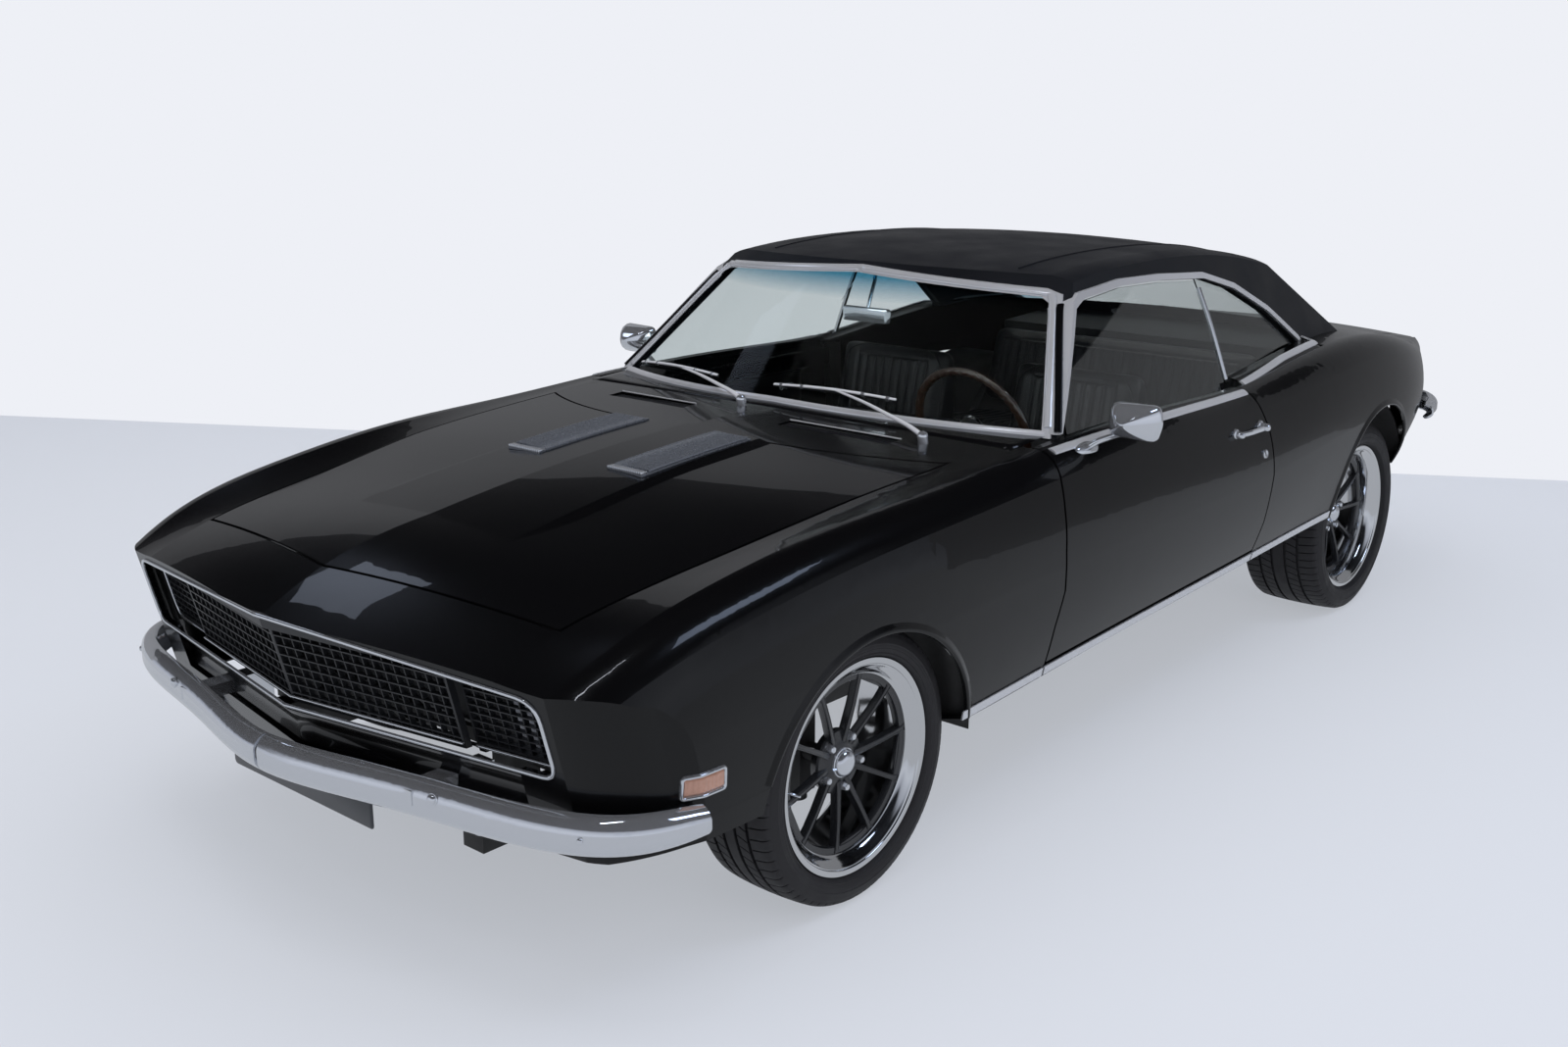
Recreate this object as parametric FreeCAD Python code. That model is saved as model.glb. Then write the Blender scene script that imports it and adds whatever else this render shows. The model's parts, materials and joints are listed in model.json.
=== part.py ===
"""Two-door hardtop muscle car, modelled standing on its wheels.

Millimetres. +X is the car's left, +Y its rear and +Z up. The origin is on the ground, midway
between the bumpers. The body sits nose-down on its springs, and every height below is taken
in that stance.
"""
import FreeCAD, Part
import functools
import math
import os
from FreeCAD import Vector

# ---------------------------------------------------------------- driving dimensions
WHEELBASE = 2743.0
FRONT_AXLE_Y = -1413.5
REAR_AXLE_Y = FRONT_AXLE_Y + WHEELBASE
RAKE = 0.0346                   # rise of the body per millimetre of length, nose down
NOSE_Y = -2316.0                # middle of the header panel's front edge
TAIL_Y = 2290.0                 # middle of the tail panel

FRONT_TYRE_R = 316.0
REAR_TYRE_R = 325.0
FRONT_TYRE_W = 225.0
REAR_TYRE_W = 275.0
RIM_R = 246.0                   # outside of the rim's flange
FRONT_WHEEL_X = 754.0           # middle plane of the tyre
REAR_WHEEL_X = 706.0
FRONT_FACE, REAR_FACE = 48.0, 30.0      # wheel's bolt face outside its middle plane
HUB_DEPTH = 46.0
REAR_HUB_X = REAR_WHEEL_X + REAR_FACE - HUB_DEPTH - 0.3
SPOKE_PAIRS = 5
FRONT_SPOKE_TURN = -28.7                # where the front wheels came to rest, degrees
STUD_PCD = 120.65
KINGPIN_X = 687.0
SPINDLE_R = 22.0

PANEL = 6.0                     # body panels, with the flange that stiffens their edge
FRONT_WALL = 16.0               # depth of the sheet folded back round the nose and tail
GAP = 7.0                       # round a door or lid
SEAT = 0.3                      # clearance of a piece from what it seats on
GLASS = 5.0
ROOF_WALL = 34.0                # roof, pillars and sail panels, skin to lining
DOOR_INNER_X = 778.0            # inner face of a closed door
DOOR_SKIN = 12.0
DOOR_HINGE_Y = -640.0
DOOR_HINGE_X = 904.0
DOOR_STEP = 16.0                # the door's inner box is this much smaller than its skin
TRIM = 4.0                      # how far a bright moulding stands off its panel

ARCH_R = 355.0
FRONT_ARCH_Z = 272.0
REAR_ARCH_Z = 362.0

GRILLE_TOP, GRILLE_LOW = 683.0, 497.0
GRILLE_HALF = 716.0
LAMP_SPLIT_X = 476.0            # where the fixed grille ends and the headlamp door starts
V_SWEEP = 0.163                 # how far the nose runs back per millimetre from the middle
NOSE_LEAN = 0.25                # how far the nose runs back per millimetre down

# Half sections of the body, nose to tail. Columns: station y; top on the middle line;
# panel seam x, z; crown of the fender or belt x, z; shoulder x, z; widest x, z; rocker x, z.
BODY = (
    (-2420, 662, 606, 604, 706, 588, 776, 540, 806, 440, 800, 338),
    (-2200, 752, 622, 689, 744, 667, 818, 612, 850, 490, 842, 340),
    (-2054, 800, 628, 739, 762, 736, 848, 680, 880, 530, 872, 342),
    (-1735, 842, 650, 792, 776, 812, 868, 752, 900, 570, 888, 340),
    (-1413, 877, 688, 838, 784, 850, 878, 790, 909, 592, 892, 332),
    (-1000, 902, 703, 872, 790, 870, 876, 810, 913, 612, 888, 333),
    (-560, 918, 752, 893, 800, 892, 872, 832, 915, 622, 882, 349),
    (0, 914, 764, 897, 802, 897, 870, 836, 915, 634, 880, 368),
    (450, 910, 760, 895, 802, 894, 871, 838, 914, 646, 880, 384),
    (900, 944, 738, 936, 796, 934, 882, 870, 912, 680, 880, 399),
    (1330, 964, 704, 948, 784, 946, 876, 886, 902, 700, 876, 414),
    (1700, 926, 664, 903, 752, 894, 840, 842, 866, 696, 796, 446),
    (2050, 872, 640, 846, 690, 837, 746, 788, 764, 672, 672, 478),
    (2420, 806, 590, 774, 622, 764, 652, 716, 668, 644, 600, 500),
)
ROCKER_TUCK_X, ROCKER_TUCK_Z = 92.0, 26.0
LID_RISE, HOOD_RISE = 0.25, 0.36        # share of a lid's crown that is left at half its width
RIDGE_END_Y = -600.0                    # ahead of this the middle line is a ridge
# The hood's raised centre. Columns: station y; half width; height over the skin beside it.
HOOD_BULGE = ((-2054, 300, -2.0), (-1735, 288, 6.5), (-1413, 278, 7.5), (-1000, 268, 7.0))
BULGE_SLOPE = 26.0                      # width of the slope down each side of it

# Plan sections of the cabin, sill to roof. Columns: height z; windscreen middle y;
# front corner x, y; rear corner x, y; backlight middle y.
CABIN = (
    (800, -850, 816, -640, 760, 1572, 1712),
    (900, -742, 776, -532, 716, 1436, 1580),
    (1060, -566, 704, -378, 668, 1166, 1280),
    (1215, -385, 624, -236, 606, 928, 1012),
    (1340, -235, 552, -116, 540, 770, 830),
)
# Roof sections. Columns: station y; height on the middle line; height at the drip rail.
ROOF = (
    (-900, 1112, 1048),
    (-500, 1232, 1168),
    (-236, 1276, 1214),
    (220, 1300, 1236),
    (620, 1284, 1222),
    (960, 1232, 1176),
    (1500, 1074, 1024),
)
DRIP_X = 640.0


# ---------------------------------------------------------------- small helpers
def box(x0, x1, y0, y1, z0, z1):
    """A box between two corners."""
    return Part.makeBox(x1 - x0, y1 - y0, z1 - z0, Vector(x0, y0, z0))


def cylinder(start, end, radius):
    """A round bar between two points."""
    run = Vector(*end) - Vector(*start)
    return Part.makeCylinder(radius, run.Length, Vector(*start), run)


def outline(points):
    """A closed wire. Each point is (a, b), or (a, b, 'arc') for the middle of an arc."""
    corners, edges = list(points), []
    corners.append(points[0])
    step = 0
    while step < len(points):
        start = Vector(*corners[step][:3])
        if len(corners[step + 1]) == 4:
            edges.append(Part.Arc(start, Vector(*corners[step + 1][:3]),
                                  Vector(*corners[step + 2][:3])).toShape())
            step += 2
        else:
            edges.append(Part.LineSegment(start, Vector(*corners[step + 1][:3])).toShape())
            step += 1
    return Part.Wire(edges)


def in_yz(points, x=0.0):
    return outline([(x, *p[:2], *p[2:]) for p in points])


def in_xz(points, y=0.0):
    return outline([(p[0], y, p[1], *p[2:]) for p in points])


def in_xy(points, z=0.0):
    return outline([(*p[:2], z, *p[2:]) for p in points])


def prism_x(points, x0, x1):
    """An outline drawn in side view, extruded across the car."""
    return Part.Face(in_yz(points, x0)).extrude(Vector(x1 - x0, 0, 0))


def prism_y(points, y0, y1):
    """An outline drawn in front view, extruded along the car."""
    return Part.Face(in_xz(points, y0)).extrude(Vector(0, y1 - y0, 0))


def prism_z(points, z0, z1):
    """An outline drawn in plan, extruded upwards."""
    return Part.Face(in_xy(points, z0)).extrude(Vector(0, 0, z1 - z0))


def mirrored(shape):
    """The same piece on the car's right."""
    return shape.mirror(Vector(0, 0, 0), Vector(1, 0, 0))


def whole(half):
    """A panel that crosses the middle, from its left half."""
    return half.fuse(mirrored(half)).removeSplitter()


def moved(shape, x=0.0, y=0.0, z=0.0):
    copy = shape.copy()
    copy.translate(Vector(x, y, z))
    return copy


def turned(shape, centre, axis, degrees):
    copy = shape.copy()
    copy.rotate(Vector(*centre), Vector(*axis), degrees)
    return copy


def fused(shapes):
    first, *rest = shapes
    return first.fuse(rest) if rest else first


def both_sides(shapes):
    """Pieces of the left side, with their twins on the right."""
    return list(shapes) + [mirrored(s) for s in shapes]


def tube_path(points, radius, bend=60.0):
    """A round tube through points, with an arc of one bend radius at each corner."""
    corners = [Vector(*p) for p in points]
    edges, start = [], corners[0]
    for before, corner, after in zip(corners, corners[1:], corners[2:]):
        into, out = (corner - before).normalize(), (after - corner).normalize()
        turn = into.getAngle(out)
        if turn < 0.02:
            continue
        cut = min(bend * math.tan(turn / 2), 0.45 * (corner - before).Length,
                  0.45 * (after - corner).Length)
        arc_r = cut / math.tan(turn / 2)
        first, last = corner - into * cut, corner + out * cut
        middle = (out - into).normalize()
        crown = corner + middle * (arc_r / math.cos(turn / 2) - arc_r)
        edges.append(Part.LineSegment(start, first).toShape())
        edges.append(Part.Arc(first, crown, last).toShape())
        start = last
    edges.append(Part.LineSegment(start, corners[-1]).toShape())
    path = Part.Wire(edges)
    ring = Part.Wire(Part.Circle(corners[0], corners[1] - corners[0], radius).toShape())
    return path.makePipeShell([ring], True, False)


def raked(y, z_middle):
    """Height at station y of something that is level on the body and z_middle at y = 0."""
    return z_middle + RAKE * y


# ---------------------------------------------------------------- the body's outer form
def tangent_arc(start, direction, end):
    """The arc that leaves start along direction, as (its middle point, its end direction)."""
    chord = end - start
    length = chord.Length
    along = chord.normalize()
    side = direction - along * direction.dot(along)
    if side.Length < 1e-6:
        return start + (end - start) * 0.5, direction
    side.normalize()
    angle = math.acos(max(-1.0, min(1.0, direction.dot(along))))
    middle = (start + end) * 0.5 + side * (length / 2 * math.tan(angle / 2))
    leave = along * math.cos(angle) - side * math.sin(angle)
    return middle, leave


def crown_share(y):
    """How much of the crown's drop a lid has made at half its width."""
    return HOOD_RISE if y < RIDGE_END_Y else LID_RISE


def body_section(row, grow, open_below=False):
    """One closed half section of the body, its skin moved outwards by grow."""
    y, top, seam_x, seam_z, crown_x, crown_z, sh_x, sh_z, wide_x, wide_z, rock_x, rock_z = row
    slope = 0.707 * grow
    middle = Vector(0, y, top + grow)
    seam = Vector(seam_x, y, seam_z + grow)
    crown = Vector(crown_x + 0.3 * grow, y, crown_z + grow)
    shoulder = Vector(sh_x + slope, y, sh_z + slope)
    widest = Vector(wide_x + grow, y, wide_z)
    rocker = Vector(rock_x + grow, y, rock_z - 0.2 * grow)
    tuck = Vector(rock_x - ROCKER_TUCK_X + slope, y, rock_z - ROCKER_TUCK_Z - slope)
    low = Vector(0, y, rock_z - ROCKER_TUCK_Z - slope)
    up = Vector(0, 0, 1)
    side_mid, side_leave = tangent_arc(widest, up, shoulder)
    top_mid, _ = tangent_arc(shoulder, side_leave, crown)
    low_mid, _ = tangent_arc(widest, Vector(0, 0, -1), rocker)
    lid_mid = Vector(seam.x / 2, y, middle.z - crown_share(y) * (middle.z - seam.z))
    ledge_mid = (seam + crown) * 0.5 - Vector(0, 0, 1.5)
    edges = (
        Part.Arc(middle, lid_mid, seam), Part.Arc(seam, ledge_mid, crown),
        Part.Arc(crown, top_mid, shoulder), Part.Arc(shoulder, side_mid, widest),
        Part.Arc(widest, low_mid, rocker), Part.LineSegment(rocker, tuck),
    )
    corners = [tuck, low, middle]
    if open_below:                      # the form runs on down, so that no floor is left in it
        drop = Vector(0, 0, 2 * ROCKER_TUCK_Z)
        corners = [tuck, tuck - drop, low - drop, middle]
    edges += tuple(Part.LineSegment(a, b) for a, b in zip(corners, corners[1:]))
    return Part.Wire([e.toShape() for e in edges])


def nose_plan(z, inset):
    """Plan outline of what the nose keeps at one height: a blunt V with rounded corners."""
    y = NOSE_Y + (700.0 - z) * NOSE_LEAN + inset
    corner_x = GRILLE_HALF + 22.0 - inset * 0.5
    wide = 1000.0
    return in_xy([
        (0, y), (corner_x, y + V_SWEEP * corner_x),
        (corner_x + 78, y + V_SWEEP * corner_x + 56, "arc"), (corner_x + 128, y + 266),
        (wide, y + 560), (wide, 2600), (0, 2600)], z)


def nose_solid(inset):
    return Part.makeLoft([nose_plan(150.0, inset), nose_plan(1100.0, inset)], True, True)


def tail_solid(inset):
    """What the tail keeps: a tail panel that leans in under the deck's lip."""
    y = TAIL_Y - inset
    plan = lambda run, z: in_xy([(0, -2600), (0, y + run), (330, y + run - 9, "arc"),
                                 (620, y + run - 40), (900, y + run - 110), (1000, -2600)], z)
    return Part.makeLoft([plan(-70, 150.0), plan(0, 860.0), plan(6, 1100.0)], True, True)


@functools.lru_cache(maxsize=None)
def body_solid(grow, end_inset=0.0, open_below=False):
    """The left half of the body below the windows, solid, its skin moved out by grow."""
    loft = Part.makeLoft([body_section(row, grow, open_below) for row in BODY], True, False)
    return loft.common(nose_solid(end_inset)).common(tail_solid(end_inset))


# ---------------------------------------------------------------- cabin form
def cabin_section(row, inset):
    z, front, fx, fy, rx, ry, rear = row
    fx, rx = fx - inset, rx - inset
    fy, ry = fy + 0.8 * inset, ry - 0.8 * inset
    front, rear = front + inset, rear - inset
    bow = 10.0                          # the side glass is bowed by this much
    return in_xy([
        (0, front), (0.56 * fx, front + 0.27 * (fy - front), "arc"), (fx, fy),
        ((fx + rx) / 2 + bow, (fy + ry) / 2, "arc"), (rx, ry),
        (0.56 * rx, rear - 0.27 * (rear - ry), "arc"), (0, rear)], z)


def roof_section(row, inset):
    y, top, edge = row
    turn_x = DRIP_X - 92.0
    top, edge = top - inset, edge - inset
    turn_z = top - 0.36 * (top - edge)
    return in_xz([
        (0, top), (turn_x / 2, top - 0.09 * (top - edge), "arc"), (turn_x, turn_z),
        (DRIP_X - 34, top - 0.62 * (top - edge), "arc"), (DRIP_X + 6, edge),
        (DRIP_X + 220, edge - 150), (DRIP_X + 220, 700), (0, 700)], y)


@functools.lru_cache(maxsize=None)
def cabin_solid(inset):
    """The left half of the cabin, solid, its skin moved inwards by inset."""
    walls = Part.makeLoft([cabin_section(row, inset) for row in CABIN], True, False)
    crown = Part.makeLoft([roof_section(row, inset) for row in ROOF], True, False)
    return walls.common(crown)


# ---------------------------------------------------------------- lines the panels meet on
HOOD_SIDE = ((-2054, 628), (-1735, 650), (-1413, 688), (-1000, 703), (-890, 704))
HOOD_FRONT_MID_Y, HOOD_FRONT_SIDE_Y = -2154.0, -2052.0
HOOD_REAR_MID_Y, HOOD_REAR_SIDE_Y = -1052.0, -890.0
DECK_FRONT_Y, DECK_REAR_Y = 1709.0, 2226.0
DECK_SIDE_X, DECK_TAIL_X = 622.0, 590.0
FRONT_SEAM = ((-652, 960), (-656, 880), (-680, 752), (-691, 655), (-688, 557),
              (-716, 470), (-740, 330), (-742, 200))
REAR_SEAM = ((402, 200), (404, 410), (440, 500), (462, 640), (448, 768), (424, 868),
             (420, 960))
VALANCE_TOP = 394.0
LAMP_LOW, LAMP_HIGH = 646.0, 728.0      # tail lamps, between the bumper and the lid's lip
LIP_LOW = 738.0                         # lower edge of the boot lid's lip
SILL_Z = 402.0                  # door bottom at y = 0


def shifted(line, by):
    return [(y + by, z) for y, z in line]


def seam_y(line, z):
    """Where a seam, drawn from one height to another, crosses the height z."""
    for (y0, z0), (y1, z1) in zip(line, line[1:]):
        if min(z0, z1) <= z <= max(z0, z1):
            return y0 + (y1 - y0) * (z - z0) / (z1 - z0)
    return line[-1][0]


def door_outline(inset):
    """Side view of a door's cut lines, all moved inwards by inset."""
    front = shifted(FRONT_SEAM, inset)
    rear = shifted(REAR_SEAM, -inset)
    clipped_front = [p for p in front if SILL_Z - 60 < p[1] < 955]
    clipped_rear = [p for p in rear if SILL_Z + 30 < p[1] < 955]
    low_z = raked(front[-2][0], SILL_Z) + inset
    low_front = (seam_y(front, low_z), low_z)
    low_rear = (rear[0][0] + 4, raked(rear[0][0], SILL_Z) + inset)
    clipped_front = [p for p in clipped_front if p[1] > low_front[1] + 20]
    return [(front[0][0], 955)] + clipped_front + [low_front, low_rear] + clipped_rear \
        + [(rear[-1][0], 955)]


def hood_outline(inset):
    """Plan of the left half of the hood, moved inwards by inset."""
    side = [(x - inset, y) for y, x in HOOD_SIDE]
    side[0] = (side[0][0], HOOD_FRONT_SIDE_Y + inset)
    side[-1] = (side[-1][0], HOOD_REAR_SIDE_Y - 1.7 * inset)
    return [(0, HOOD_FRONT_MID_Y + inset)] + side + [
        (430, HOOD_REAR_MID_Y + 44 - 1.1 * inset, "arc"), (0, HOOD_REAR_MID_Y - inset)]


def deck_outline(inset):
    """Plan of the left half of the boot lid, moved inwards by inset."""
    front, rear = DECK_FRONT_Y + inset, DECK_REAR_Y - inset
    side, tail = DECK_SIDE_X - inset, DECK_TAIL_X - inset
    return [(0, front), (side - 40, front), (side - 12, front + 12, "arc"), (side - 3, front + 40),
            (tail, rear), (0, rear)]


def arch_cut(y, z, radius=ARCH_R):
    return cylinder((500, y, z), (1100, y, z), radius)


# ---------------------------------------------------------------- the body shell, left half
class Shell:
    """The body's outer form, its inside, and the sheet between them."""

    def __init__(self):
        self.outer = body_solid(0.0)
        self.inner = body_solid(-PANEL, FRONT_WALL, open_below=True)
        self.skin = self.outer.cut(self.inner)
        self.door_inner = body_solid(-DOOR_SKIN)
        self.cabin_outer = cabin_solid(0.0)
        self.cabin_inner = cabin_solid(ROOF_WALL)


def lid_prism(points):
    return prism_z(points, 560, 1100)


def hood_bulge(grow=0.0):
    """The hood's raised centre, left half: a low table whose sides slope down to the skin."""
    sections = []
    for y, half, rise in HOOD_BULGE:
        row = next(r for r in BODY if r[0] == y)
        top, seam_x, seam_z = row[1:4]
        drop = lambda x: (top - seam_z) * (x / seam_x) * (
            2 * (2 * HOOD_RISE - 0.5) + (2 - 4 * HOOD_RISE) * x / seam_x)
        inner, outer = half - BULGE_SLOPE, half + BULGE_SLOPE / 2
        rise += grow
        sections.append(in_xz([
            (0, top + rise), (inner / 2, top - drop(inner / 2) + rise, "arc"),
            (inner, top - drop(inner) + rise), (outer, top - drop(outer) - 2 + grow),
            (outer, top - 70), (0, top - 70)], y))
    return Part.makeLoft(sections, True, False)


def hood_panels(shell):
    """The hood skin with its raised centre and its two hinge straps."""
    skin = shell.skin.fuse(hood_bulge().cut(shell.inner))
    lid = skin.common(lid_prism(hood_outline(GAP)))
    return whole(lid.fuse(hood_strap()))


HOOD_AXIS_Y, HOOD_AXIS_Z = -836.0, 848.0
BOOT_AXIS_Y, BOOT_AXIS_Z = 1600.0, 862.0
PIN_R, PIN_CLEARANCE = 8.0, 0.25
HOOD_HINGE_X, BOOT_HINGE_X = 640.0, 420.0


def gooseneck(points, x0, x1, axis_y, axis_z):
    """A cranked hinge strap with its eye, drawn in side view."""
    strap = prism_x(points, x0, x1)
    eye = cylinder((x0, axis_y, axis_z), (x1, axis_y, axis_z), 17)
    bore = cylinder((x0 - 1, axis_y, axis_z), (x1 + 1, axis_y, axis_z), PIN_R + PIN_CLEARANCE)
    return strap.fuse(eye).cut(bore)


def hood_strap():
    """Left hinge strap of the hood: it cranks under the cowl's front edge."""
    y, z = HOOD_AXIS_Y, HOOD_AXIS_Z
    line = [(y - 4, z - 17), (y - 84, z - 104), (y - 108, z - 92), (y - 190, z + 60),
            (y - 154, z + 60), (y - 88, z - 76), (y - 10, z + 13)]
    strap = gooseneck(line, HOOD_HINGE_X, HOOD_HINGE_X + 10, y, z)
    return strap.common(body_solid(-PANEL + 1.0))


def hood_brackets():
    """Ears on the firewall, with the pins the hood turns on."""
    y, z = HOOD_AXIS_Y, HOOD_AXIS_Z
    x = HOOD_HINGE_X + 10 + 2
    ear = box(x, x + 8, y - 15, -800, z - 30, z + 12)
    pin = cylinder((HOOD_HINGE_X - 6, y, z), (x + 4, y, z), PIN_R)
    left = ear.fuse(pin)
    return left.fuse(mirrored(left))


def boot_strap():
    """Left gooseneck of the boot lid: it dips under the panel ahead of the lid."""
    y, z = BOOT_AXIS_Y, BOOT_AXIS_Z
    line = [(y - 8, z - 16), (y + 76, z - 142), (y + 116, z - 142), (y + 196, z + 70),
            (y + 162, z + 70), (y + 96, z - 120), (y + 16, z - 4)]
    strap = gooseneck(line, BOOT_HINGE_X, BOOT_HINGE_X + 10, y, z)
    return strap.common(body_solid(-PANEL + 1.0))


def boot_bracket():
    """Ear under the rear shelf panel, with the pin the boot lid turns on."""
    y, z = BOOT_AXIS_Y, BOOT_AXIS_Z
    x = BOOT_HINGE_X + 12
    ear = box(x, x + 8, y - 14, y + 14, z - 14, 1000).common(body_solid(-PANEL + 1.0))
    return ear.fuse(cylinder((BOOT_HINGE_X - 6, y, z), (x + 4, y, z), PIN_R))


def header_panel(shell):
    """The painted panel between the grille and the hood."""
    side = HOOD_SIDE[0][1] - SEAT
    plan = [(0, -2600), (side, -2600), (side, HOOD_FRONT_SIDE_Y), (0, HOOD_FRONT_MID_Y)]
    return whole(shell.skin.common(prism_z(plan, GRILLE_TOP - 60, 1100)).cut(grille_opening()))


def grille_opening():
    """Front view of the opening for grille and headlamps, left half, cut through the wall."""
    return prism_y([(-5, GRILLE_TOP + 22), (0, GRILLE_TOP + 22), (GRILLE_HALF - 40, GRILLE_TOP - 20),
                    (GRILLE_HALF - 8, GRILLE_TOP - 36, "arc"), (GRILLE_HALF, GRILLE_TOP - 70),
                    (GRILLE_HALF, GRILLE_LOW + 36), (GRILLE_HALF - 10, GRILLE_LOW + 9, "arc"),
                    (GRILLE_HALF - 36, GRILLE_LOW), (-5, GRILLE_LOW)], -2600, -2050)


def fender(shell):
    """Front fender: crown, side and the eyebrow beside the grille."""
    hood_side = [(x, y) for y, x in HOOD_SIDE]
    plan = [(HOOD_SIDE[0][1], -2600)] + hood_side + [(704, -850), (700, -560), (1100, -560),
                                                     (1100, -2600)]
    side_view = shifted(FRONT_SEAM, -GAP / 2)
    region = [(-2600, 150), (-2600, 1100), (side_view[0][0], 1100)] + side_view \
        + [(side_view[-1][0], 150)]
    panel = shell.skin.common(prism_z(plan, 150, 1100)).common(prism_x(region, 500, 1100))
    panel = panel.cut(grille_opening())
    panel = panel.cut(arch_cut(FRONT_AXLE_Y, FRONT_ARCH_Z))
    panel = panel.cut(box(0, 1100, -2600, -1700, 100, VALANCE_TOP + SEAT))     # the valance takes over here
    low = box(500, 1100, -1800, -1413, 100, VALANCE_TOP + SEAT)
    return panel.cut(low).cut(cowl_gap())


def cowl_gap():
    """Where the fender's rear end gives way to the windscreen's base."""
    return prism_z([(600, -560), (600, -760), (700, -700), (772, -600), (772, -540)], 860, 1100)


def cowl(shell):
    """The panel between hood and windscreen, with its two long air slots."""
    side = HOOD_SIDE[-1][1] - SEAT
    plan = [(0, HOOD_REAR_MID_Y), (430, HOOD_REAR_MID_Y + 44, "arc"),
            (side, HOOD_REAR_SIDE_Y), (side, -850), (side - 4, -704), (400, -742, "arc"),
            (0, -768)]
    panel = shell.skin.common(prism_z(plan, 780, 1100))
    slot = prism_z([(170, -905), (500, -868), (500, -812), (170, -852)], 780, 1100)
    return whole(panel.cut(slot))


def quarter(shell):
    """Rear quarter with its hip and the sill that runs under the door."""
    side_view = shifted(REAR_SEAM, GAP / 2)
    sill_front = FRONT_SEAM[-1][0] + GAP
    sill_top = raked(side_view[1][0], SILL_Z) - GAP / 2
    region = [(sill_front, 150), (sill_front, raked(sill_front, SILL_Z) - GAP / 2),
              (side_view[1][0], sill_top)] \
        + [p for p in side_view if p[1] > SILL_Z + 30] \
        + [(side_view[-1][0], 1100), (2600, 1100), (2600, 150)]
    panel = shell.skin.common(prism_x(region, 500, 1100))
    panel = panel.cut(arch_cut(REAR_AXLE_Y, REAR_ARCH_Z))
    deck = prism_z([(-5, 300), (700, 300), (700, 1120), (DECK_SIDE_X, 1330),
                    (DECK_SIDE_X, DECK_FRONT_Y), (DECK_TAIL_X, DECK_REAR_Y),
                    (DECK_TAIL_X, 2600), (-5, 2600)], 120, 1100)
    window = box(0, 792, -700, 1040, 860, 1100)
    return biggest(panel.cut(deck).cut(window))


def rear_shelf_panel(shell):
    """The outer panel between the backlight and the boot lid."""
    side = DECK_SIDE_X - SEAT
    plan = [(0, 1500), (side, 1400), (side, DECK_FRONT_Y), (0, DECK_FRONT_Y)]
    return whole(shell.skin.common(prism_z(plan, 800, 1100)).fuse(boot_bracket()))


def tail_panel(shell):
    """The upright panel under the boot lid's lip, with the lamps' openings."""
    side = DECK_TAIL_X - SEAT
    plan = [(0, DECK_REAR_Y), (side, DECK_REAR_Y), (side, 2600), (0, 2600)]
    panel = shell.skin.common(prism_z(plan, 120, 1100))
    return whole(panel.cut(lamp_pocket()))


def lamp_pocket(inset=0.0):
    """The opening of the left tail lamp, its outline moved inwards by inset."""
    low, high = LAMP_LOW + inset, LAMP_HIGH - inset
    return prism_y([(332 + inset, low), (556 - inset, low), (556 - inset, high),
                    (332 + inset, high)], TAIL_Y - 190, TAIL_Y + 210)


def boot_lid(shell):
    lid = shell.skin.common(lid_prism(deck_outline(GAP))).cut(box(-5, 900, 1500, 2600, 400, LIP_LOW))
    return whole(lid.fuse(boot_strap()))


def valance(shell):
    """The pan under the front bumper."""
    low = box(-5, 1100, -2600, -1700, 100, VALANCE_TOP)
    pan = shell.skin.common(low).cut(arch_cut(FRONT_AXLE_Y, FRONT_ARCH_Z))
    return whole(biggest(pan))


# ---------------------------------------------------------------- roof, glass and mouldings
WINDOW_LOW = 845.0
SIDE_WINDOW = ((-640, WINDOW_LOW), (-506, 902), (-252, 1178), (-200, 1196), (0, 1212),
               (220, 1208), (470, 1192), (640, 1148), (820, 1066), (985, 962), (1010, 925),
               (1000, WINDOW_LOW))
SCREEN_REACH = ((-1000, 700), (-470, 700), (-360, 905), (-100, 1215), (-100, 1300),
                (-1000, 1300))
BACKLIGHT_REACH = ((1900, 800), (1380, 800), (1330, 960), (900, 1186), (870, 1300), (1900, 1300))
GLASS_INSET = 9.0
DOOR_GLASS_REAR_Y = 436.0       # leading edge of the divider between the side windows
GLASS_CORNER_Y, GLASS_CORNER_Z = 404.0, 899.0    # its lower rear corner swings past the shoulder


def screen_opening(grow=0.0):
    """The windscreen's opening, left half, its outline moved out by grow."""
    view = [(-5, 860), (762 + grow, 860), (742 + grow, 905), (586 + grow, 1190 + grow),
            (560, 1204 + grow), (-5, 1236 + grow)]
    return prism_y(view, -1000, 100).common(prism_x(SCREEN_REACH, -50, 900))


def backlight_opening(grow=0.0):
    view = [(-5, 930), (560 + grow, 930), (590 + grow, 985), (520 + grow, 1166 + grow),
            (495, 1186 + grow), (-5, 1206 + grow)]
    return prism_y(view, 800, 1900).common(prism_x(BACKLIGHT_REACH, -50, 900))


def roof_shell(shell):
    """Roof, windscreen pillars and sail panels in one piece."""
    body = body_solid(SEAT)
    half = shell.cabin_outer.cut(shell.cabin_inner)
    half = half.cut(screen_opening()).cut(backlight_opening())
    half = half.cut(prism_x(SIDE_WINDOW, 480, 1000)).cut(body)
    half = half.cut(box(-5, 1000, -1000, 2000, 700, 862))
    half = half.cut(box(0, 790, -700, -440, 860, 912).cut(box(742, 790, -700, -440, 860, 912)))
    return whole(biggest(half))


def biggest(shape):
    return max(shape.Solids, key=lambda s: s.Volume)


def glass_sheet(inset):
    return cabin_solid(inset).cut(cabin_solid(inset + GLASS))


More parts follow.
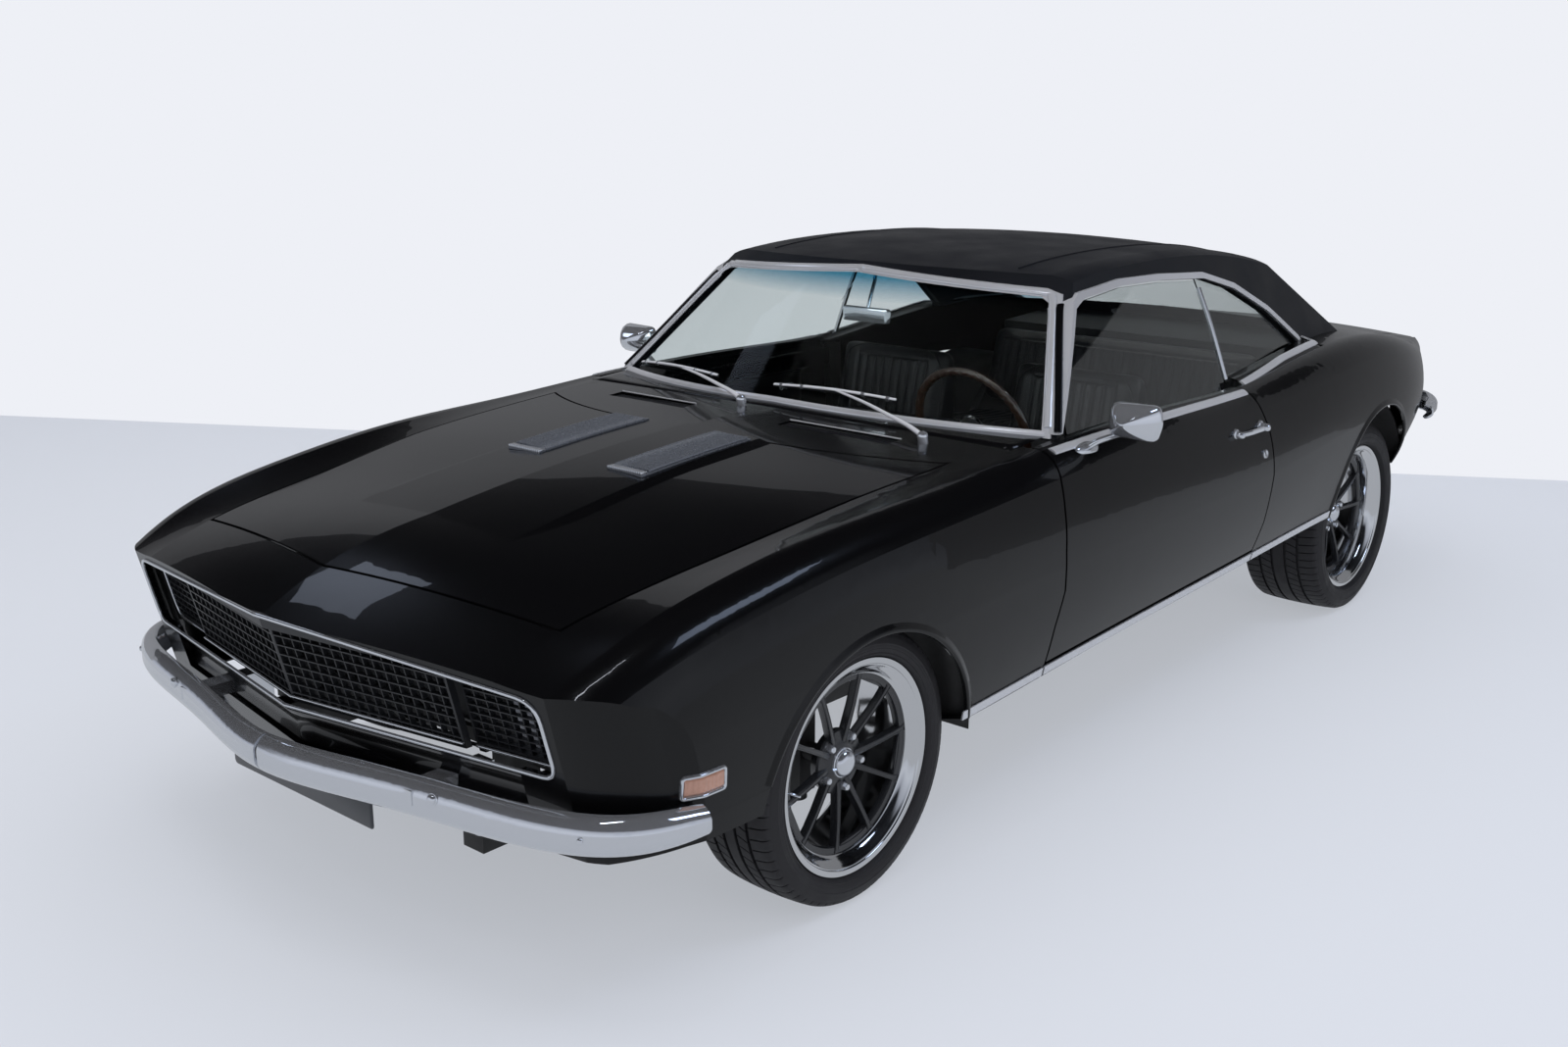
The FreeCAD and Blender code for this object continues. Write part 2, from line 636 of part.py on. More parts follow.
def build_glass(shell):
    """Windscreen, backlight, quarter windows and the two door windows."""
    sheet = glass_sheet(GLASS_INSET)
    body = body_solid(SEAT)
    screen = sheet.common(screen_opening()).cut(body)
    rear = sheet.common(backlight_opening()).cut(body)
    side = sheet.common(prism_x(SIDE_WINDOW, 480, 1000))
    door_view = [(y + GAP, z - GAP) for y, z in SIDE_WINDOW]
    door_view = [(-620, 806)] + door_view[1:-1] + [(1000, 806)]
    door = sheet.common(prism_x(door_view, 480, 1000)).common(
        box(400, 1000, -700, DOOR_GLASS_REAR_Y, 700, 1400))
    quarter_glass = side.common(box(400, 1000, DOOR_GLASS_REAR_Y + 10, 1100, 700, 1400))
    door = door.cut(prism_x([(-700, 700), (-700, 1000), (-470, 918), (-520, 700)], 400, 1000))
    door = door.cut(box(400, 1000, GLASS_CORNER_Y, 500, 700, GLASS_CORNER_Z))
    return {
        "windshield": whole(biggest(screen)),
        "rear_window": whole(biggest(rear)),
        "quarter": biggest(quarter_glass.cut(body)),
        "door": biggest(door),
    }


# ---------------------------------------------------------------- doors
def door_shell(shell):
    """Left door: outer skin with its flange, hollow inner box, slot for the glass."""
    region = prism_x(door_outline(GAP / 2), 600, 1000)
    slab = shell.outer.common(region).common(box(DOOR_INNER_X, 1000, -900, 700, 200, 1000))
    skin = slab.cut(shell.door_inner)
    casing = slab.common(prism_x(door_outline(GAP / 2 + DOOR_STEP), 600, 1000))
    door = skin.fuse(casing)
    cavity = shell.door_inner.common(prism_x(door_outline(GAP / 2 + DOOR_STEP + 10), 600, 1000))
    cavity = cavity.common(box(DOOR_INNER_X + 14, 1000, -900, 700, 200, 858))
    door = door.cut(cavity).fuse(box(742, DOOR_INNER_X + 14, -540, DOOR_GLASS_REAR_Y - 20, 796, 852))
    slot = cabin_solid(GLASS_INSET - SEAT).cut(cabin_solid(GLASS_INSET + GLASS + SEAT))
    slot = slot.common(box(600, 1000, -620, DOOR_GLASS_REAR_Y + 4, 806 - SEAT, 1000))
    latch = box(760, LATCH_X + LATCH_R + 8, 400, 480, LATCH_Z - LATCH_R - SEAT, LATCH_Z + LATCH_R + SEAT)
    return biggest(door.cut(slot).cut(latch))


RIGHT_MIRROR_SHIFT = 150.0      # the passenger's mirror stands this much further back


def door_furniture():
    """Mirror on its stalk and foot, on the left door."""
    head_y, head_z, head_x = -452.0, 946.0, 960.0
    cup = Part.makeLoft([
        in_xz([(-78, -36), (-84, 0, "arc"), (-78, 34), (76, 38), (86, 2, "arc"), (80, -34)], 0),
        in_xz([(-62, -28), (-66, 0, "arc"), (-62, 26), (60, 29), (68, 2, "arc"), (63, -26)], -42),
        in_xz([(-20, -12), (-22, 0, "arc"), (-20, 12), (20, 12), (22, 0, "arc"), (20, -12)], -78),
    ], True, True)
    hollow = Part.makeLoft([
        in_xz([(-73, -32), (-79, 0, "arc"), (-73, 30), (72, 34), (81, 2, "arc"), (75, -30)], 1),
        in_xz([(-71, -30), (-77, 0, "arc"), (-71, 28), (70, 32), (79, 2, "arc"), (73, -28)], -4),
    ], True, True)
    head = moved(cup.cut(hollow), head_x - 8, head_y, head_z)
    stalk = tube_path([(845, -492, 876), (876, -486, 900), (920, -478, 914), (946, -486, 928)],
                      7.5, 30)
    foot = prism_x([(-560, 866), (-548, 876), (-500, 884, "arc"), (-452, 876), (-440, 866),
                    (-500, 852, "arc")], 826, 862)
    return head.fuse([stalk, foot])


def handle_and_lock():
    handle = tube_path([(868, 232, 790), (912, 240, 792), (914, 300, 792), (914, 400, 791),
                        (868, 410, 789)], 8.0, 14)
    lock = cylinder((886, 398, 712), (914, 398, 712), 13)
    return handle, lock


# ---------------------------------------------------------------- wheels
def wheel_profile(half_width, lip_r):
    """Cross section of a rim: (x from the middle plane, radius), outer lip first."""
    w = half_width
    return [(w, lip_r), (w, lip_r - 9), (w - 12, lip_r - 17), (w - 40, lip_r - 30),
            (w - 70, lip_r - 36), (w - 100, lip_r - 38), (-w + 30, lip_r - 34), (-w + 12, lip_r - 20),
            (-w, lip_r - 10), (-w, lip_r), (-w + 6, lip_r), (-w + 13, lip_r - 16),
            (-w + 34, lip_r - 22), (0, lip_r - 30), (w - 90, lip_r - 30), (w - 60, lip_r - 27),
            (w - 34, lip_r - 22), (w - 13, lip_r - 16), (w - 6, lip_r)]


def revolved_x(points, centre):
    """Turn a closed (x, radius) outline about the wheel's axis."""
    cx, cy, cz = centre
    face = Part.Face(outline([(cx + p[0], cy, cz + p[1], *p[2:]) for p in points]))
    return face.revolve(Vector(*centre), Vector(1, 0, 0), 360)


def rim_half(width):
    """Half the rim's width under a tyre of one section width."""
    return width / 2 * 0.80 + 9


def tyre(centre, radius, width):
    """A low-profile tyre with a crowned tread and rounded shoulders, seated on its rim."""
    w, flange = width / 2, rim_half(width)
    bead_x, bead_r = flange - 13 - SEAT, RIM_R - 16 + SEAT
    over = RIM_R + SEAT
    sidewall = [(flange - 2, over), (w - 1, (over + radius) / 2 - 4, "arc"), (w - 12, radius - 20),
                (w - 16, radius - 8, "arc"), (w - 30, radius - 3)]
    inner = [(bead_x + 1, over), (bead_x, bead_r), (bead_x - 12, bead_r),
             (bead_x - 16, bead_r + 18)]
    flipped = [(-p[0], *p[1:]) for p in sidewall]
    flipped_inner = [(-p[0], *p[1:]) for p in inner]
    return revolved_x(flipped + [(0, radius, "arc")] + sidewall[::-1] + inner
                      + [(0, radius - 15, "arc")] + flipped_inner[::-1], centre)


def rim(centre, width, face_x):
    """Deep-lipped rim with paired spokes, hub and centre cap."""
    cx, cy, cz = centre
    barrel = revolved_x(wheel_profile(rim_half(width), RIM_R), centre)
    hub = revolved_x([(face_x - HUB_DEPTH, 0), (face_x - HUB_DEPTH, 76), (face_x - 18, 80), (face_x - 4, 58),
                      (face_x, 40), (face_x, 0)], centre)
    bars = []
    for pair in range(SPOKE_PAIRS):
        for side in (-1, 1):
            bar = one_spoke(centre, face_x, side)
            bars.append(turned(bar, centre, (1, 0, 0), 360.0 / SPOKE_PAIRS * pair))
    cap = revolved_x([(face_x - 2, 0), (face_x - 2, 33), (face_x + 14, 31), (face_x + 22, 22),
                      (face_x + 26, 0)], centre)
    body = fused([barrel, hub] + bars + [cap])
    for stud in range(5):
        angle = math.radians(90 + 72 * stud)
        y, z = cy + STUD_PCD / 2 * math.cos(angle), cz + STUD_PCD / 2 * math.sin(angle)
        pocket = cylinder((cx + face_x - 24, y, z), (cx + face_x + 30, y, z), 12.0)
        body = body.cut(pocket)
        nut = cylinder((cx + face_x - 30, y, z), (cx + face_x, y, z), 9.5)
        body = body.fuse(nut)
    return body


def one_spoke(centre, face_x, side):
    """One of a pair: a ridged bar that runs from the hub to the rim's barrel."""
    cx, cy, cz = centre
    reach = RIM_R - 33
    root, tip = side * 15.0, side * 60.0

    def slice_at(radius, across, half, crest):
        return outline([
            (cx + face_x - 34, cy + across - half, cz + radius),
            (cx + crest - 6, cy + across - half, cz + radius),
            (cx + crest, cy + across, cz + radius),
            (cx + crest - 6, cy + across + half, cz + radius),
            (cx + face_x - 34, cy + across + half, cz + radius)])
    return Part.makeLoft([slice_at(50, root, 8.5, face_x),
                          slice_at(130, (root + tip) / 2, 7.5, face_x + 11),
                          slice_at(reach, tip, 8.5, face_x + 20)], True, True)


# ---------------------------------------------------------------- nose pieces
GRILLE_SETBACK = 20.0           # fixed grille behind the nose's front edge
LAMP_DOOR_SETBACK = 42.0        # headlamp doors run behind the fixed grille
GRILLE_DEPTH = 15.0
GRILLE_ROWS, GRILLE_COLUMNS, DOOR_COLUMNS = 8, 17, 8
BAR = 3.0
LAMP_X, LAMP_Z, LAMP_R = 598.0, 590.0, 84.0


def nose_y(x, z, setback=0.0):
    """Station of the nose's front plane at one place."""
    return NOSE_Y + (700.0 - z) * NOSE_LEAN + V_SWEEP * x + setback


def grille_top(x):
    return GRILLE_TOP + 14 - 40.0 * x / GRILLE_HALF


def leaning_bar(x0, x1, z0, z1, setback, depth):
    """A bar of the grille: it follows the V in plan and leans with the nose."""
    def end(x):
        return in_yz([(nose_y(x, z0, setback), z0), (nose_y(x, z1, setback), z1),
                      (nose_y(x, z1, setback) + depth, z1),
                      (nose_y(x, z0, setback) + depth, z0)], x)
    return Part.makeLoft([end(x0), end(x1)], True, True)


def eggcrate(x0, x1, z0, z1, columns, setback):
    """A frame filled with crossing bars."""
    edge = 2 * BAR
    bars = [leaning_bar(x0, x1, z0, z0 + edge, setback, GRILLE_DEPTH),
            leaning_bar(x0, x1, z1 - edge, z1, setback, GRILLE_DEPTH),
            leaning_bar(x0, x0 + edge, z0, z1, setback, GRILLE_DEPTH),
            leaning_bar(x1 - edge, x1, z0, z1, setback, GRILLE_DEPTH)]
    for row in range(1, GRILLE_ROWS):
        z = z0 + (z1 - z0) * row / GRILLE_ROWS
        bars.append(leaning_bar(x0 + edge, x1 - edge, z - BAR / 2, z + BAR / 2, setback,
                                GRILLE_DEPTH - 2))
    for column in range(1, columns):
        x = x0 + (x1 - x0) * column / columns
        bars.append(leaning_bar(x - BAR / 2, x + BAR / 2, z0 + edge, z1 - edge, setback + 2,
                                GRILLE_DEPTH - 3))
    return fused(bars)


def grille():
    """Fixed eggcrate between the headlamp doors, both halves of the V."""
    top = grille_top(LAMP_SPLIT_X) + 6
    half = eggcrate(0, LAMP_SPLIT_X, GRILLE_LOW + SEAT, top, GRILLE_COLUMNS, GRILLE_SETBACK)
    lintel = leaning_bar(0, LAMP_SPLIT_X, top - 3, GRILLE_TOP + 30, 6, GRILLE_SETBACK)
    above = prism_y([(-5, GRILLE_TOP + 22 - SEAT), (0, GRILLE_TOP + 22 - SEAT),
                     (GRILLE_HALF - 40, GRILLE_TOP - 20 - SEAT), (GRILLE_HALF, 900), (-5, 900)],
                    -2600, -2000)
    pieces = [half, lintel]
    for z in ROD_HEIGHTS:
        pieces.append(slide_rod(z, ROD_R))
        low, high = (z - 8, GRILLE_LOW + 6) if z < 600 else (z - 8, top - 2)
        pieces.append(leaning_bar(ROD_FROM_X, ROD_FROM_X + 10, max(low, GRILLE_LOW + SEAT - 9), high,
                                  GRILLE_SETBACK + GRILLE_DEPTH - 3, ROD_SETBACK - 30))
    return whole(fused(pieces).cut(above))


ROD_R, ROD_SETBACK = 4.0, 50.0
ROD_FROM_X, ROD_TO_X = 250.0, 715.0
ROD_HEIGHTS = (495.0, 656.0)


def slide_rod(z, radius):
    """One of the two rods a headlamp door slides on, or with a larger radius its bore."""
    return cylinder((ROD_FROM_X, nose_y(ROD_FROM_X, z, ROD_SETBACK), z),
                    (ROD_TO_X, nose_y(ROD_TO_X, z, ROD_SETBACK), z), radius)


def headlamp_door():
    """Left eggcrate door that hides the headlamp and slides behind the fixed grille."""
    x0, x1 = LAMP_SPLIT_X + 6, GRILLE_HALF - 12
    z0, z1 = GRILLE_LOW + 8, grille_top(GRILLE_HALF) - 10
    door = eggcrate(x0, x1, z0, z1, DOOR_COLUMNS, LAMP_DOOR_SETBACK)
    for z in ROD_HEIGHTS:
        low, high = (z - 8, z0 + 4) if z < z0 else (z1 - 4, z + 8)
        for x in (x0 + 2, x1 - 18):
            door = door.fuse(leaning_bar(x, x + 16, low, high, LAMP_DOOR_SETBACK, GRILLE_DEPTH))
        door = door.cut(slide_rod(z, ROD_R + PIN_CLEARANCE))
    return door


def headlamp():
    """Left headlamp: bucket, chrome ring and domed lens, on its mounting panel."""
    face_y = nose_y(LAMP_X, LAMP_Z, LAMP_DOOR_SETBACK + GRILLE_DEPTH + 48)
    back_y = SUPPORT_Y - SEAT
    bucket = cylinder((LAMP_X, face_y, LAMP_Z), (LAMP_X, back_y, LAMP_Z), LAMP_R)
    dome = Part.makeSphere(260, Vector(LAMP_X, face_y + 240, LAMP_Z)).common(
        cylinder((LAMP_X, face_y - 40, LAMP_Z), (LAMP_X, face_y + 20, LAMP_Z), LAMP_R - 8))
    return bucket.fuse(dome)


SUPPORT_Y = -2020.0


def radiator_support():
    """The pressed panel that carries radiator, headlamps and nose."""
    panel = prism_y([(-716, 420), (-716, 640), (-640, 700), (640, 700), (716, 640), (716, 420)],
                    SUPPORT_Y, SUPPORT_Y + 14)
    panel = panel.cut(box(-330, 330, -2100, -1900, 450, 672))
    feet = [box(x - 40, x + 40, SUPPORT_Y, SUPPORT_Y + 60, RAIL_TOP + SEAT, 421)
            for x in (-RAIL_X, RAIL_X)]
    arms = []
    for side in (-1, 1):
        x0, x1 = sorted((side * (ROD_TO_X - 5), side * (ROD_TO_X + 1)))
        low, high = ROD_HEIGHTS[0] - 10, ROD_HEIGHTS[1] + 10
        arm = prism_x([(nose_y(ROD_TO_X, low, ROD_SETBACK - 12), low),
                       (nose_y(ROD_TO_X, high, ROD_SETBACK - 12), high),
                       (SUPPORT_Y + 1, high), (SUPPORT_Y + 1, low)], x0, x1)
        for z in ROD_HEIGHTS:
            bore = slide_rod(z, ROD_R + PIN_CLEARANCE)
            arm = arm.cut(bore if side > 0 else mirrored(bore))
        arms.append(arm)
    return fused([panel] + feet + arms)


def radiator():
    """Core, tanks and hose necks, standing on the rails."""
    core = box(-318, 318, SUPPORT_Y + 14 + SEAT, SUPPORT_Y + 66, 455, 668)
    tanks = [box(side * 318 - 30, side * 318 + 30, SUPPORT_Y + 14 + SEAT, SUPPORT_Y + 78, 440, 680)
             for side in (-1, 1)]
    shroud = cylinder((0, SUPPORT_Y + 60, 560), (0, SUPPORT_Y + 130, 560), 200)
    ring = shroud.cut(cylinder((0, SUPPORT_Y + 50, 560), (0, SUPPORT_Y + 140, 560), 192))
    return fused([core] + tanks + [ring])


BUMPER_Z, BUMPER_HALF_H = 404.0, 41.0


def bumper_profile(x, y, along, height, depth, wall):
    """Closed C section of a bumper blade, square to its run in plan."""
    out = Vector(along.y, -along.x, 0)

    def at(forward, z):
        return tuple(Vector(x, y, BUMPER_Z + z) + out * forward)
    h, d = height, depth
    return [at(0, -h), (*at(0.75 * d, -0.72 * h), "arc"), at(d, -0.3 * h), at(d, 0.3 * h),
            (*at(0.75 * d, 0.72 * h), "arc"), at(0, h), at(-wall, h - wall),
            (*at(0.62 * d - wall, 0.60 * h), "arc"), at(d - wall, 0.22 * h),
            at(d - wall, -0.22 * h), (*at(0.62 * d - wall, -0.60 * h), "arc"),
            at(-wall, wall - h)]


def blade(run):
    """A bumper blade lofted through plan stations (x, y, heading degrees), left half."""
    sections = []
    for x, y, heading, height in run:
        angle = math.radians(heading)
        along = Vector(math.cos(angle), math.sin(angle), 0)
        sections.append(outline(bumper_profile(x, y, along, height, 34.0, 5.0)))
    return Part.makeLoft(sections, True, False)


FRONT_BUMPER_RUN = ((0, -2312, 10.0, 43), (350, -2250, 10.2, 43), (620, -2198, 13, 43),
                    (760, -2152, 26, 42), (846, -2086, 52, 40), (884, -2010, 74, 36),
                    (898, -1950, 80, 30))


def front_bumper():
    """V-peaked blade with its two frame brackets."""
    half = blade(FRONT_BUMPER_RUN).common(box(0, 1200, -2600, -1800, 100, 900))
    x0, x1 = RAIL_X - 25, RAIL_X + 25
    face = -2312 + 0.177 * RAIL_X - 30              # inside the blade's front wall
    arm = box(x0, x1, face, FRAME_FRONT_Y + 44, VALANCE_TOP + 4, VALANCE_TOP + 34)
    foot = box(x0, x1, FRAME_FRONT_Y + 4, FRAME_FRONT_Y + 44, RAIL_TOP + SEAT, VALANCE_TOP + 10)
    return whole(fused([half, arm, foot]))


REAR_BUMPER_Z = 590.0
REAR_BUMPER_RUN = ((0, 2296, 0, 40), (330, 2290, -3, 40), (560, 2262, -10, 40),
                   (676, 2230, -26, 38), (748, 2164, -58, 35), (784, 2060, -74, 30),
                   (806, 1980, -78, 26))


def rear_bumper():
    """Wrap-round rear blade with its brackets."""
    sections = []
    for x, y, heading, height in REAR_BUMPER_RUN:
        angle = math.radians(heading)
        along = Vector(-math.cos(angle), -math.sin(angle), 0)
        points = bumper_profile(x, y, along, height, 30.0, 5.0)
        sections.append(moved(outline(points), z=REAR_BUMPER_Z - BUMPER_Z))
    half = Part.makeLoft(sections, True, False).common(box(0, 1200, 1800, 2600, 100, 900))
    bracket = box(RAIL_X - 22, RAIL_X + 22, 2190, 2302, REAR_BUMPER_Z - 18, REAR_BUMPER_Z + 18)
    return whole(biggest(half.fuse(bracket).cut(body_solid(SEAT, -SEAT))))


# ---------------------------------------------------------------- chassis
RAIL_X = 405.0
RAIL_TOP = 330.0
RAIL_H, RAIL_W = 92.0, 64.0
FRAME_FRONT_Y = -2110.0
FRAME_REAR_Y = -560.0
LOWER_BALL_Z, UPPER_BALL_Z = 206.0, 430.0
TIE_Y = FRONT_AXLE_Y + 132.0


def front_subframe():
    """Bolt-on front frame with its crossmember, towers, control arms and steering box."""
    pieces = []
    for side in (-1, 1):
        x = side * RAIL_X
        pieces.append(box(x - RAIL_W / 2, x + RAIL_W / 2, FRAME_FRONT_Y, FRAME_REAR_Y,
                          RAIL_TOP - RAIL_H, RAIL_TOP))
        tower = prism_x([(FRONT_AXLE_Y - 95, RAIL_TOP - 6), (FRONT_AXLE_Y - 70, 560),
                         (FRONT_AXLE_Y + 70, 560), (FRONT_AXLE_Y + 95, RAIL_TOP - 6)],
                        x - 26, x + 26)
        pieces.append(tower)
        for z, reach in ((LOWER_BALL_Z, KINGPIN_X), (UPPER_BALL_Z, KINGPIN_X - 22)):
            arm = prism_z([(x - side * 30, FRONT_AXLE_Y - 105), (x - side * 30, FRONT_AXLE_Y + 105),
                           (x + side * 20, FRONT_AXLE_Y + 105), (side * (reach - 14), FRONT_AXLE_Y + 24),
                           (side * (reach + 12), FRONT_AXLE_Y, "arc"),
                           (side * (reach - 14), FRONT_AXLE_Y - 24), (x + side * 20, FRONT_AXLE_Y - 105)],
                          z - 11, z + 11)
            window = prism_z([(x + side * 40, FRONT_AXLE_Y - 62), (x + side * 40, FRONT_AXLE_Y + 62),
                              (side * (reach - 70), FRONT_AXLE_Y + 18),
                              (side * (reach - 70), FRONT_AXLE_Y - 18)], z - 20, z + 20)
            pieces.append(arm.cut(window))
        pieces.append(box(min(x, x + side * 60), max(x, x + side * 60), FRONT_AXLE_Y - 60,
                          FRONT_AXLE_Y + 60, LOWER_BALL_Z - 11, RAIL_TOP - RAIL_H + 5))
    pieces.append(box(-RAIL_X, RAIL_X, FRONT_AXLE_Y - 90, FRONT_AXLE_Y + 90, 190, 262))
    pieces.append(box(-RAIL_X, RAIL_X, FRAME_REAR_Y - 60, FRAME_REAR_Y - 10, 262, 290))
    return fused(pieces)


def knuckle():
    """Left steering knuckle: upright, spindle, steering arm and brake caliper."""
    y, z = FRONT_AXLE_Y, FRONT_TYRE_R
    low, high = LOWER_BALL_Z + 11 + SEAT, UPPER_BALL_Z - 11 - SEAT
    upright = box(KINGPIN_X - 22, KINGPIN_X + 20, y - 26, y + 26, low, high)
    spindle = cylinder((KINGPIN_X, y, z), (FRONT_WHEEL_X + FRONT_FACE - HUB_DEPTH - SEAT, y, z), SPINDLE_R)
    arm = prism_z([(KINGPIN_X - 20, y + 10), (KINGPIN_X + 16, y + 10),
                   (KINGPIN_X - 4, TIE_Y + 8), (KINGPIN_X - 22, TIE_Y + 20, "arc"),
                   (KINGPIN_X - 40, TIE_Y + 8)], 246, 266)
    return fused([upright, spindle, arm])


def tie_rods():
    """Relay rod and both outer rods, which slide across the car together."""
    z = 246 - SEAT
    eyes = [cylinder((s * (KINGPIN_X - 22), TIE_Y, z - 36), (s * (KINGPIN_X - 22), TIE_Y, z), 13)
            for s in (-1, 1)]
    bar = cylinder((-(KINGPIN_X - 22), TIE_Y, z - 24), (KINGPIN_X - 22, TIE_Y, z - 24), 10)
    return fused([bar] + eyes)


def engine():
    """The engine as one block with its gearbox, on the crossmember."""
    block = box(-250, 250, -1790, -1180, 300, 640)
    pan = box(-140, 140, -1720, -1330, 262 + SEAT, 310)
    gearbox = box(-130, 130, -1190, -840, 290, 470).fuse(box(-80, 80, -850, -560.5, 300, 425))
    lid = box(-170, 170, -1700, -1300, 630, 700)
    cleaner = cylinder((0, -1500, 690), (0, -1500, 770), 175)
    return fused([block, pan, gearbox, lid, cleaner])


def rear_axle():
    """Banjo axle with its tubes, leaf springs and propeller shaft."""
    y, z = REAR_AXLE_Y, REAR_TYRE_R
    tubes = cylinder((-REAR_HUB_X, y, z), (REAR_HUB_X, y, z), 38)
    bowl = Part.makeSphere(135, Vector(0, y, z)).common(box(-120, 120, y - 150, y + 118, z - 140, z + 140))
    nose = Part.makeCone(85, 45, 150, Vector(0, y - 110, z), Vector(0, -1, 0))
    shaft = cylinder((0, y - 250, z), (0, -559.0, 372), 36)
    pieces = [tubes, bowl, nose, shaft]
    for side in (-1, 1):
        x = side * SPRING_X
        leaf = prism_x([(y - 640, 366), (y, z - 62, "arc"), (y + 700, 420), (y + 700, 404),
                        (y, z - 78, "arc"), (y - 640, 350)], x - 30, x + 30)
        pad = box(x - 34, x + 34, y - 60, y + 60, z - 64, z)
        shackle = box(x - 22, x + 22, y + 676, y + 700, 410, FLOOR_REAR_Z - 10 - SEAT)
        hanger = box(x - 22, x + 22, y - 640, y - 610, 352, raked(y - 625, FLOOR_Z) - 10 - SEAT)
        pieces += [leaf, pad, shackle, hanger]
    return fused(pieces)


SPRING_X = 520.0
FLOOR_Z = 372.0                 # floor's top at y = 0
FLOOR_REAR_Z = 500.0
FLOOR_HALF = 770.0
TUNNEL_TOP = 508.0


def floor_pan():
    """Firewall, floor, tunnel and boot floor, pressed as one."""
    top = [(-800, 862), (-790, 520), (-620, raked(-620, FLOOR_Z)), (640, raked(640, FLOOR_Z)),
           (720, 500), (1010, 520), (1120, 640), (1560, 640), (1640, FLOOR_REAR_Z),
           (2210, FLOOR_REAR_Z)]
    low = [(y - 8 if y < -600 else y, z - 10) for y, z in top]
    low[0] = (-812, 862)
    low[1] = (-802, 516)
    sheet = prism_x(top + low[::-1], -FLOOR_HALF, FLOOR_HALF)
    tunnel_out = prism_y(tunnel_arch(0.0), -795, 700)
    tunnel_in = prism_y(tunnel_arch(10.0), -900, 760)
    below = prism_x([(y, z) for y, z in top] + [(2210, 100), (-830, 100), (-830, 862)], -400, 400)
    pan = sheet.fuse(tunnel_out.cut(below)).cut(tunnel_in)
    wells = []
    for side in (-1, 1):
        wells.append(cylinder((side * 540, REAR_AXLE_Y, REAR_TYRE_R + 20),
                              (side * 900, REAR_AXLE_Y, REAR_TYRE_R + 20), 388))
    for well in wells:
        pan = pan.cut(well)
    for sign in (-1, 1):                # room for the door's low corner, ahead of its hinge
        x0, x1 = sorted((sign * (FLOOR_HALF - 18), sign * (FLOOR_HALF + 30)))
        pan = pan.cut(box(x0, x1, -730, DOOR_HINGE_Y - 5, 300, 480))
    side = body_solid(-PANEL - SEAT, FRONT_WALL + SEAT)
    return biggest(pan.common(side.fuse(mirrored(side)))
                   .fuse(hood_brackets()))


def wheel_housings():
    """Inner wings over the front wheels and tubs over the rear ones."""
    out = []
    rail_side = RAIL_X + RAIL_W / 2 + SEAT
    for y, z, r, x0, x1 in ((FRONT_AXLE_Y, FRONT_TYRE_R, 398, rail_side, 840),
                            (REAR_AXLE_Y, REAR_TYRE_R + 20, 387, 546, 838)):
        arch = cylinder((x0, y, z), (x1, y, z), r).cut(cylinder((x0 + 6, y, z), (x1 + 9, y, z), r - 6))
        low = box(0, 1000, y - 500, y + 500, -200, z + 95).cut(
            box(0, x0 + 6, y - 390, y - 200, z - 40, z + 100))
        arch = arch.cut(low).common(body_solid(-PANEL - SEAT, FRONT_WALL))
        arch = arch.cut(box(x0 - 5, x0 + 10, y - 130, y + 130, 300, 480))
        out.append(biggest(arch))
    return both_sides(out)


LATCH_X, LATCH_Z, LATCH_R = 818.0, 610.0, 8.0


def door_frames():
    """Hinge pillar, inner sill and lock pillar round each door opening."""
    front = shifted(FRONT_SEAM, -GAP - 9)
    rear = shifted(REAR_SEAM, GAP + 9)
    hinge = prism_x([(front[1][0] - 90, 858), (front[1][0], 858)]
                    + [p for p in front if 380 < p[1] < 858]
                    + [(front[-2][0], 300), (front[-2][0] - 60, 300)], 776, 850)
    lock = prism_x([(rear[-2][0] + 80, 858), (rear[-2][0] + 80, 560), (rear[0][0] + 50, 330),
                    (rear[0][0], 330)] + [p for p in rear if 380 < p[1] < 858]
                   + [(rear[-2][0], 858)], 776, 850)
    y0, y1 = front[-2][0] - 60, rear[0][0] + 50
    sill = prism_x([(y0, raked(y0, SILL_Z) - 70), (y0, raked(y0, SILL_Z) - 9),
                    (y1, raked(y1, SILL_Z) - 9), (y1, raked(y1, SILL_Z) - 70)], 771, 850)
    pillar_y = seam_y(rear, LATCH_Z)
    striker = cylinder((LATCH_X, pillar_y - 46, LATCH_Z), (LATCH_X, pillar_y + 5, LATCH_Z), LATCH_R)
    inside = body_solid(-PANEL - SEAT)
    frame = fused([hinge, sill, lock, striker]).common(inside)
    return biggest(frame)


def exhaust():
    """Twin pipes with silencers under the floor and out at the tail."""
    pipe = tube_path([(186, -1180 + SEAT, 330), (186, -1080, 330), (200, -900, 228), (210, -300, 236),
                      (210, 500, 270),
                      (250, 900, 330), (330, 1130, 470), (330, 1540, 470), (400, 1760, 392),
                      (470, 2230, 376)], 27, 90)
    silencer = box(150, 280, -60, 420, 216, 306)
    tip = cylinder((470, 2150, 376), (470, 2290, 376), 33).cut(
        cylinder((470, 2232, 376), (470, 2300, 376), 29))
    return fused([pipe, silencer, tip])


def fuel_tank():
    return box(-282, 282, 1660, 2120, 290, FLOOR_REAR_Z - 10 - SEAT)


# ---------------------------------------------------------------- interior
WHEEL_CENTRE = (336.0, -262.0, 815.0)
COLUMN_TILT = 20.0


def along_column(distance):
    """A point on the steering column, measured back from the wheel's centre."""
    tilt = math.radians(COLUMN_TILT)
    x, y, z = WHEEL_CENTRE
    return (x, y - distance * math.cos(tilt), z - distance * math.sin(tilt))


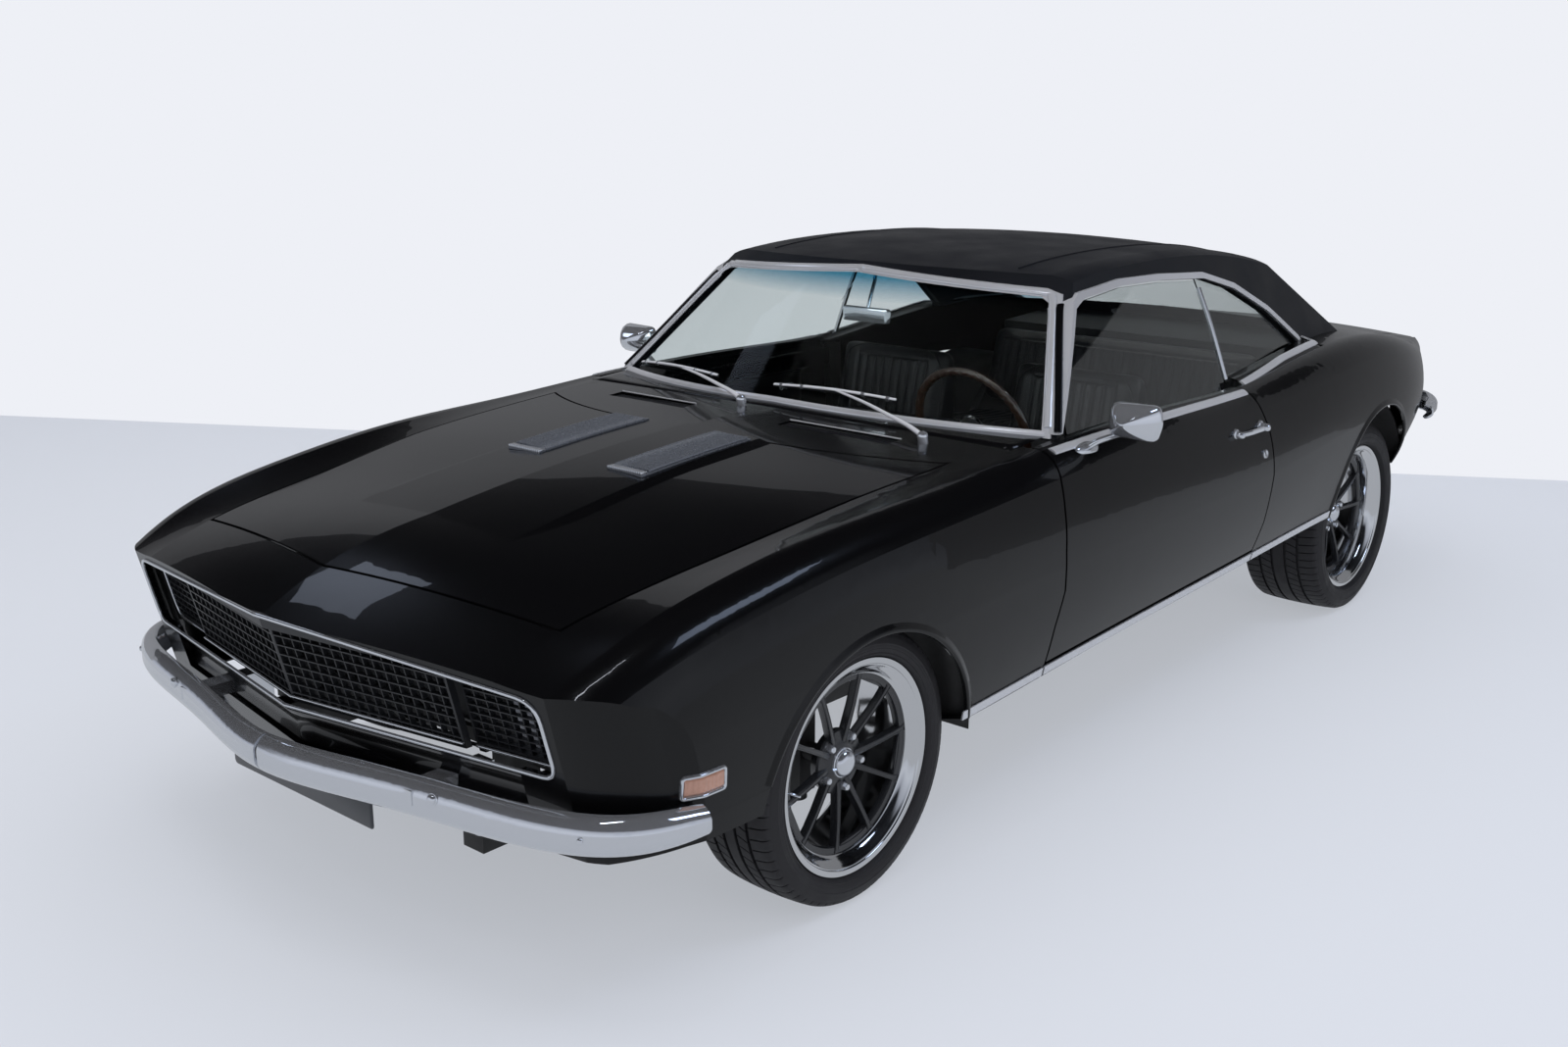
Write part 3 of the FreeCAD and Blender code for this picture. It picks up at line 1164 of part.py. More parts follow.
def steering_wheel():
    """Wood-rimmed wheel with three flat spokes and a hub."""
    x, y, z = WHEEL_CENTRE
    ring = Part.makeTorus(178, 14, Vector(0, 0, 0), Vector(0, 0, 1))
    hub = Part.makeCylinder(38, 50, Vector(0, 0, -60))
    wheel = [ring, hub]
    for angle in (0, 90, 180):
        spoke = Part.makeLoft([in_yz([(-20, -36), (20, -36), (20, -31), (-20, -31)], 24),
                               in_yz([(-12, -6), (12, -6), (12, -1), (-12, -1)], 172)], True, True)
        wheel.append(turned(spoke, (0, 0, 0), (0, 0, 1), angle))
    shape = fused(wheel)
    shape = turned(shape, (0, 0, 0), (1, 0, 0), -(90 - COLUMN_TILT))
    return moved(shape, x, y, z)


def dashboard():
    """Padded dash with instrument hood, glove door, column and centre console."""
    top = raked(-560, 880)
    face = prism_x([(-786, top - 6), (-690, top + 4, "arc"), (-566, top - 14), (-520, top - 40, "arc"),
                    (-516, top - 80), (-540, 700), (-600, 640), (-786, 640)], -716, 716)
    hood = prism_x([(-640, top), (-520, top + 14, "arc"), (-470, top - 6), (-474, top - 150),
                    (-500, top - 170), (-640, top - 170)], 170, 500)
    column = cylinder(along_column(430), along_column(60 + SEAT), 30)
    console = prism_x([(-540, 700), (-500, 690), (-420, 590), (160, 575), (200, 560),
                       (200, TUNNEL_TOP + SEAT), (-540, TUNNEL_TOP + SEAT)], -80, 80)
    return fused([face, hood, column, console])


def tunnel_arch(inset):
    """Front view of the tunnel over gearbox and propeller shaft."""
    top, side, foot = TUNNEL_TOP - inset, 98 - inset, 150 - inset
    return [(-foot, 300), (-side, top - 34), (0, top, "arc"), (side, top - 34), (foot, 300)]


SEAT_X = 345.0
REAR_SEAT_HALF = 540.0


def bucket_seat():
    """Low-back bucket seat: frame, cushion and squab as one padded solid."""
    cushion = prism_x([(-190, 470), (-222, 530, "arc"), (-190, 578), (20, 562, "arc"), (235, 556),
                       (250, 450), (180, 440), (-150, 440)], SEAT_X - 235, SEAT_X + 235)
    squab = prism_x([(190, 530), (262, 900), (292, 938, "arc"), (330, 906), (344, 860),
                     (330, 530)], SEAT_X - 230, SEAT_X + 230)
    legs = [box(SEAT_X + dx - 15, SEAT_X + dx + 15, -150, 230, FLOOR_Z - 30, 450)
            for dx in (-180, 180)]
    floor_form = prism_x([(-620, 100), (-620, raked(-620, FLOOR_Z) + SEAT),
                          (640, raked(640, FLOOR_Z) + SEAT), (640, 100)], 0, 900)
    return fused([cushion, squab] + legs).cut(floor_form)


def rear_seat(floor):
    """Bench cushion and squab between the wheel tubs."""
    cushion = prism_x([(722, 480), (700, 560, "arc"), (730, 610), (900, 588, "arc"), (1080, 580),
                       (1200, 600), (1200, 480)], -REAR_SEAT_HALF, REAR_SEAT_HALF)
    squab = prism_x([(1010, 560), (1110, 860), (1150, 890, "arc"), (1205, 872), (1205, 560)],
                    -REAR_SEAT_HALF, REAR_SEAT_HALF)
    line = [(700, 500), (1010, 520), (1120, 640), (1300, 640)]
    under = prism_x([(y, z + SEAT) for y, z in line] + [(1300, 300), (700, 300)], -600, 600)
    return biggest(cushion.fuse(squab).cut(under).cut(floor))


def parcel_shelf():
    """Rear bulkhead and the shelf under the backlight."""
    return prism_x([(1219, 640 + SEAT), (1219, 884), (1560, 900), (1560, 890), (1229, 874),
                    (1229, 640 + SEAT)], -REAR_SEAT_HALF, REAR_SEAT_HALF)


# ---------------------------------------------------------------- bright work and lamps
def side_band(y0, y1, z_low, z_high):
    """Side view of a strip that rakes with the body."""
    return prism_x([(y0, raked(y0, z_low)), (y1, raked(y1, z_low)), (y1, raked(y1, z_high)),
                    (y0, raked(y0, z_high))], 820, 1000)


def bright_mouldings():
    """Sill strips, screen surrounds and drip rails of the left side, as separate pieces."""
    proud = body_solid(TRIM).cut(body_solid(SEAT))
    front_seam_y, rear_seam_y = -739.0, 404.0
    strips = [proud.common(side_band(-1085, front_seam_y - 4, 373, 395)),
              proud.common(side_band(front_seam_y + 4, rear_seam_y - 4, 373, 395)),
              proud.common(side_band(rear_seam_y + 4, 962, 373, 395))]
    rim_sheet = cabin_solid(-TRIM).cut(cabin_solid(-SEAT)).cut(body_solid(SEAT))
    screen = rim_sheet.common(screen_opening(20)).cut(screen_opening())
    rear = rim_sheet.common(backlight_opening(18)).cut(backlight_opening())
    rail = [(-545, 902), (-300, 1178), (-226, 1214), (0, 1231), (220, 1227), (480, 1211),
            (654, 1166), (838, 1080), (1004, 974), (1032, 946)]
    lower = [(1018, 938), (992, 962), (827, 1066), (645, 1150), (474, 1194), (220, 1210),
             (0, 1214), (-208, 1198), (-262, 1178), (-520, 902)]
    drip = cabin_solid(-10).cut(cabin_solid(-SEAT)).cut(body_solid(SEAT)).common(
        prism_x(rail + lower, 480, 900))
    pieces = strips + [biggest(screen), biggest(rear), biggest(drip)]
    return pieces


def headlamps():
    return both_sides([headlamp()])


def tail_lamp():
    """Left tail lamp: a tray that fills the panel's opening, two lenses and their bar."""
    block = lamp_pocket(SEAT).common(tail_solid(2.0)).cut(tail_solid(FRONT_WALL - 2))
    return biggest(block)


def skin_form():
    """The whole body's outer form with the clearance of what seats on it."""
    side = body_solid(SEAT, -SEAT)
    return side.fuse(mirrored(side))


def screen_y(x, z):
    """Station of the windscreen's surface at one place near its foot."""
    low, high = CABIN[1], CABIN[2]
    share = (z - low[0]) / (high[0] - low[0])
    middle, corner_x, corner_y = (a + share * (b - a) for a, b in zip(low[1:4], high[1:4]))
    return middle + (corner_y - middle) * (x / corner_x) ** 2


WIPER_Y = -806.0
WIPER_REACH = (-590.0, -397.0, -203.0)  # blade's ends and middle, across from the pivot


def wiper(pivot_x):
    """Arm and blade parked along the base of the windscreen."""
    foot = cowl_z(WIPER_Y, pivot_x)
    blade = [(pivot_x + dx, screen_y(pivot_x + dx, z) - 12, z)
             for dx, z in zip(WIPER_REACH, (946, 952, 955))]
    post = cylinder((pivot_x, WIPER_Y, foot + SEAT), (pivot_x, WIPER_Y, foot + 36), 12)
    arm = tube_path([(pivot_x, WIPER_Y, foot + 30), (pivot_x - 50, WIPER_Y + 18, foot + 46),
                     tuple(c + d for c, d in zip(blade[1], (0, -6, 4)))], 5, 30)
    rubber = tube_path(blade, 5.5, 400)
    return biggest(fused([post, arm, rubber]).cut(skin_form()))


def cowl_z(y, x):
    """Height of the cowl's skin at one place."""
    rows = [r for r in BODY if r[0] in (-1000, -560)]
    share = (y - rows[0][0]) / (rows[1][0] - rows[0][0])
    top = rows[0][1] + share * (rows[1][1] - rows[0][1])
    seam_x = rows[0][2] + share * (rows[1][2] - rows[0][2])
    seam_z = rows[0][3] + share * (rows[1][3] - rows[0][3])
    return top - (top - seam_z) * (x / seam_x) ** 2


VENT_TOP = 16.0                         # over the skin beside the hood's raised centre


def hood_vents():
    """The two long finned inserts that stand on the hood."""
    proud = body_solid(VENT_TOP).cut(body_solid(SEAT))
    outer = [(122, -1452), (240, -1452), (238, -1075), (118, -1084)]
    insert = proud.common(prism_z(outer, 700, 1100)).cut(hood_bulge(SEAT))
    return both_sides([biggest(insert)])


def mirror_inside():
    """Rear-view mirror on its stem from the screen header."""
    stem = tube_path([(0, -270, 1290), (0, -296, 1180), (0, -322, 1118)], 6, 20)
    head = prism_y([(-78, -24), (-84, 0, "arc"), (-78, 24), (78, 24), (84, 0, "arc"), (78, -24)],
                   -332, -312)
    return moved(head, z=1112).fuse(stem.common(cabin_solid(ROOF_WALL + SEAT)
                                                .fuse(mirrored(cabin_solid(ROOF_WALL + SEAT)))))


# ---------------------------------------------------------------- the whole car
def build():
    """Every named piece of the car."""
    shell = Shell()
    floor = floor_pan()
    glass = build_glass(shell)
    door = door_shell(shell)
    proud = body_solid(TRIM).cut(body_solid(SEAT))
    belt = proud.common(box(800, 829, FRONT_SEAM[1][0] + 40, REAR_SEAM[-1][0] - GAP, 850, 960))
    body = body_solid(SEAT)
    handle, lock = (biggest(piece.cut(body)) for piece in handle_and_lock())
    left_mirror = biggest(door_furniture().cut(body))
    right_mirror = biggest(moved(door_furniture(), y=RIGHT_MIRROR_SHIFT).cut(body))
    fittings = [biggest(belt), handle, lock]
    quarter_panel = quarter(shell)
    fender_panel = fender(shell)
    front = (FRONT_WHEEL_X, FRONT_AXLE_Y, FRONT_TYRE_R)
    rear = (REAR_WHEEL_X, REAR_AXLE_Y, REAR_TYRE_R)
    front_tyre = tyre(front, FRONT_TYRE_R, FRONT_TYRE_W)
    rear_tyre = tyre(rear, REAR_TYRE_R, REAR_TYRE_W)
    front_rim = turned(rim(front, FRONT_TYRE_W, FRONT_FACE), front, (1, 0, 0), FRONT_SPOKE_TURN)
    rear_rim = rim(rear, REAR_TYRE_W, REAR_FACE)
    lamp_door = headlamp_door()
    frames = door_frames()
    upright = knuckle()
    return {
        "floor_pan": [floor],
        "door_frames": both_sides([frames]),
        "front_subframe": [front_subframe()],
        "engine": [engine()],
        "rear_axle": [rear_axle()],
        "exhaust": both_sides([exhaust()]),
        "fuel_tank": [fuel_tank()],
        "radiator_support": [radiator_support()],
        "radiator": [radiator()],
        "wheel_housings": wheel_housings(),
        "front_fenders": both_sides([biggest(fender_panel)]),
        "header_panel": [header_panel(shell)],
        "front_valance": [valance(shell)],
        "grille": [grille()],
        "headlamps": headlamps(),
        "front_bumper": [front_bumper()],
        "cowl_panel": [cowl(shell)],
        "roof": [roof_shell(shell)],
        "bright_mouldings": both_sides(bright_mouldings()),
        "windshield": [glass["windshield"]],
        "rear_window": [glass["rear_window"]],
        "quarter_windows": both_sides([glass["quarter"]]),
        "quarter_panels": both_sides([quarter_panel]),
        "rear_shelf_panel": [rear_shelf_panel(shell)],
        "tail_panel": [tail_panel(shell)],
        "tail_lamps": both_sides([tail_lamp()]),
        "rear_bumper": [rear_bumper()],
        "dashboard": [dashboard()],
        "front_seats": both_sides([bucket_seat()]),
        "rear_seat": [rear_seat(floor)],
        "parcel_shelf": [parcel_shelf()],
        "wipers": [wiper(560), wiper(-46)],
        "inside_mirror": [mirror_inside()],
        "left_door": [door],
        "right_door": [mirrored(door)],
        "left_door_glass": [glass["door"]],
        "right_door_glass": [mirrored(glass["door"])],
        "left_door_fittings": fittings + [left_mirror],
        "right_door_fittings": [mirrored(piece) for piece in fittings + [right_mirror]],
        "hood": [hood_panels(shell)],
        "hood_vents": hood_vents(),
        "boot_lid": [boot_lid(shell)],
        "left_headlamp_door": [lamp_door],
        "right_headlamp_door": [mirrored(lamp_door)],
        "left_knuckle": [upright],
        "right_knuckle": [mirrored(upright)],
        "tie_rods": [tie_rods()],
        "steering_wheel": [steering_wheel()],
        "front_left_tyre": [front_tyre],
        "front_right_tyre": [mirrored(front_tyre)],
        "rear_left_tyre": [rear_tyre],
        "rear_right_tyre": [mirrored(rear_tyre)],
        "front_left_rim": [front_rim],
        "front_right_rim": [mirrored(front_rim)],
        "rear_left_rim": [rear_rim],
        "rear_right_rim": [mirrored(rear_rim)],
    }


def main():
    os.makedirs("parts", exist_ok=True)
    for name, solids in build().items():
        shape = solids[0] if len(solids) == 1 else Part.makeCompound(solids)
        shape.exportStep(f"parts/{name}.step")
        print(name, len(shape.Solids), "valid" if shape.isValid() else "NOT VALID",
              round(sum(s.Volume for s in shape.Solids) / 1e6, 2), "litres")


main()
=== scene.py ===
"""Looks of a late-1960s two-door hardtop muscle car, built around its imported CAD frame.

Metres. +X is the car's left, +Y its rear and +Z up; the ground is at z = 0.
"""
import json
import logging
import math
from dataclasses import dataclass, field
from enum import Enum
from typing import Iterable, Optional, Sequence

import bmesh
import bpy
from mathutils import Matrix, Vector
from mathutils.bvhtree import BVHTree

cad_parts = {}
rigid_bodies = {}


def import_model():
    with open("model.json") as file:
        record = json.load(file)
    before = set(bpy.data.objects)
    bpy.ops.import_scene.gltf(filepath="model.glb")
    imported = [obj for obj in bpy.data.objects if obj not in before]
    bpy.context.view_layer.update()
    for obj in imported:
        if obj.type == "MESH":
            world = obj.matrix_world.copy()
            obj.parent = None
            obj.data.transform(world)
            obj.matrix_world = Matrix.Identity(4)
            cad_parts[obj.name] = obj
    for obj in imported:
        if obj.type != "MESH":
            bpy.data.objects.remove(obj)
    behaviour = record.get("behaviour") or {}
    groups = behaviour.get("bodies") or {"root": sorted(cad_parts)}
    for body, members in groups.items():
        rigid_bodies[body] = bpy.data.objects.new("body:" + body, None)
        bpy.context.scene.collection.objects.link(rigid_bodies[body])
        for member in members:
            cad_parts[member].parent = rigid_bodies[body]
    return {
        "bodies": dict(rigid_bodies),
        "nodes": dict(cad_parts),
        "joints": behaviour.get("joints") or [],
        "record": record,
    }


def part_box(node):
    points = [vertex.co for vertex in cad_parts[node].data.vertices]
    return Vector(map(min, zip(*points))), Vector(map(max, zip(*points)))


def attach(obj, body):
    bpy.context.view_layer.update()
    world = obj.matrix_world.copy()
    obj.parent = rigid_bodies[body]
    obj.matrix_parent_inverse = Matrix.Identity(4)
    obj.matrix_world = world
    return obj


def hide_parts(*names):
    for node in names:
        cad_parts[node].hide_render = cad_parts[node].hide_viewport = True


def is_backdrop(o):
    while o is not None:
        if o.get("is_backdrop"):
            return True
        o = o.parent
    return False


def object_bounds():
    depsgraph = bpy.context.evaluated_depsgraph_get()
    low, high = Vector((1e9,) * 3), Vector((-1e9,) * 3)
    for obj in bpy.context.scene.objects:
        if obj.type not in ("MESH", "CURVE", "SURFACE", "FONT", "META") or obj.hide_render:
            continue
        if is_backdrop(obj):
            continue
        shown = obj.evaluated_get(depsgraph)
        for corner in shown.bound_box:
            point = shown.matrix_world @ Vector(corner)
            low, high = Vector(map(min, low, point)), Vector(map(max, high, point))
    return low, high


LOG = logging.getLogger("muscle_car")
MM = 0.001
Point = tuple[float, float, float]
Pairs = Sequence[tuple[float, float]]
Hit = Optional[tuple[Vector, Vector]]
Piece = bpy.types.Object
Node = bpy.types.Node
Tree = bpy.types.NodeTree
Material = bpy.types.Material


class Body(Enum):
    """The rigid bodies that a piece can ride on."""

    CAR = "body"
    HOOD = "hood"
    BOOT = "boot_lid"
    LEFT_DOOR = "left_door"
    RIGHT_DOOR = "right_door"
    LEFT_LAMP_DOOR = "left_headlamp_door"
    RIGHT_LAMP_DOOR = "right_headlamp_door"
    STEERING = "steering_wheel"


class Side(Enum):
    """Left or right of the car, as the sign of X."""

    LEFT = 1
    RIGHT = -1

    @property
    def word(self) -> str:
        """The side's name in node names."""
        return self.name.lower()

    @property
    def door(self) -> Body:
        """The door on this side."""
        return Body.LEFT_DOOR if self is Side.LEFT else Body.RIGHT_DOOR


# ------------------------------------------------------------------ colours and shader nodes
def srgb(code: str) -> tuple[float, float, float, float]:
    """Turn an sRGB hex colour into linear RGBA.

    Args:
        code: six hex digits, with or without a leading #.

    Returns:
        The linear colour with an alpha of 1.
    """
    code = code.lstrip("#")
    channels = [int(code[i:i + 2], 16) / 255.0 for i in (0, 2, 4)]
    linear = [c / 12.92 if c <= 0.04045 else ((c + 0.055) / 1.055) ** 2.4 for c in channels]
    return (*linear, 1.0)


def wire(tree: Tree, value: "Node | bpy.types.NodeSocket", socket: bpy.types.NodeSocket) -> None:
    """Link a node's first output, or a given output, to a socket."""
    tree.links.new(value.outputs[0] if isinstance(value, Node) else value, socket)


def add(tree: Tree, kind: str, inputs: Optional[dict] = None, **settings) -> Node:
    """Add one node with its settings and its links.

    Args:
        tree: the node tree.
        kind: the node's Blender type name.
        inputs: socket name or index to a value, a node (its first output) or an output socket.
        settings: attributes of the node.

    Returns:
        The new node.
    """
    node = tree.nodes.new(kind)
    for name, value in settings.items():
        setattr(node, name, value)
    for key, value in (inputs or {}).items():
        if isinstance(value, (Node, bpy.types.NodeSocket)):
            wire(tree, value, node.inputs[key])
        else:
            node.inputs[key].default_value = value
    return node


def reckon(tree: Tree, operation: str, *values: object, clamp: bool = False) -> Node:
    """Add a maths node with its inputs in order."""
    return add(tree, "ShaderNodeMath", dict(enumerate(values)), operation=operation,
               use_clamp=clamp)


def blend(tree: Tree, share: object, low: object, high: object) -> bpy.types.NodeSocket:
    """Mix two colours.

    Args:
        tree: the node tree.
        share: the node or socket that drives the mix.
        low: colour at 0, as a hex code or a socket.
        high: colour at 1, as a hex code or a socket.

    Returns:
        The colour socket.
    """
    low, high = (srgb(c) if isinstance(c, str) else c for c in (low, high))
    return add(tree, "ShaderNodeMix", {"Factor": share, 6: low, 7: high},
               data_type="RGBA").outputs[2]


class Coat:
    """A named material that is built when it is first used."""

    name: str

    def surface(self, tree: Tree) -> Node:
        """Lay the shader nodes and return the last one."""
        raise NotImplementedError

    def material(self) -> Material:
        """The material."""
        made = bpy.data.materials.get(self.name)
        if not made:
            made = bpy.data.materials.new(self.name)
            made.use_nodes = True
            tree = made.node_tree
            tree.nodes.clear()
            add(tree, "ShaderNodeOutputMaterial", {"Surface": self.surface(tree)})
        return made


@dataclass(frozen=True)
class Finish(Coat):
    """A plain finish: what the material is, how its surface was made, and how it takes light.

    Fine detail is a noise whose grains have a real size in millimetres.
    """

    name: str
    colour: str
    roughness: float
    metallic: float = 0.0
    ior: float = 1.5
    coat: float = 0.0
    coat_roughness: float = 0.03
    second: Optional[str] = None
    blotch_mm: float = 120.0
    grain_mm: float = 0.0
    grain_depth_mm: float = 0.0
    roughness_swing: float = 0.0
    specular: float = 0.5

    def surface(self, tree: Tree) -> Node:
        """Lay the shader nodes."""
        shader = add(tree, "ShaderNodeBsdfPrincipled", {
            "Base Color": srgb(self.colour), "Roughness": self.roughness,
            "Metallic": self.metallic, "IOR": self.ior, "Coat Weight": self.coat,
            "Coat Roughness": self.coat_roughness, "Specular IOR Level": self.specular})
        place = add(tree, "ShaderNodeTexCoord").outputs["Object"]
        blotch = add(tree, "ShaderNodeTexNoise", {
            "Vector": place, "Scale": 1000.0 / self.blotch_mm, "Detail": 3.0})
        if self.second:
            wire(tree, blend(tree, blotch, self.colour, self.second), shader.inputs["Base Color"])
        if self.roughness_swing:
            spread = add(tree, "ShaderNodeMapRange", {
                "Value": blotch, "From Min": 0.3, "From Max": 0.7,
                "To Min": max(self.roughness - self.roughness_swing, 0.02),
                "To Max": self.roughness + self.roughness_swing})
            wire(tree, spread, shader.inputs["Roughness"])
        if self.grain_mm:
            grain = add(tree, "ShaderNodeTexNoise", {
                "Vector": place, "Scale": 1000.0 / self.grain_mm, "Detail": 2.0})
            bump = add(tree, "ShaderNodeBump", {
                "Height": grain, "Strength": 0.6, "Distance": self.grain_depth_mm * MM})
            wire(tree, bump, shader.inputs["Normal"])
        return shader


@dataclass(frozen=True)
class GrainedVinyl(Coat):
    """Embossed black vinyl: small irregular cells with a soft sheen, for roof skin and seats."""

    name: str
    colour: str
    worn: str
    cell_mm: float
    depth_mm: float
    roughness: float
    sheen: float = 0.45

    def surface(self, tree: Tree) -> Node:
        """Lay the shader nodes."""
        place = add(tree, "ShaderNodeTexCoord")
        cells = add(tree, "ShaderNodeTexVoronoi", {
            "Vector": place.outputs["Object"], "Scale": 1000.0 / self.cell_mm}, feature="F1")
        cloud = add(tree, "ShaderNodeTexNoise", {
            "Vector": place.outputs["Object"], "Scale": 6.0, "Detail": 4.0})
        mix = blend(tree, cloud, self.colour, self.worn)
        bump = add(tree, "ShaderNodeBump", {
            "Height": cells, "Strength": 0.7, "Distance": self.depth_mm * MM})
        rough = add(tree, "ShaderNodeMapRange", {
            "Value": cloud, "From Min": 0.3, "From Max": 0.7,
            "To Min": self.roughness - 0.06, "To Max": self.roughness + 0.08})
        return add(tree, "ShaderNodeBsdfPrincipled", {"Base Color": mix, "Roughness": rough,
            "Normal": bump, "Specular IOR Level": self.sheen})


@dataclass(frozen=True)
class Glazing(Coat):
    """Float glass: clear to the light that it lets through; a low index gives weak reflections."""

    name: str
    colour: str
    band: Optional[str] = None
    band_low: float = 0.0
    band_high: float = 1.0
    ior: float = 1.45

    def surface(self, tree: Tree) -> Node:
        """Lay the shader nodes."""
        shader = add(tree, "ShaderNodeBsdfPrincipled", {
            "Base Color": srgb(self.colour), "Roughness": 0.0, "IOR": self.ior,
            "Transmission Weight": 1.0})
        clear = add(tree, "ShaderNodeBsdfTransparent", {"Color": srgb(self.colour)})
        if self.band:
            place = add(tree, "ShaderNodeTexCoord")
            split = add(tree, "ShaderNodeSeparateXYZ", {"Vector": place.outputs["Object"]})
            share = add(tree, "ShaderNodeMapRange",
                {"Value": split.outputs["Z"], "From Min": self.band_low,
                "From Max": self.band_high})
            wire(tree, blend(tree, share, self.colour, self.band), shader.inputs["Base Color"])
        ray = add(tree, "ShaderNodeLightPath")
        return add(tree, "ShaderNodeMixShader", {
            0: ray.outputs["Is Shadow Ray"], 1: shader, 2: clear})


@dataclass(frozen=True)
class Varnished(Coat):
    """Varnished hardwood: long grain under a clear gloss."""

    name: str
    light: str
    dark: str
    grain_mm: float

    def surface(self, tree: Tree) -> Node:
        """Lay the shader nodes."""
        place = add(tree, "ShaderNodeTexCoord")
        grain = add(tree, "ShaderNodeTexNoise", {
            "Vector": place.outputs["Object"], "Scale": 1000.0 / self.grain_mm, "Detail": 6.0,
            "Distortion": 1.2})
        mix = blend(tree, grain, self.light, self.dark)
        return add(tree, "ShaderNodeBsdfPrincipled", {
            "Base Color": mix, "Roughness": 0.35, "Coat Weight": 0.8, "Coat Roughness": 0.06})


@dataclass(frozen=True)
class Backdrop(Coat):
    """A plain pale sheet whose brightness to the eye is its colour, and clear from behind."""

    name: str
    colour: str
    shade: float
    seen: str
    glossy: float
    through: float

    def surface(self, tree: Tree) -> Node:
        """Lay the shader nodes."""
        lit = add(tree, "ShaderNodeBsdfDiffuse", {"Color": srgb(self.colour)})
        glow = add(tree, "ShaderNodeEmission", {"Color": srgb(self.seen), "Strength": 1.0})
        ray = add(tree, "ShaderNodeLightPath").outputs
        straight = reckon(tree, "SUBTRACT", ray["Is Transmission Ray"], ray["Glossy Depth"],
                          clamp=True)
        strength = reckon(tree, "MULTIPLY_ADD", straight, self.through - self.glossy, self.glossy)
        mirrored_glow = add(tree, "ShaderNodeEmission", {
            "Color": srgb(self.seen), "Strength": strength})
        camera = reckon(tree, "MULTIPLY", ray["Is Camera Ray"], self.shade)
        either = reckon(tree, "MAXIMUM", ray["Is Glossy Ray"], ray["Is Transmission Ray"])
        first = add(tree, "ShaderNodeMixShader", {0: camera, 1: lit, 2: glow})
        second = add(tree, "ShaderNodeMixShader", {0: either, 1: first, 2: mirrored_glow})
        return add(tree, "ShaderNodeMixShader", {
            0: add(tree, "ShaderNodeNewGeometry").outputs["Backfacing"], 1: second,
            2: add(tree, "ShaderNodeBsdfTransparent")})


# Black lacquer: almost no colour of its own, a mirror-smooth clear coat over it.
PAINT = Finish("gloss_lacquer", "#050506", 0.25, coat=0.5, coat_roughness=0.012,
               second="#070708", blotch_mm=400.0, specular=0.12)
# Pressed steel sprayed satin black: dull, faintly uneven, as on floor, wells and frame.
CHASSIS = Finish("satin_chassis_paint", "#141415", 0.55, second="#1d1c1b", blotch_mm=90.0,
                 grain_mm=3.0, grain_depth_mm=0.15, roughness_swing=0.12)
# Satin stainless wiper arms: pale and soft, so that they never mirror the dark ceiling.
ARM_METAL = Finish("satin_stainless_arm", "#cdcfd3", 0.34, metallic=0.35, blotch_mm=60.0)
# Chrome plate on pressed steel: bright, neutral, nearly mirror smooth.
CHROME = Finish("chrome_plate", "#dcdfe4", 0.05, metallic=0.88, blotch_mm=60.0,
                roughness_swing=0.015)
# Polished stainless strip: a little warmer and softer than chrome.
STAINLESS = Finish("stainless_trim", "#d3d5d9", 0.24, metallic=0.62, blotch_mm=80.0,
                   roughness_swing=0.03)
# Injection-moulded plastic, satin black, as the grille bars.
GRILLE_BLACK = Finish("satin_moulded_plastic", "#17181a", 0.36, second="#1f2023", blotch_mm=30.0)
# Spokes: cast alloy with a satin black stoved paint.
SPOKE_PAINT = Finish("satin_black_alloy", "#1a1b1d", 0.27, coat=0.35, coat_roughness=0.12,
                     second="#222326", blotch_mm=25.0, grain_mm=1.6, grain_depth_mm=0.05)
# Spun and polished alloy of the rim's lip and barrel.
POLISHED = Finish("polished_alloy", "#d9dadc", 0.10, metallic=1.0, blotch_mm=50.0,
                  roughness_swing=0.03)
# Tyre: carbon-filled rubber, brown-grey where it has dried, very soft highlight.
RUBBER = Finish("tyre_rubber", "#1b1b1d", 0.62, second="#272628", blotch_mm=45.0,
                grain_mm=1.4, grain_depth_mm=0.12, roughness_swing=0.08, specular=0.35)
SEAL = Finish("extruded_rubber", "#0c0c0d", 0.5, second="#141415", blotch_mm=30.0)
AMBER = Finish("amber_lens", "#b98f7c", 0.12, second="#94705f", blotch_mm=14.0, coat=0.6,
               ior=1.49)
RED_LENS = Finish("red_acrylic", "#8c0a0c", 0.1, second="#5e0507", blotch_mm=22.0, coat=0.8,
                  ior=1.49)
CLEAR_LENS = Finish("fluted_clear_lens", "#c8ccd2", 0.12, second="#a9adb4", blotch_mm=16.0,
                    coat=0.8)
MIRROR = Finish("mirror_glass", "#dfe3e6", 0.01, metallic=1.0, blotch_mm=300.0)
STEEL = Finish("bare_steel", "#8c8c8d", 0.38, metallic=1.0, second="#6f6b66", blotch_mm=70.0,
               grain_mm=2.0, grain_depth_mm=0.05, roughness_swing=0.1)
ENGINE_IRON = Finish("painted_cast_iron", "#2a2c2e", 0.5, second="#1d1e20", blotch_mm=50.0,
                     grain_mm=2.2, grain_depth_mm=0.3)
DASH = Finish("padded_dash_vinyl", "#121213", 0.48, second="#191919", blotch_mm=60.0,
              grain_mm=1.8, grain_depth_mm=0.15)
BOARD = Finish("black_trim_board", "#151515", 0.7, second="#1c1c1c", blotch_mm=40.0,
               grain_mm=1.5, grain_depth_mm=0.1)
PLATE = Finish("blank_number_plate", "#23262b", 0.4, second="#2b2e34", blotch_mm=60.0, coat=0.3)
DIAL = Finish("dial_face", "#0a0a0b", 0.3, second="#101012", blotch_mm=15.0, coat=0.7)
MARKING = Finish("dial_marking", "#c9ccc8", 0.5, blotch_mm=40.0)
ROOF_VINYL = GrainedVinyl("grained_roof_vinyl", "#090a0e", "#0f1117", 2.6, 0.5, 0.46)
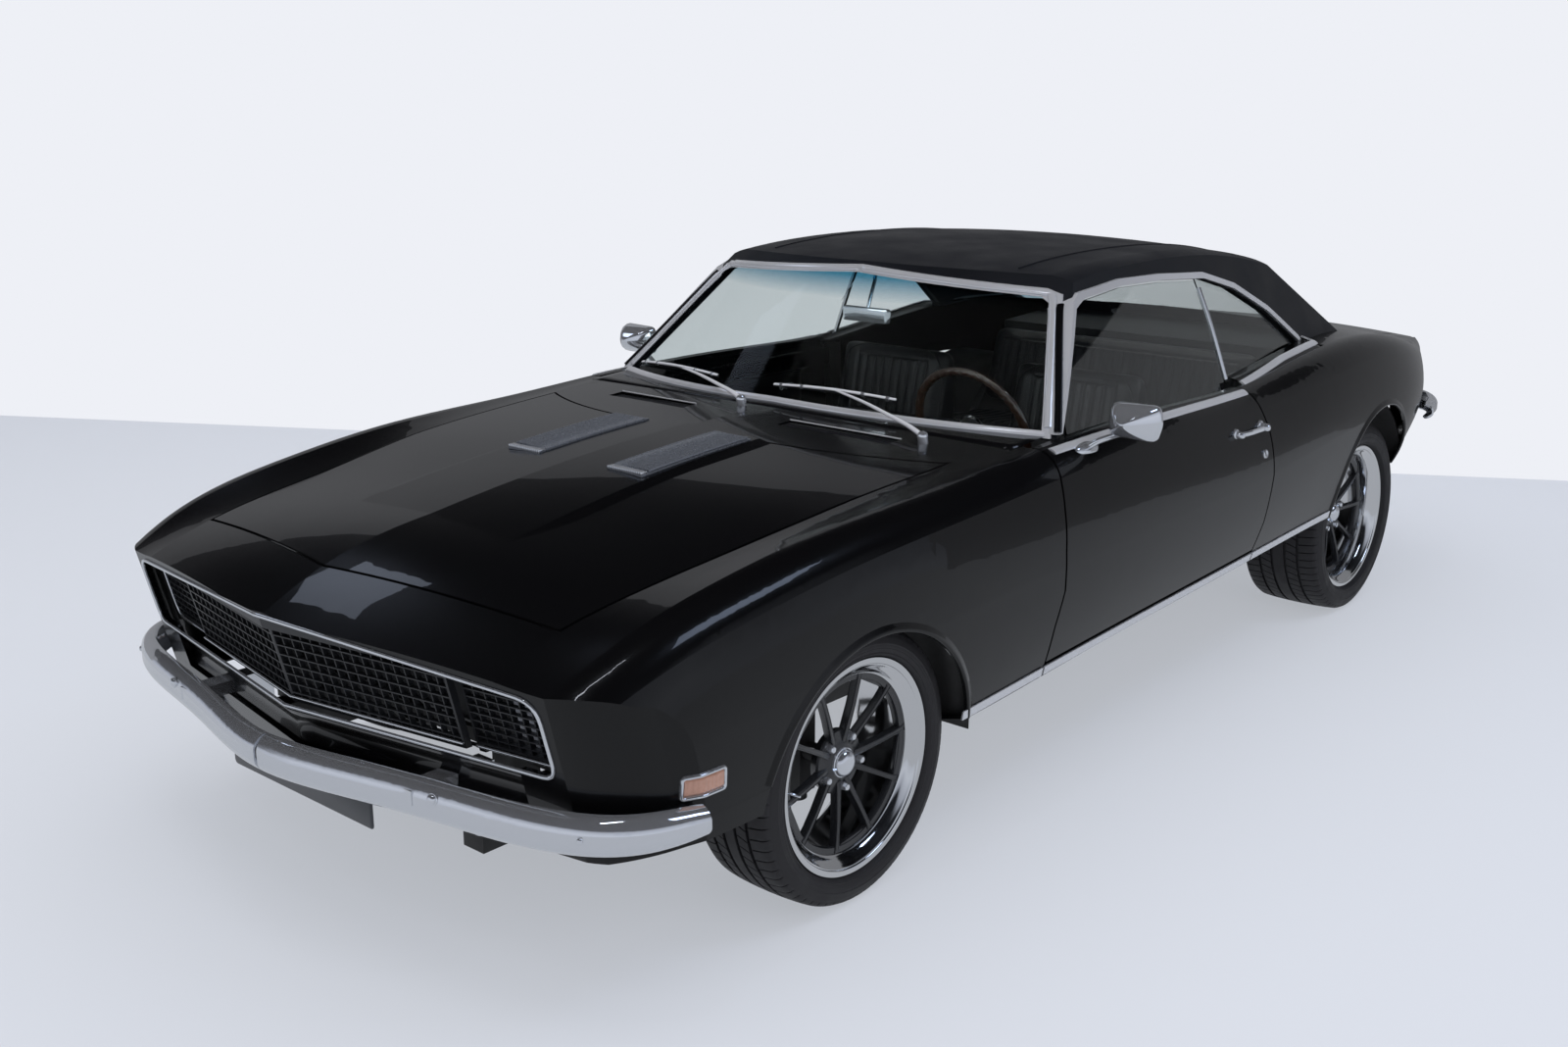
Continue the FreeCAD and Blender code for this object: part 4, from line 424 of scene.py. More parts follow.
SEAT_VINYL = GrainedVinyl("upholstery_vinyl", "#08080a", "#0e0e11", 1.8, 0.10, 0.40, 0.36)
WOOD = Varnished("varnished_rim_wood", "#2e1a0e", "#150a05", 9.0)
CLEAR_GLASS = Glazing("clear_float_glass", "#f2f7f6")
SCREEN_GLASS = Glazing("shaded_screen_glass", "#f2f7f6", band="#4f93ad", band_low=1.165,
                       band_high=1.225, ior=1.09)
# Die-cast zinc, chromed and dulled by weather: the hood inserts' fine ribs read grey.
VENT_METAL = Finish("weathered_die_cast_chrome", "#747982", 0.30, metallic=0.6, blotch_mm=12.0,
                    second="#6f737a", roughness_swing=0.08)


# ------------------------------------------------------------------ mesh helpers
def linked(name: str, data: bpy.types.ID) -> Piece:
    """Put mesh, curve, lamp or camera data into the scene as an object."""
    made = bpy.data.objects.new(name, data)
    bpy.context.scene.collection.objects.link(made)
    return made


def lattice(rows: int, ring: int, closed: bool = False, loop: bool = False,
            capped: bool = False) -> list[tuple[int, ...]]:
    """Faces over equal rows of points.

    Args:
        rows: how many rows.
        ring: points in each row.
        closed: whether each row's end joins its start.
        loop: whether the last row joins the first.
        capped: whether the first and last rows are filled in.

    Returns:
        Four-sided faces, then the caps.
    """
    faces: list[tuple[int, ...]] = []
    for i in range(rows if loop else rows - 1):
        for k in range(ring if closed else ring - 1):
            here, ahead, m = i * ring, (i + 1) % rows * ring, (k + 1) % ring
            faces.append((here + k, here + m, ahead + m, ahead + k))
    if capped:
        faces += [tuple(range(ring)), tuple((rows - 1) * ring + k for k in reversed(range(ring)))]
    return faces


def border(rows: int, ring: int) -> list[int]:
    """The points on the edge of a grid of rows, in order round it."""
    first, last = list(range(ring)), [(rows - 1) * ring + k for k in range(ring)]
    right = [i * ring + ring - 1 for i in range(1, rows - 1)]
    left = [i * ring for i in range(1, rows - 1)]
    return first + right + last[::-1] + left[::-1]


def mesh_object(name: str, points: Sequence[Point], faces: Sequence[Sequence[int]],
                finish: Coat, crease: float = 35.0) -> Piece:
    """Make a smooth-shaded mesh object whose sharp edges stay sharp.

    Args:
        name: the object's name.
        points: vertices in metres.
        faces: vertex numbers of each face.
        finish: the finish of the whole mesh.
        crease: edges sharper than this many degrees stay sharp.

    Returns:
        The object, linked to the scene.
    """
    mesh = bpy.data.meshes.new(name)
    mesh.from_pydata([tuple(p) for p in points], [], [tuple(f) for f in faces])
    made = linked(name, mesh)
    tidy(made)
    dress(made, finish, crease)
    return made


def tidy(piece: Piece) -> None:
    """Merge doubles and turn every face outwards."""
    shape = bmesh.new()
    shape.from_mesh(piece.data)
    bmesh.ops.remove_doubles(shape, verts=shape.verts, dist=1e-6)
    bmesh.ops.recalc_face_normals(shape, faces=shape.faces)
    shape.to_mesh(piece.data)
    shape.free()


def dress(piece: Piece, finish: Coat, crease: float = 35.0) -> None:
    """Give a mesh one finish and smooth shading with creases."""
    piece.data.materials.clear()
    piece.data.materials.append(finish.material())
    piece.data.polygons.foreach_set("use_smooth", [True] * len(piece.data.polygons))
    piece.data.set_sharp_from_angle(angle=math.radians(crease))
    piece.data.update()


def joined(name: str, pieces: Sequence[Piece]) -> Piece:
    """Join several plain meshes, with their own finishes, into one object.

    Args:
        name: the joined object's name.
        pieces: mesh objects at the origin.

    Returns:
        The joined object.
    """
    slots: list[Material] = []
    points: list[Vector] = []
    faces: list[list[int]] = []
    marks: list[int] = []
    for piece in pieces:
        base = len(points)
        points += [v.co.copy() for v in piece.data.vertices]
        for polygon in piece.data.polygons:
            faces.append([base + i for i in polygon.vertices])
            material = piece.data.materials[polygon.material_index]
            if material not in slots:
                slots.append(material)
            marks.append(slots.index(material))
    mesh = bpy.data.meshes.new(name)
    mesh.from_pydata(points, [], faces)
    for material in slots:
        mesh.materials.append(material)
    mesh.polygons.foreach_set("material_index", marks)
    mesh.polygons.foreach_set("use_smooth", [True] * len(faces))
    mesh.set_sharp_from_angle(angle=math.radians(35.0))
    for piece in pieces:
        bpy.data.objects.remove(piece)
    return linked(name, mesh)


def finished(piece: Piece) -> Piece:
    """Apply a piece's modifiers and place, so that it is a plain mesh at the origin."""
    graph = bpy.context.evaluated_depsgraph_get()
    mesh = bpy.data.meshes.new_from_object(piece.evaluated_get(graph))
    mesh.transform(piece.matrix_world)
    name = piece.name
    bpy.data.objects.remove(piece)
    mesh.name = name
    return linked(name, mesh)


def mirrored(piece: Piece, name: str) -> Piece:
    """Copy a piece to the other side of the car, with its faces turned right way out."""
    mesh = piece.data.copy()
    mesh.transform(Matrix.Diagonal((-1.0, 1.0, 1.0, 1.0)))
    mesh.flip_normals()
    mesh.name = name
    return linked(name, mesh)


def revolved(name: str, profile: Pairs, centre: Point, finish: Coat,
             steps: int = 96, closed: bool = True, crease: float = 35.0) -> Piece:
    """Turn a profile round an axis that runs along X.

    Args:
        name: the object's name.
        profile: (x offset, radius) pairs in metres, in order.
        centre: a point on the axis.
        finish: the finish.
        steps: sections round the turn.
        closed: whether the profile's end joins its start.
        crease: crease angle in degrees.

    Returns:
        The turned object.
    """
    points: list[Point] = []
    for step in range(steps):
        angle = 2.0 * math.pi * step / steps
        points += [(centre[0] + offset, centre[1] + radius * math.cos(angle),
                    centre[2] + radius * math.sin(angle)) for offset, radius in profile]
    return mesh_object(name, points, lattice(steps, len(profile), closed, True), finish, crease)


def turned(name: str, profile: Pairs, finish: Coat, steps: int,
           centre: Point = (0.0, 0.0, 0.0), crease: float = 35.0) -> Piece:
    """A solid turned part, whose profile starts and ends on its axis."""
    return revolved(name, profile, centre, finish, steps, closed=False, crease=crease)


def swept(name: str, path: Sequence[Vector], section: Pairs,
          ups: "Vector | Sequence[Vector]", finish: Coat, closed: bool = False,
          scales: Optional[Sequence[float]] = None, crease: float = 35.0) -> Piece:
    """Sweep a closed section along a path whose up direction is given at each point.

    Args:
        name: the object's name.
        path: points in metres.
        section: (across, up) pairs in metres.
        ups: the section's up direction, the same all along or one for each point.
        finish: the finish.
        closed: whether the path joins its start.
        scales: a size factor at each point.
        crease: crease angle in degrees.

    Returns:
        The swept object, capped where it is open.
    """
    count = len(path)
    points: list[Vector] = []
    for i, here in enumerate(path):
        if closed:
            along = path[(i + 1) % count] - path[i - 1]
        else:
            along = path[min(i + 1, count - 1)] - path[max(i - 1, 0)]
        along.normalize()
        across = along.cross(ups if isinstance(ups, Vector) else ups[i]).normalized()
        up = across.cross(along).normalized()
        size = scales[i] if scales else 1.0
        points += [here + across * (a * size) + up * (b * size) for a, b in section]
    faces = lattice(count, len(section), True, closed, not closed)
    return mesh_object(name, points, faces, finish, crease)


def round_section(radius: float, sides: int) -> list[tuple[float, float]]:
    """A round section."""
    turns = [2 * math.pi * k / sides for k in range(sides)]
    return [(radius * math.cos(turn), radius * math.sin(turn)) for turn in turns]


def half_round(width: float, height: float, sink: float = 0.0015) -> list[tuple[float, float]]:
    """A domed strip's section, with a foot that sinks into the panel below it."""
    turns = [math.pi * k / 8 for k in range(9)]
    arc = [(width / 2 * math.cos(turn), height * math.sin(turn)) for turn in turns]
    return [(width / 2, -sink)] + arc + [(-width / 2, -sink)]


def smooth_path(points: Sequence[Sequence[float]], each: int = 8,
        closed: bool = False) -> list[Vector]:
    """Catmull-Rom points through the given ones.

    Args:
        points: points in metres.
        each: steps between neighbouring points.
        closed: whether the line joins its start.

    Returns:
        Points along the curve.
    """
    held = [Vector(p) for p in points]
    count = len(held)
    out: list[Vector] = []
    for i in range(count if closed else count - 1):
        if closed:
            a, b, c, d = (held[(i + k) % count] for k in (-1, 0, 1, 2))
        else:
            b, c = held[i], held[i + 1]
            a = held[i - 1] if i else b * 2 - c
            d = held[i + 2] if i + 2 < count else c * 2 - b
        for step in range(each):
            t = step / each
            out.append(0.5 * ((2 * b) + (c - a) * t + (2 * a - 5 * b + 4 * c - d) * t * t
                              + (3 * b - a - 3 * c + d) * t ** 3))
    if not closed:
        out.append(held[-1])
    return out


def evenly(path: Sequence[Vector], gap: float, closed: bool = False) -> list[Vector]:
    """Points at an even distance along a line."""
    line = list(path) + ([path[0]] if closed else [])
    lengths = [0.0]
    for a, b in zip(line, line[1:]):
        lengths.append(lengths[-1] + (b - a).length)
    total = lengths[-1]
    count = max(int(round(total / gap)), 2)
    out: list[Vector] = []
    spot = 0
    for i in range(count if closed else count + 1):
        want = total * i / count
        while spot < len(lengths) - 2 and lengths[spot + 1] < want:
            spot += 1
        span = max(lengths[spot + 1] - lengths[spot], 1e-9)
        out.append(line[spot].lerp(line[spot + 1], (want - lengths[spot]) / span))
    return out


def course(points: Sequence[Sequence[float]], gap: float) -> list[Vector]:
    """A smooth line through some points, at even spacing."""
    return evenly(smooth_path(points), gap)


def thickened(sheet: Piece, depth: float) -> Piece:
    """Give an open sheet its thickness."""
    sheet.modifiers.new("thick", "SOLIDIFY").thickness = depth
    return finished(sheet)


def softened(path: Sequence[Vector]) -> list[Vector]:
    """A line smoothed by a running mean of five points."""
    return [sum(path[max(i - 2, 0):i + 3], Vector()) / len(path[max(i - 2, 0):i + 3])
            for i in range(len(path))]


def rounded(corners: Sequence[Point], steps: int = 6) -> list[tuple[float, float]]:
    """A closed outline with rounded corners.

    Args:
        corners: (u, v, radius) of each corner, in order.
        steps: points in each corner's arc.

    Returns:
        (u, v) points.
    """
    out: list[tuple[float, float]] = []
    count = len(corners)
    for i, (u, v, radius) in enumerate(corners):
        here = Vector((u, v))
        before = (Vector(corners[i - 1][:2]) - here).normalized()
        after = (Vector(corners[(i + 1) % count][:2]) - here).normalized()
        angle = before.angle(after)
        reach = radius / math.tan(angle / 2) if radius else 0.0
        start, end = here + before * reach, here + after * reach
        if not radius:
            out.append((here.x, here.y))
            continue
        for k in range(steps + 1):
            t = k / steps
            spot = start * (1 - t) ** 2 + here * 2 * t * (1 - t) + end * t * t
            out.append((spot.x, spot.y))
    return out


def box_mesh(name: str, low: Point, high: Point, finish: Coat, bevel: float = 0.0,
             segments: int = 2) -> Piece:
    """A block with rounded edges."""
    shape = bmesh.new()
    bmesh.ops.create_cube(shape, size=1.0)
    for vertex in shape.verts:
        vertex.co = Vector(
            [(lo + hi) / 2 + c * (hi - lo) for lo, hi, c in zip(low, high, vertex.co)])
    if bevel:
        bmesh.ops.bevel(shape, geom=list(shape.edges), offset=bevel, segments=segments,
                        profile=0.5, affect="EDGES")
    mesh = bpy.data.meshes.new(name)
    shape.to_mesh(mesh)
    shape.free()
    made = linked(name, mesh)
    dress(made, finish)
    return made


def placed(piece: Piece, matrix: Matrix) -> Piece:
    """Move a mesh by a matrix, in its own points."""
    piece.data.transform(matrix)
    piece.data.update()
    return piece


def frame_at(origin: Sequence[float], along: Sequence[float], up: Sequence[float]) -> Matrix:
    """The matrix that puts a piece's X along one direction and its Z near another."""
    x = Vector(along).normalized()
    y = Vector(up).cross(x).normalized()
    z = x.cross(y)
    return Matrix(((x.x, y.x, z.x, origin[0]), (x.y, y.y, z.y, origin[1]),
                   (x.z, y.z, z.z, origin[2]), (0, 0, 0, 1)))


# ------------------------------------------------------------------ geometry nodes
@dataclass
class Recipe:
    """A geometry node tree that is applied once to an object."""

    name: str
    sockets: dict[str, str]
    tree: Tree = field(init=False)
    given: Node = field(init=False)
    keys: dict[str, str] = field(default_factory=dict)

    def __post_init__(self) -> None:
        """Make the tree and its input sockets."""
        self.tree = bpy.data.node_groups.new(self.name, "GeometryNodeTree")
        for label, kind in {"Geometry": "Geometry", **self.sockets, "Finish": "Material"}.items():
            self.keys[label] = self.tree.interface.new_socket(
                label, in_out="INPUT", socket_type=f"NodeSocket{kind}").identifier
        self.tree.interface.new_socket("Geometry", in_out="OUTPUT",
                                       socket_type="NodeSocketGeometry")
        self.given = add(self.tree, "NodeGroupInput")

    def bake(self, piece: Piece, shape: Node, **values) -> Piece:
        """Realize the shape, set its material and bake it.

        Args:
            piece: the object to apply the tree to, which is used up.
            shape: the last node before the instances are realized.
            values: each input's value, by its label in small letters.

        Returns:
            The plain mesh object.
        """
        real = add(self.tree, "GeometryNodeRealizeInstances", {"Geometry": shape})
        coat = add(self.tree, "GeometryNodeSetMaterial", {
            "Geometry": real, "Material": self.given.outputs["Finish"]})
        add(self.tree, "NodeGroupOutput", {"Geometry": coat})
        modifier = piece.modifiers.new("recipe", "NODES")
        modifier.node_group = self.tree
        for label, value in values.items():
            modifier[self.keys[label.title()]] = value
        return finished(piece)


@dataclass(frozen=True)
class Repeat:
    """A row or ring of copies: each is shifted and turned from the one before it."""

    count: int
    centre: Point = (0.0, 0.0, 0.0)
    start: Point = (0.0, 0.0, 0.0)
    turn: Point = (0.0, 0.0, 0.0)
    shift: Point = (0.0, 0.0, 0.0)

    def make(self, unit: Piece, finish: Coat, name: str) -> Piece:
        """Build the copies as one plain mesh.

        Args:
            unit: the shape to repeat, which is used up.
            finish: the finish of every copy.
            name: the new object's name.

        Returns:
            The finished row or ring.
        """
        recipe = Recipe(name + "_repeat", {"Count": "Int", **{
            label: "Vector" for label in ("Centre", "Start", "Turn", "Shift")}})
        tree, given = recipe.tree, recipe.given.outputs
        row = add(tree, "GeometryNodePoints", {"Count": given["Count"]})
        index = add(tree, "GeometryNodeInputIndex")
        spot, turned = (add(tree, "ShaderNodeVectorMath", {
            0: add(tree, "ShaderNodeVectorMath", {0: given[step], "Scale": index},
                   operation="SCALE"), 1: given[first]}, operation="ADD")
            for step, first in (("Shift", "Centre"), ("Turn", "Start")))
        set_out = add(tree, "GeometryNodeSetPosition", {"Geometry": row, "Position": spot})
        back = add(tree, "ShaderNodeVectorMath", {0: given["Centre"], "Scale": -1.0},
                   operation="SCALE")
        home = add(tree, "GeometryNodeTransform", {
            "Geometry": recipe.given, "Translation": back})
        copies = add(tree, "GeometryNodeInstanceOnPoints", {
            "Points": set_out, "Instance": home, "Rotation": turned})
        unit.name = name
        return recipe.bake(unit, copies, count=self.count, centre=self.centre, start=self.start,
                           turn=self.turn, shift=self.shift, finish=finish.material())


@dataclass(frozen=True)
class Bead:
    """A round bead, cord or welt that follows a line."""

    radius: float
    sides: int = 10
    closed: bool = False

    def make(self, path: Sequence[Sequence[float]], finish: Coat, name: str) -> Piece:
        """Build the bead as one plain mesh.

        Args:
            path: the line's points in metres.
            finish: the bead's finish.
            name: the new object's name.

        Returns:
            The finished bead.
        """
        curve = bpy.data.curves.new(name, "CURVE")
        curve.dimensions = "3D"
        spline = curve.splines.new("POLY")
        spline.points.add(len(path) - 1)
        for point, spot in zip(spline.points, path):
            point.co = (*spot, 1.0)
        spline.use_cyclic_u = self.closed
        recipe = Recipe(name + "_bead", {"Radius": "Float", "Sides": "Int"})
        tree, given = recipe.tree, recipe.given.outputs
        ring = add(tree, "GeometryNodeCurvePrimitiveCircle", {
            "Resolution": given["Sides"], "Radius": given["Radius"]})
        tube = add(tree, "GeometryNodeCurveToMesh", {
            "Curve": recipe.given, "Profile Curve": ring, "Fill Caps": True})
        soft = add(tree, "GeometryNodeSetShadeSmooth", {"Geometry": tube})
        return recipe.bake(linked(name, curve), soft, radius=self.radius, sides=self.sides,
                           finish=finish.material())


# ------------------------------------------------------------------ the car's own surfaces
class Skin:
    """The outside of some CAD nodes, found by casting rays at them."""

    def __init__(self, *nodes: str) -> None:
        """Gather the nodes' faces."""
        points: list[Vector] = []
        faces: list[list[int]] = []
        for name in nodes:
            mesh = FRAME["nodes"][name].data
            base = len(points)
            points += [v.co.copy() for v in mesh.vertices]
            faces += [[base + i for i in p.vertices] for p in mesh.polygons]
        self.tree = BVHTree.FromPolygons(points, faces)

    def ray(self, origin: Sequence[float], direction: Sequence[float]) -> Hit:
        """The first point and outward normal that a ray meets.

        Args:
            origin: the ray's start.
            direction: where it points.

        Returns:
            Point and normal, or None.
        """
        way = Vector(direction).normalized()
        point, normal, _, _ = self.tree.ray_cast(Vector(origin), way)
        if point is None:
            return None
        return point, (normal if normal.dot(way) < 0 else -normal)

    def side(self, y: float, z: float, sign: int = 1) -> Hit:
        """The skin seen from the side."""
        return self.ray((sign * 1.6, y, z), (-sign, 0, 0))

    def top(self, x: float, y: float) -> Hit:
        """The skin seen from above."""
        return self.ray((x, y, 2.0), (0, 0, -1))

    def line(self, spots: Iterable[Hit], lift: float = 0.0
             ) -> tuple[list[Vector], list[Vector]]:
        """Split hits into points, lifted off the skin, and normals."""
        hits = [s for s in spots if s]
        return [p + n * lift for p, n in hits], [n for _, n in hits]


FRAME: dict = {}


@dataclass
class Parts:
    """The names of what has been built."""

    done: list[str] = field(default_factory=list)

    def put(self, piece: Piece, body: "Body | str", slot: str,
            *nodes: str) -> Piece:
        """Ride a piece on its body and hide the CAD nodes that it stands for.

        Args:
            piece: the finished piece.
            body: the CAD body that it moves with.
            slot: the record's material slot; not used.
            nodes: CAD nodes that it replaces.

        Returns:
            The same piece.
        """
        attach(piece, body.value if isinstance(body, Body) else body)
        if nodes:
            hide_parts(*nodes)
        self.done.append(piece.name)
        LOG.info("%s: %d faces", piece.name, len(piece.data.polygons))
        return piece


PARTS = Parts()


def lay(name: str, path: Sequence[Vector], ups: "Vector | Sequence[Vector]",
        size: tuple[float, ...], finish: Coat, body: Body = Body.CAR,
        slot: str = "chrome") -> None:
    """Put a half-round strip along a line, if the line was found.

    Args:
        name: the piece's name.
        path: the line's points.
        ups: the skin's normal, the same all along or one for each point.
        size: the strip's width and height, and how far its feet reach down.
        finish: the finish.
        body: the body it rides on.
        slot: the record's material slot.
    """
    if len(path) > 4:
        PARTS.put(swept(name, path, half_round(*size), ups, finish), body, slot)


# ------------------------------------------------------------------ studio
# name, place, target, size, watts, colour, and whether reflections show it
LAMPS = (
    ("overhead_softbox", (0.0, -0.5, 5.2), (0, 0, 0), (7.0, 7.0), 190, "#fdfbfa", False),
    ("side_softbox", (5.5, -2.5, 3.2), (0, -0.5, 0.6), (4.0, 3.0), 90, "#fbfaff", False),
    ("front_softbox", (-2.0, -6.5, 3.0), (0, -1.5, 0.6), (4.0, 2.5), 60, "#fbfaff", False),
    ("left_skylight", (-5.2, -0.9, 5.5), (-5.2, -0.9, 0), (1.2, 2.0), 14, "#dbe7ff", True),
    ("right_skylight", (3.9, 0.95, 5.5), (3.9, 0.95, 0), (1.6, 2.6), 60, "#cfe0ff", True),
    ("ceiling_tube", (0.9, -2.7, 5.6), (0.9, -2.7, 0), (0.12, 1.6), 12, "#eef3ff", True),
)
# what reflections see at each height, behind the car and ahead of it
ROOM_BEHIND = ((0.0, "#b9bec9"), (0.10, "#9398a3"), (0.17, "#1f2126"), (0.45, "#090a0c"),
               (1.0, "#08090b"))
ROOM_AHEAD = ((0.0, "#c4c9d3"), (0.12, "#cfd4de"), (0.36, "#a6abb6"), (0.48, "#1d1f23"),
              (1.0, "#08090b"))


@dataclass
class Studio:
    """Pale floor and wall, soft lamps and the camera."""

    floor_colour: str = "#d3d7df"
    wall_colour: str = "#eef0f6"
    floor_half: float = 16.0
    wall_height: float = 3.0
    wall_a: tuple[float, float] = (-5.1, 0.37)
    wall_b: tuple[float, float] = (0.85, 3.82)
    camera_spot: Point = (2.8493, -3.9531, 1.7362)
    camera_way: Point = (-0.634, 0.728, -0.261)
    lens: float = 36.94

    def build(self) -> None:
        """Make floor, wall, lamps, world and camera."""
        self.floor()
        self.wall()
        self.world()
        self.lamps()
        self.camera()

    def sheet(self, name: str, corners: Sequence[Point], coat: Coat) -> None:
        """A flat stage sheet."""
        mesh = bpy.data.meshes.new(name)
        mesh.from_pydata(corners, [], [(0, 1, 2, 3)])
        mesh.materials.append(coat.material())
        linked(name, mesh)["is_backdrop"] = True

    def floor(self) -> None:
        """The floor: pale, keeping the car's soft shadow."""
        h = self.floor_half
        self.sheet("floor", [(-h, -h, -0.001), (h, -h, -0.001), (h, h, -0.001), (-h, h, -0.001)],
                   Backdrop("pale_floor", self.floor_colour, 0.62, "#d4d8df", 0.74, 0.74))

    def wall(self) -> None:
        """A plain white wall behind the car."""
        a, b = Vector(self.wall_a), Vector(self.wall_b)
        way = (b - a).normalized()
        a, b = a - way * 9.0, b + way * 9.0
        self.sheet("wall", [(a.x, a.y, -0.001), (b.x, b.y, -0.001),
                            (b.x, b.y, self.wall_height), (a.x, a.y, self.wall_height)],
                   Backdrop("pale_wall", self.wall_colour, 1.0, self.wall_colour,
                                          0.28, 0.80))

    def world(self) -> None:
        """Soft even light; reflections see pale walls below a dark ceiling."""
        world = bpy.data.worlds.new("studio")
        bpy.context.scene.world = world
        world.use_nodes = True
        tree = world.node_tree
        tree.nodes.clear()
        place = add(tree, "ShaderNodeTexCoord")
        way = add(tree, "ShaderNodeSeparateXYZ", {"Vector": place.outputs["Generated"]})
        behind, ahead = (self.ramp(tree, way.outputs["Z"], stops)
                         for stops in (ROOM_BEHIND, ROOM_AHEAD))
        lean = add(tree, "ShaderNodeVectorMath", {
            0: place.outputs["Generated"], 1: (0.657, -0.754, 0.0)}, operation="DOT_PRODUCT")
        share = add(tree, "ShaderNodeMapRange", {
            "Value": lean.outputs["Value"], "From Min": -0.15, "From Max": 0.25})
        room = add(tree, "ShaderNodeBackground", {
            "Color": blend(tree, share, behind, ahead), "Strength": 1.0})
        soft = add(tree, "ShaderNodeBackground", {"Color": srgb("#f7f7fd"), "Strength": 0.60})
        white = add(tree, "ShaderNodeBackground", {"Color": srgb("#f1f2f7"), "Strength": 1.0})
        ray = add(tree, "ShaderNodeLightPath").outputs
        mirrored_once = reckon(tree, "ADD", ray["Is Glossy Ray"], ray["Glossy Depth"], clamp=True)
        bounced = reckon(tree, "ADD", mirrored_once, ray["Diffuse Depth"], clamp=True)
        straight = reckon(tree, "SUBTRACT", ray["Is Transmission Ray"], bounced, clamp=True)
        mixed = add(tree, "ShaderNodeMixShader", {0: mirrored_once, 1: soft, 2: room})
        seen = add(tree, "ShaderNodeMixShader", {0: ray["Is Camera Ray"], 1: mixed, 2: white})
        through = add(tree, "ShaderNodeMixShader", {0: straight, 1: seen, 2: white})
        add(tree, "ShaderNodeOutputWorld", {"Surface": through})

    @staticmethod
    def ramp(tree: bpy.types.NodeTree, height: bpy.types.NodeSocket,
             stops: Sequence[tuple[float, str]]) -> bpy.types.NodeSocket:
        """Colours that change with height.

        Args:
            tree: the node tree.
            height: the socket that drives the ramp.
            stops: (position, colour) pairs in rising order.

        Returns:
            The colour socket.
        """
        ramp = add(tree, "ShaderNodeValToRGB", {"Fac": height})
        for element, (position, colour) in zip(ramp.color_ramp.elements, (stops[0], stops[-1])):
            element.position, element.color = position, srgb(colour)
        for position, colour in stops[1:-1]:
            ramp.color_ramp.elements.new(position).color = srgb(colour)
        return ramp.outputs["Color"]

    def lamp(self, name: str, spot: Point, aim: Point, size: tuple[float, float], watts: float,
             colour: str, seen: bool) -> None:
        """One rectangular lamp."""
        data = bpy.data.lights.new(name, "AREA")
        data.shape = "RECTANGLE"
        data.size, data.size_y = size
        data.energy = watts
        data.color = srgb(colour)[:3]
        lamp = linked(name, data)
        lamp.location = spot
        lamp.rotation_euler = (Vector(aim) - Vector(spot)).to_track_quat("-Z", "Y").to_euler()
        lamp.visible_glossy = seen
        lamp.visible_camera = False

    def lamps(self) -> None:
        """Large soft lamps for shape, and narrow ones that the lacquer mirrors."""
        for row in LAMPS:
            self.lamp(*row)

    def camera(self) -> None:
        """The camera, three-quarters from the front left at head height."""
        data = bpy.data.cameras.new("camera")
        data.lens = self.lens
        data.sensor_width = 36.0
        data.clip_end = 100.0
        camera = linked("camera", data)
        back = -Vector(self.camera_way).normalized()
        right = Vector((0, 0, 1)).cross(back).normalized()
        up = back.cross(right)
        x, y, z = self.camera_spot
        camera.matrix_world = Matrix(((right.x, up.x, back.x, x), (right.y, up.y, back.y, y),
                                      (right.z, up.z, back.z, z), (0, 0, 0, 1)))
        bpy.context.scene.camera = camera


# ------------------------------------------------------------------ finishes of the CAD frame
FRAME_FINISHES: dict[Coat, str] = {
    PAINT: "front_fenders header_panel front_valance cowl_panel quarter_panels rear_shelf_panel "
           "tail_panel left_door right_door hood boot_lid",
    ROOF_VINYL: "roof", SCREEN_GLASS: "windshield",
    CLEAR_GLASS: "rear_window quarter_windows left_door_glass right_door_glass",
    STAINLESS: "bright_mouldings hood_vents",
    CHROME: "front_bumper rear_bumper left_door_fittings right_door_fittings wipers inside_mirror",
    GRILLE_BLACK: "grille left_headlamp_door right_headlamp_door",
    CLEAR_LENS: "headlamps", RED_LENS: "tail_lamps", ENGINE_IRON: "engine radiator",
    STEEL: "exhaust fuel_tank", DASH: "dashboard", BOARD: "parcel_shelf", WOOD: "steering_wheel",
    SEAT_VINYL: "front_seats rear_seat"}


def frame_finish(node: str) -> Coat:
    """The finish of a carried-over CAD node; what no rule names is chassis black."""
    if node.endswith("_tyre"):
        return RUBBER
    if node.endswith("_rim"):
        return POLISHED
    return next((coat for coat, nodes in FRAME_FINISHES.items() if node in nodes.split()), CHASSIS)


def finish_frame() -> None:
    """Give every carried-over CAD node its finish."""
    for name, node in FRAME["nodes"].items():
        material = frame_finish(name).material()
        for slot in node.material_slots:
            slot.material = material


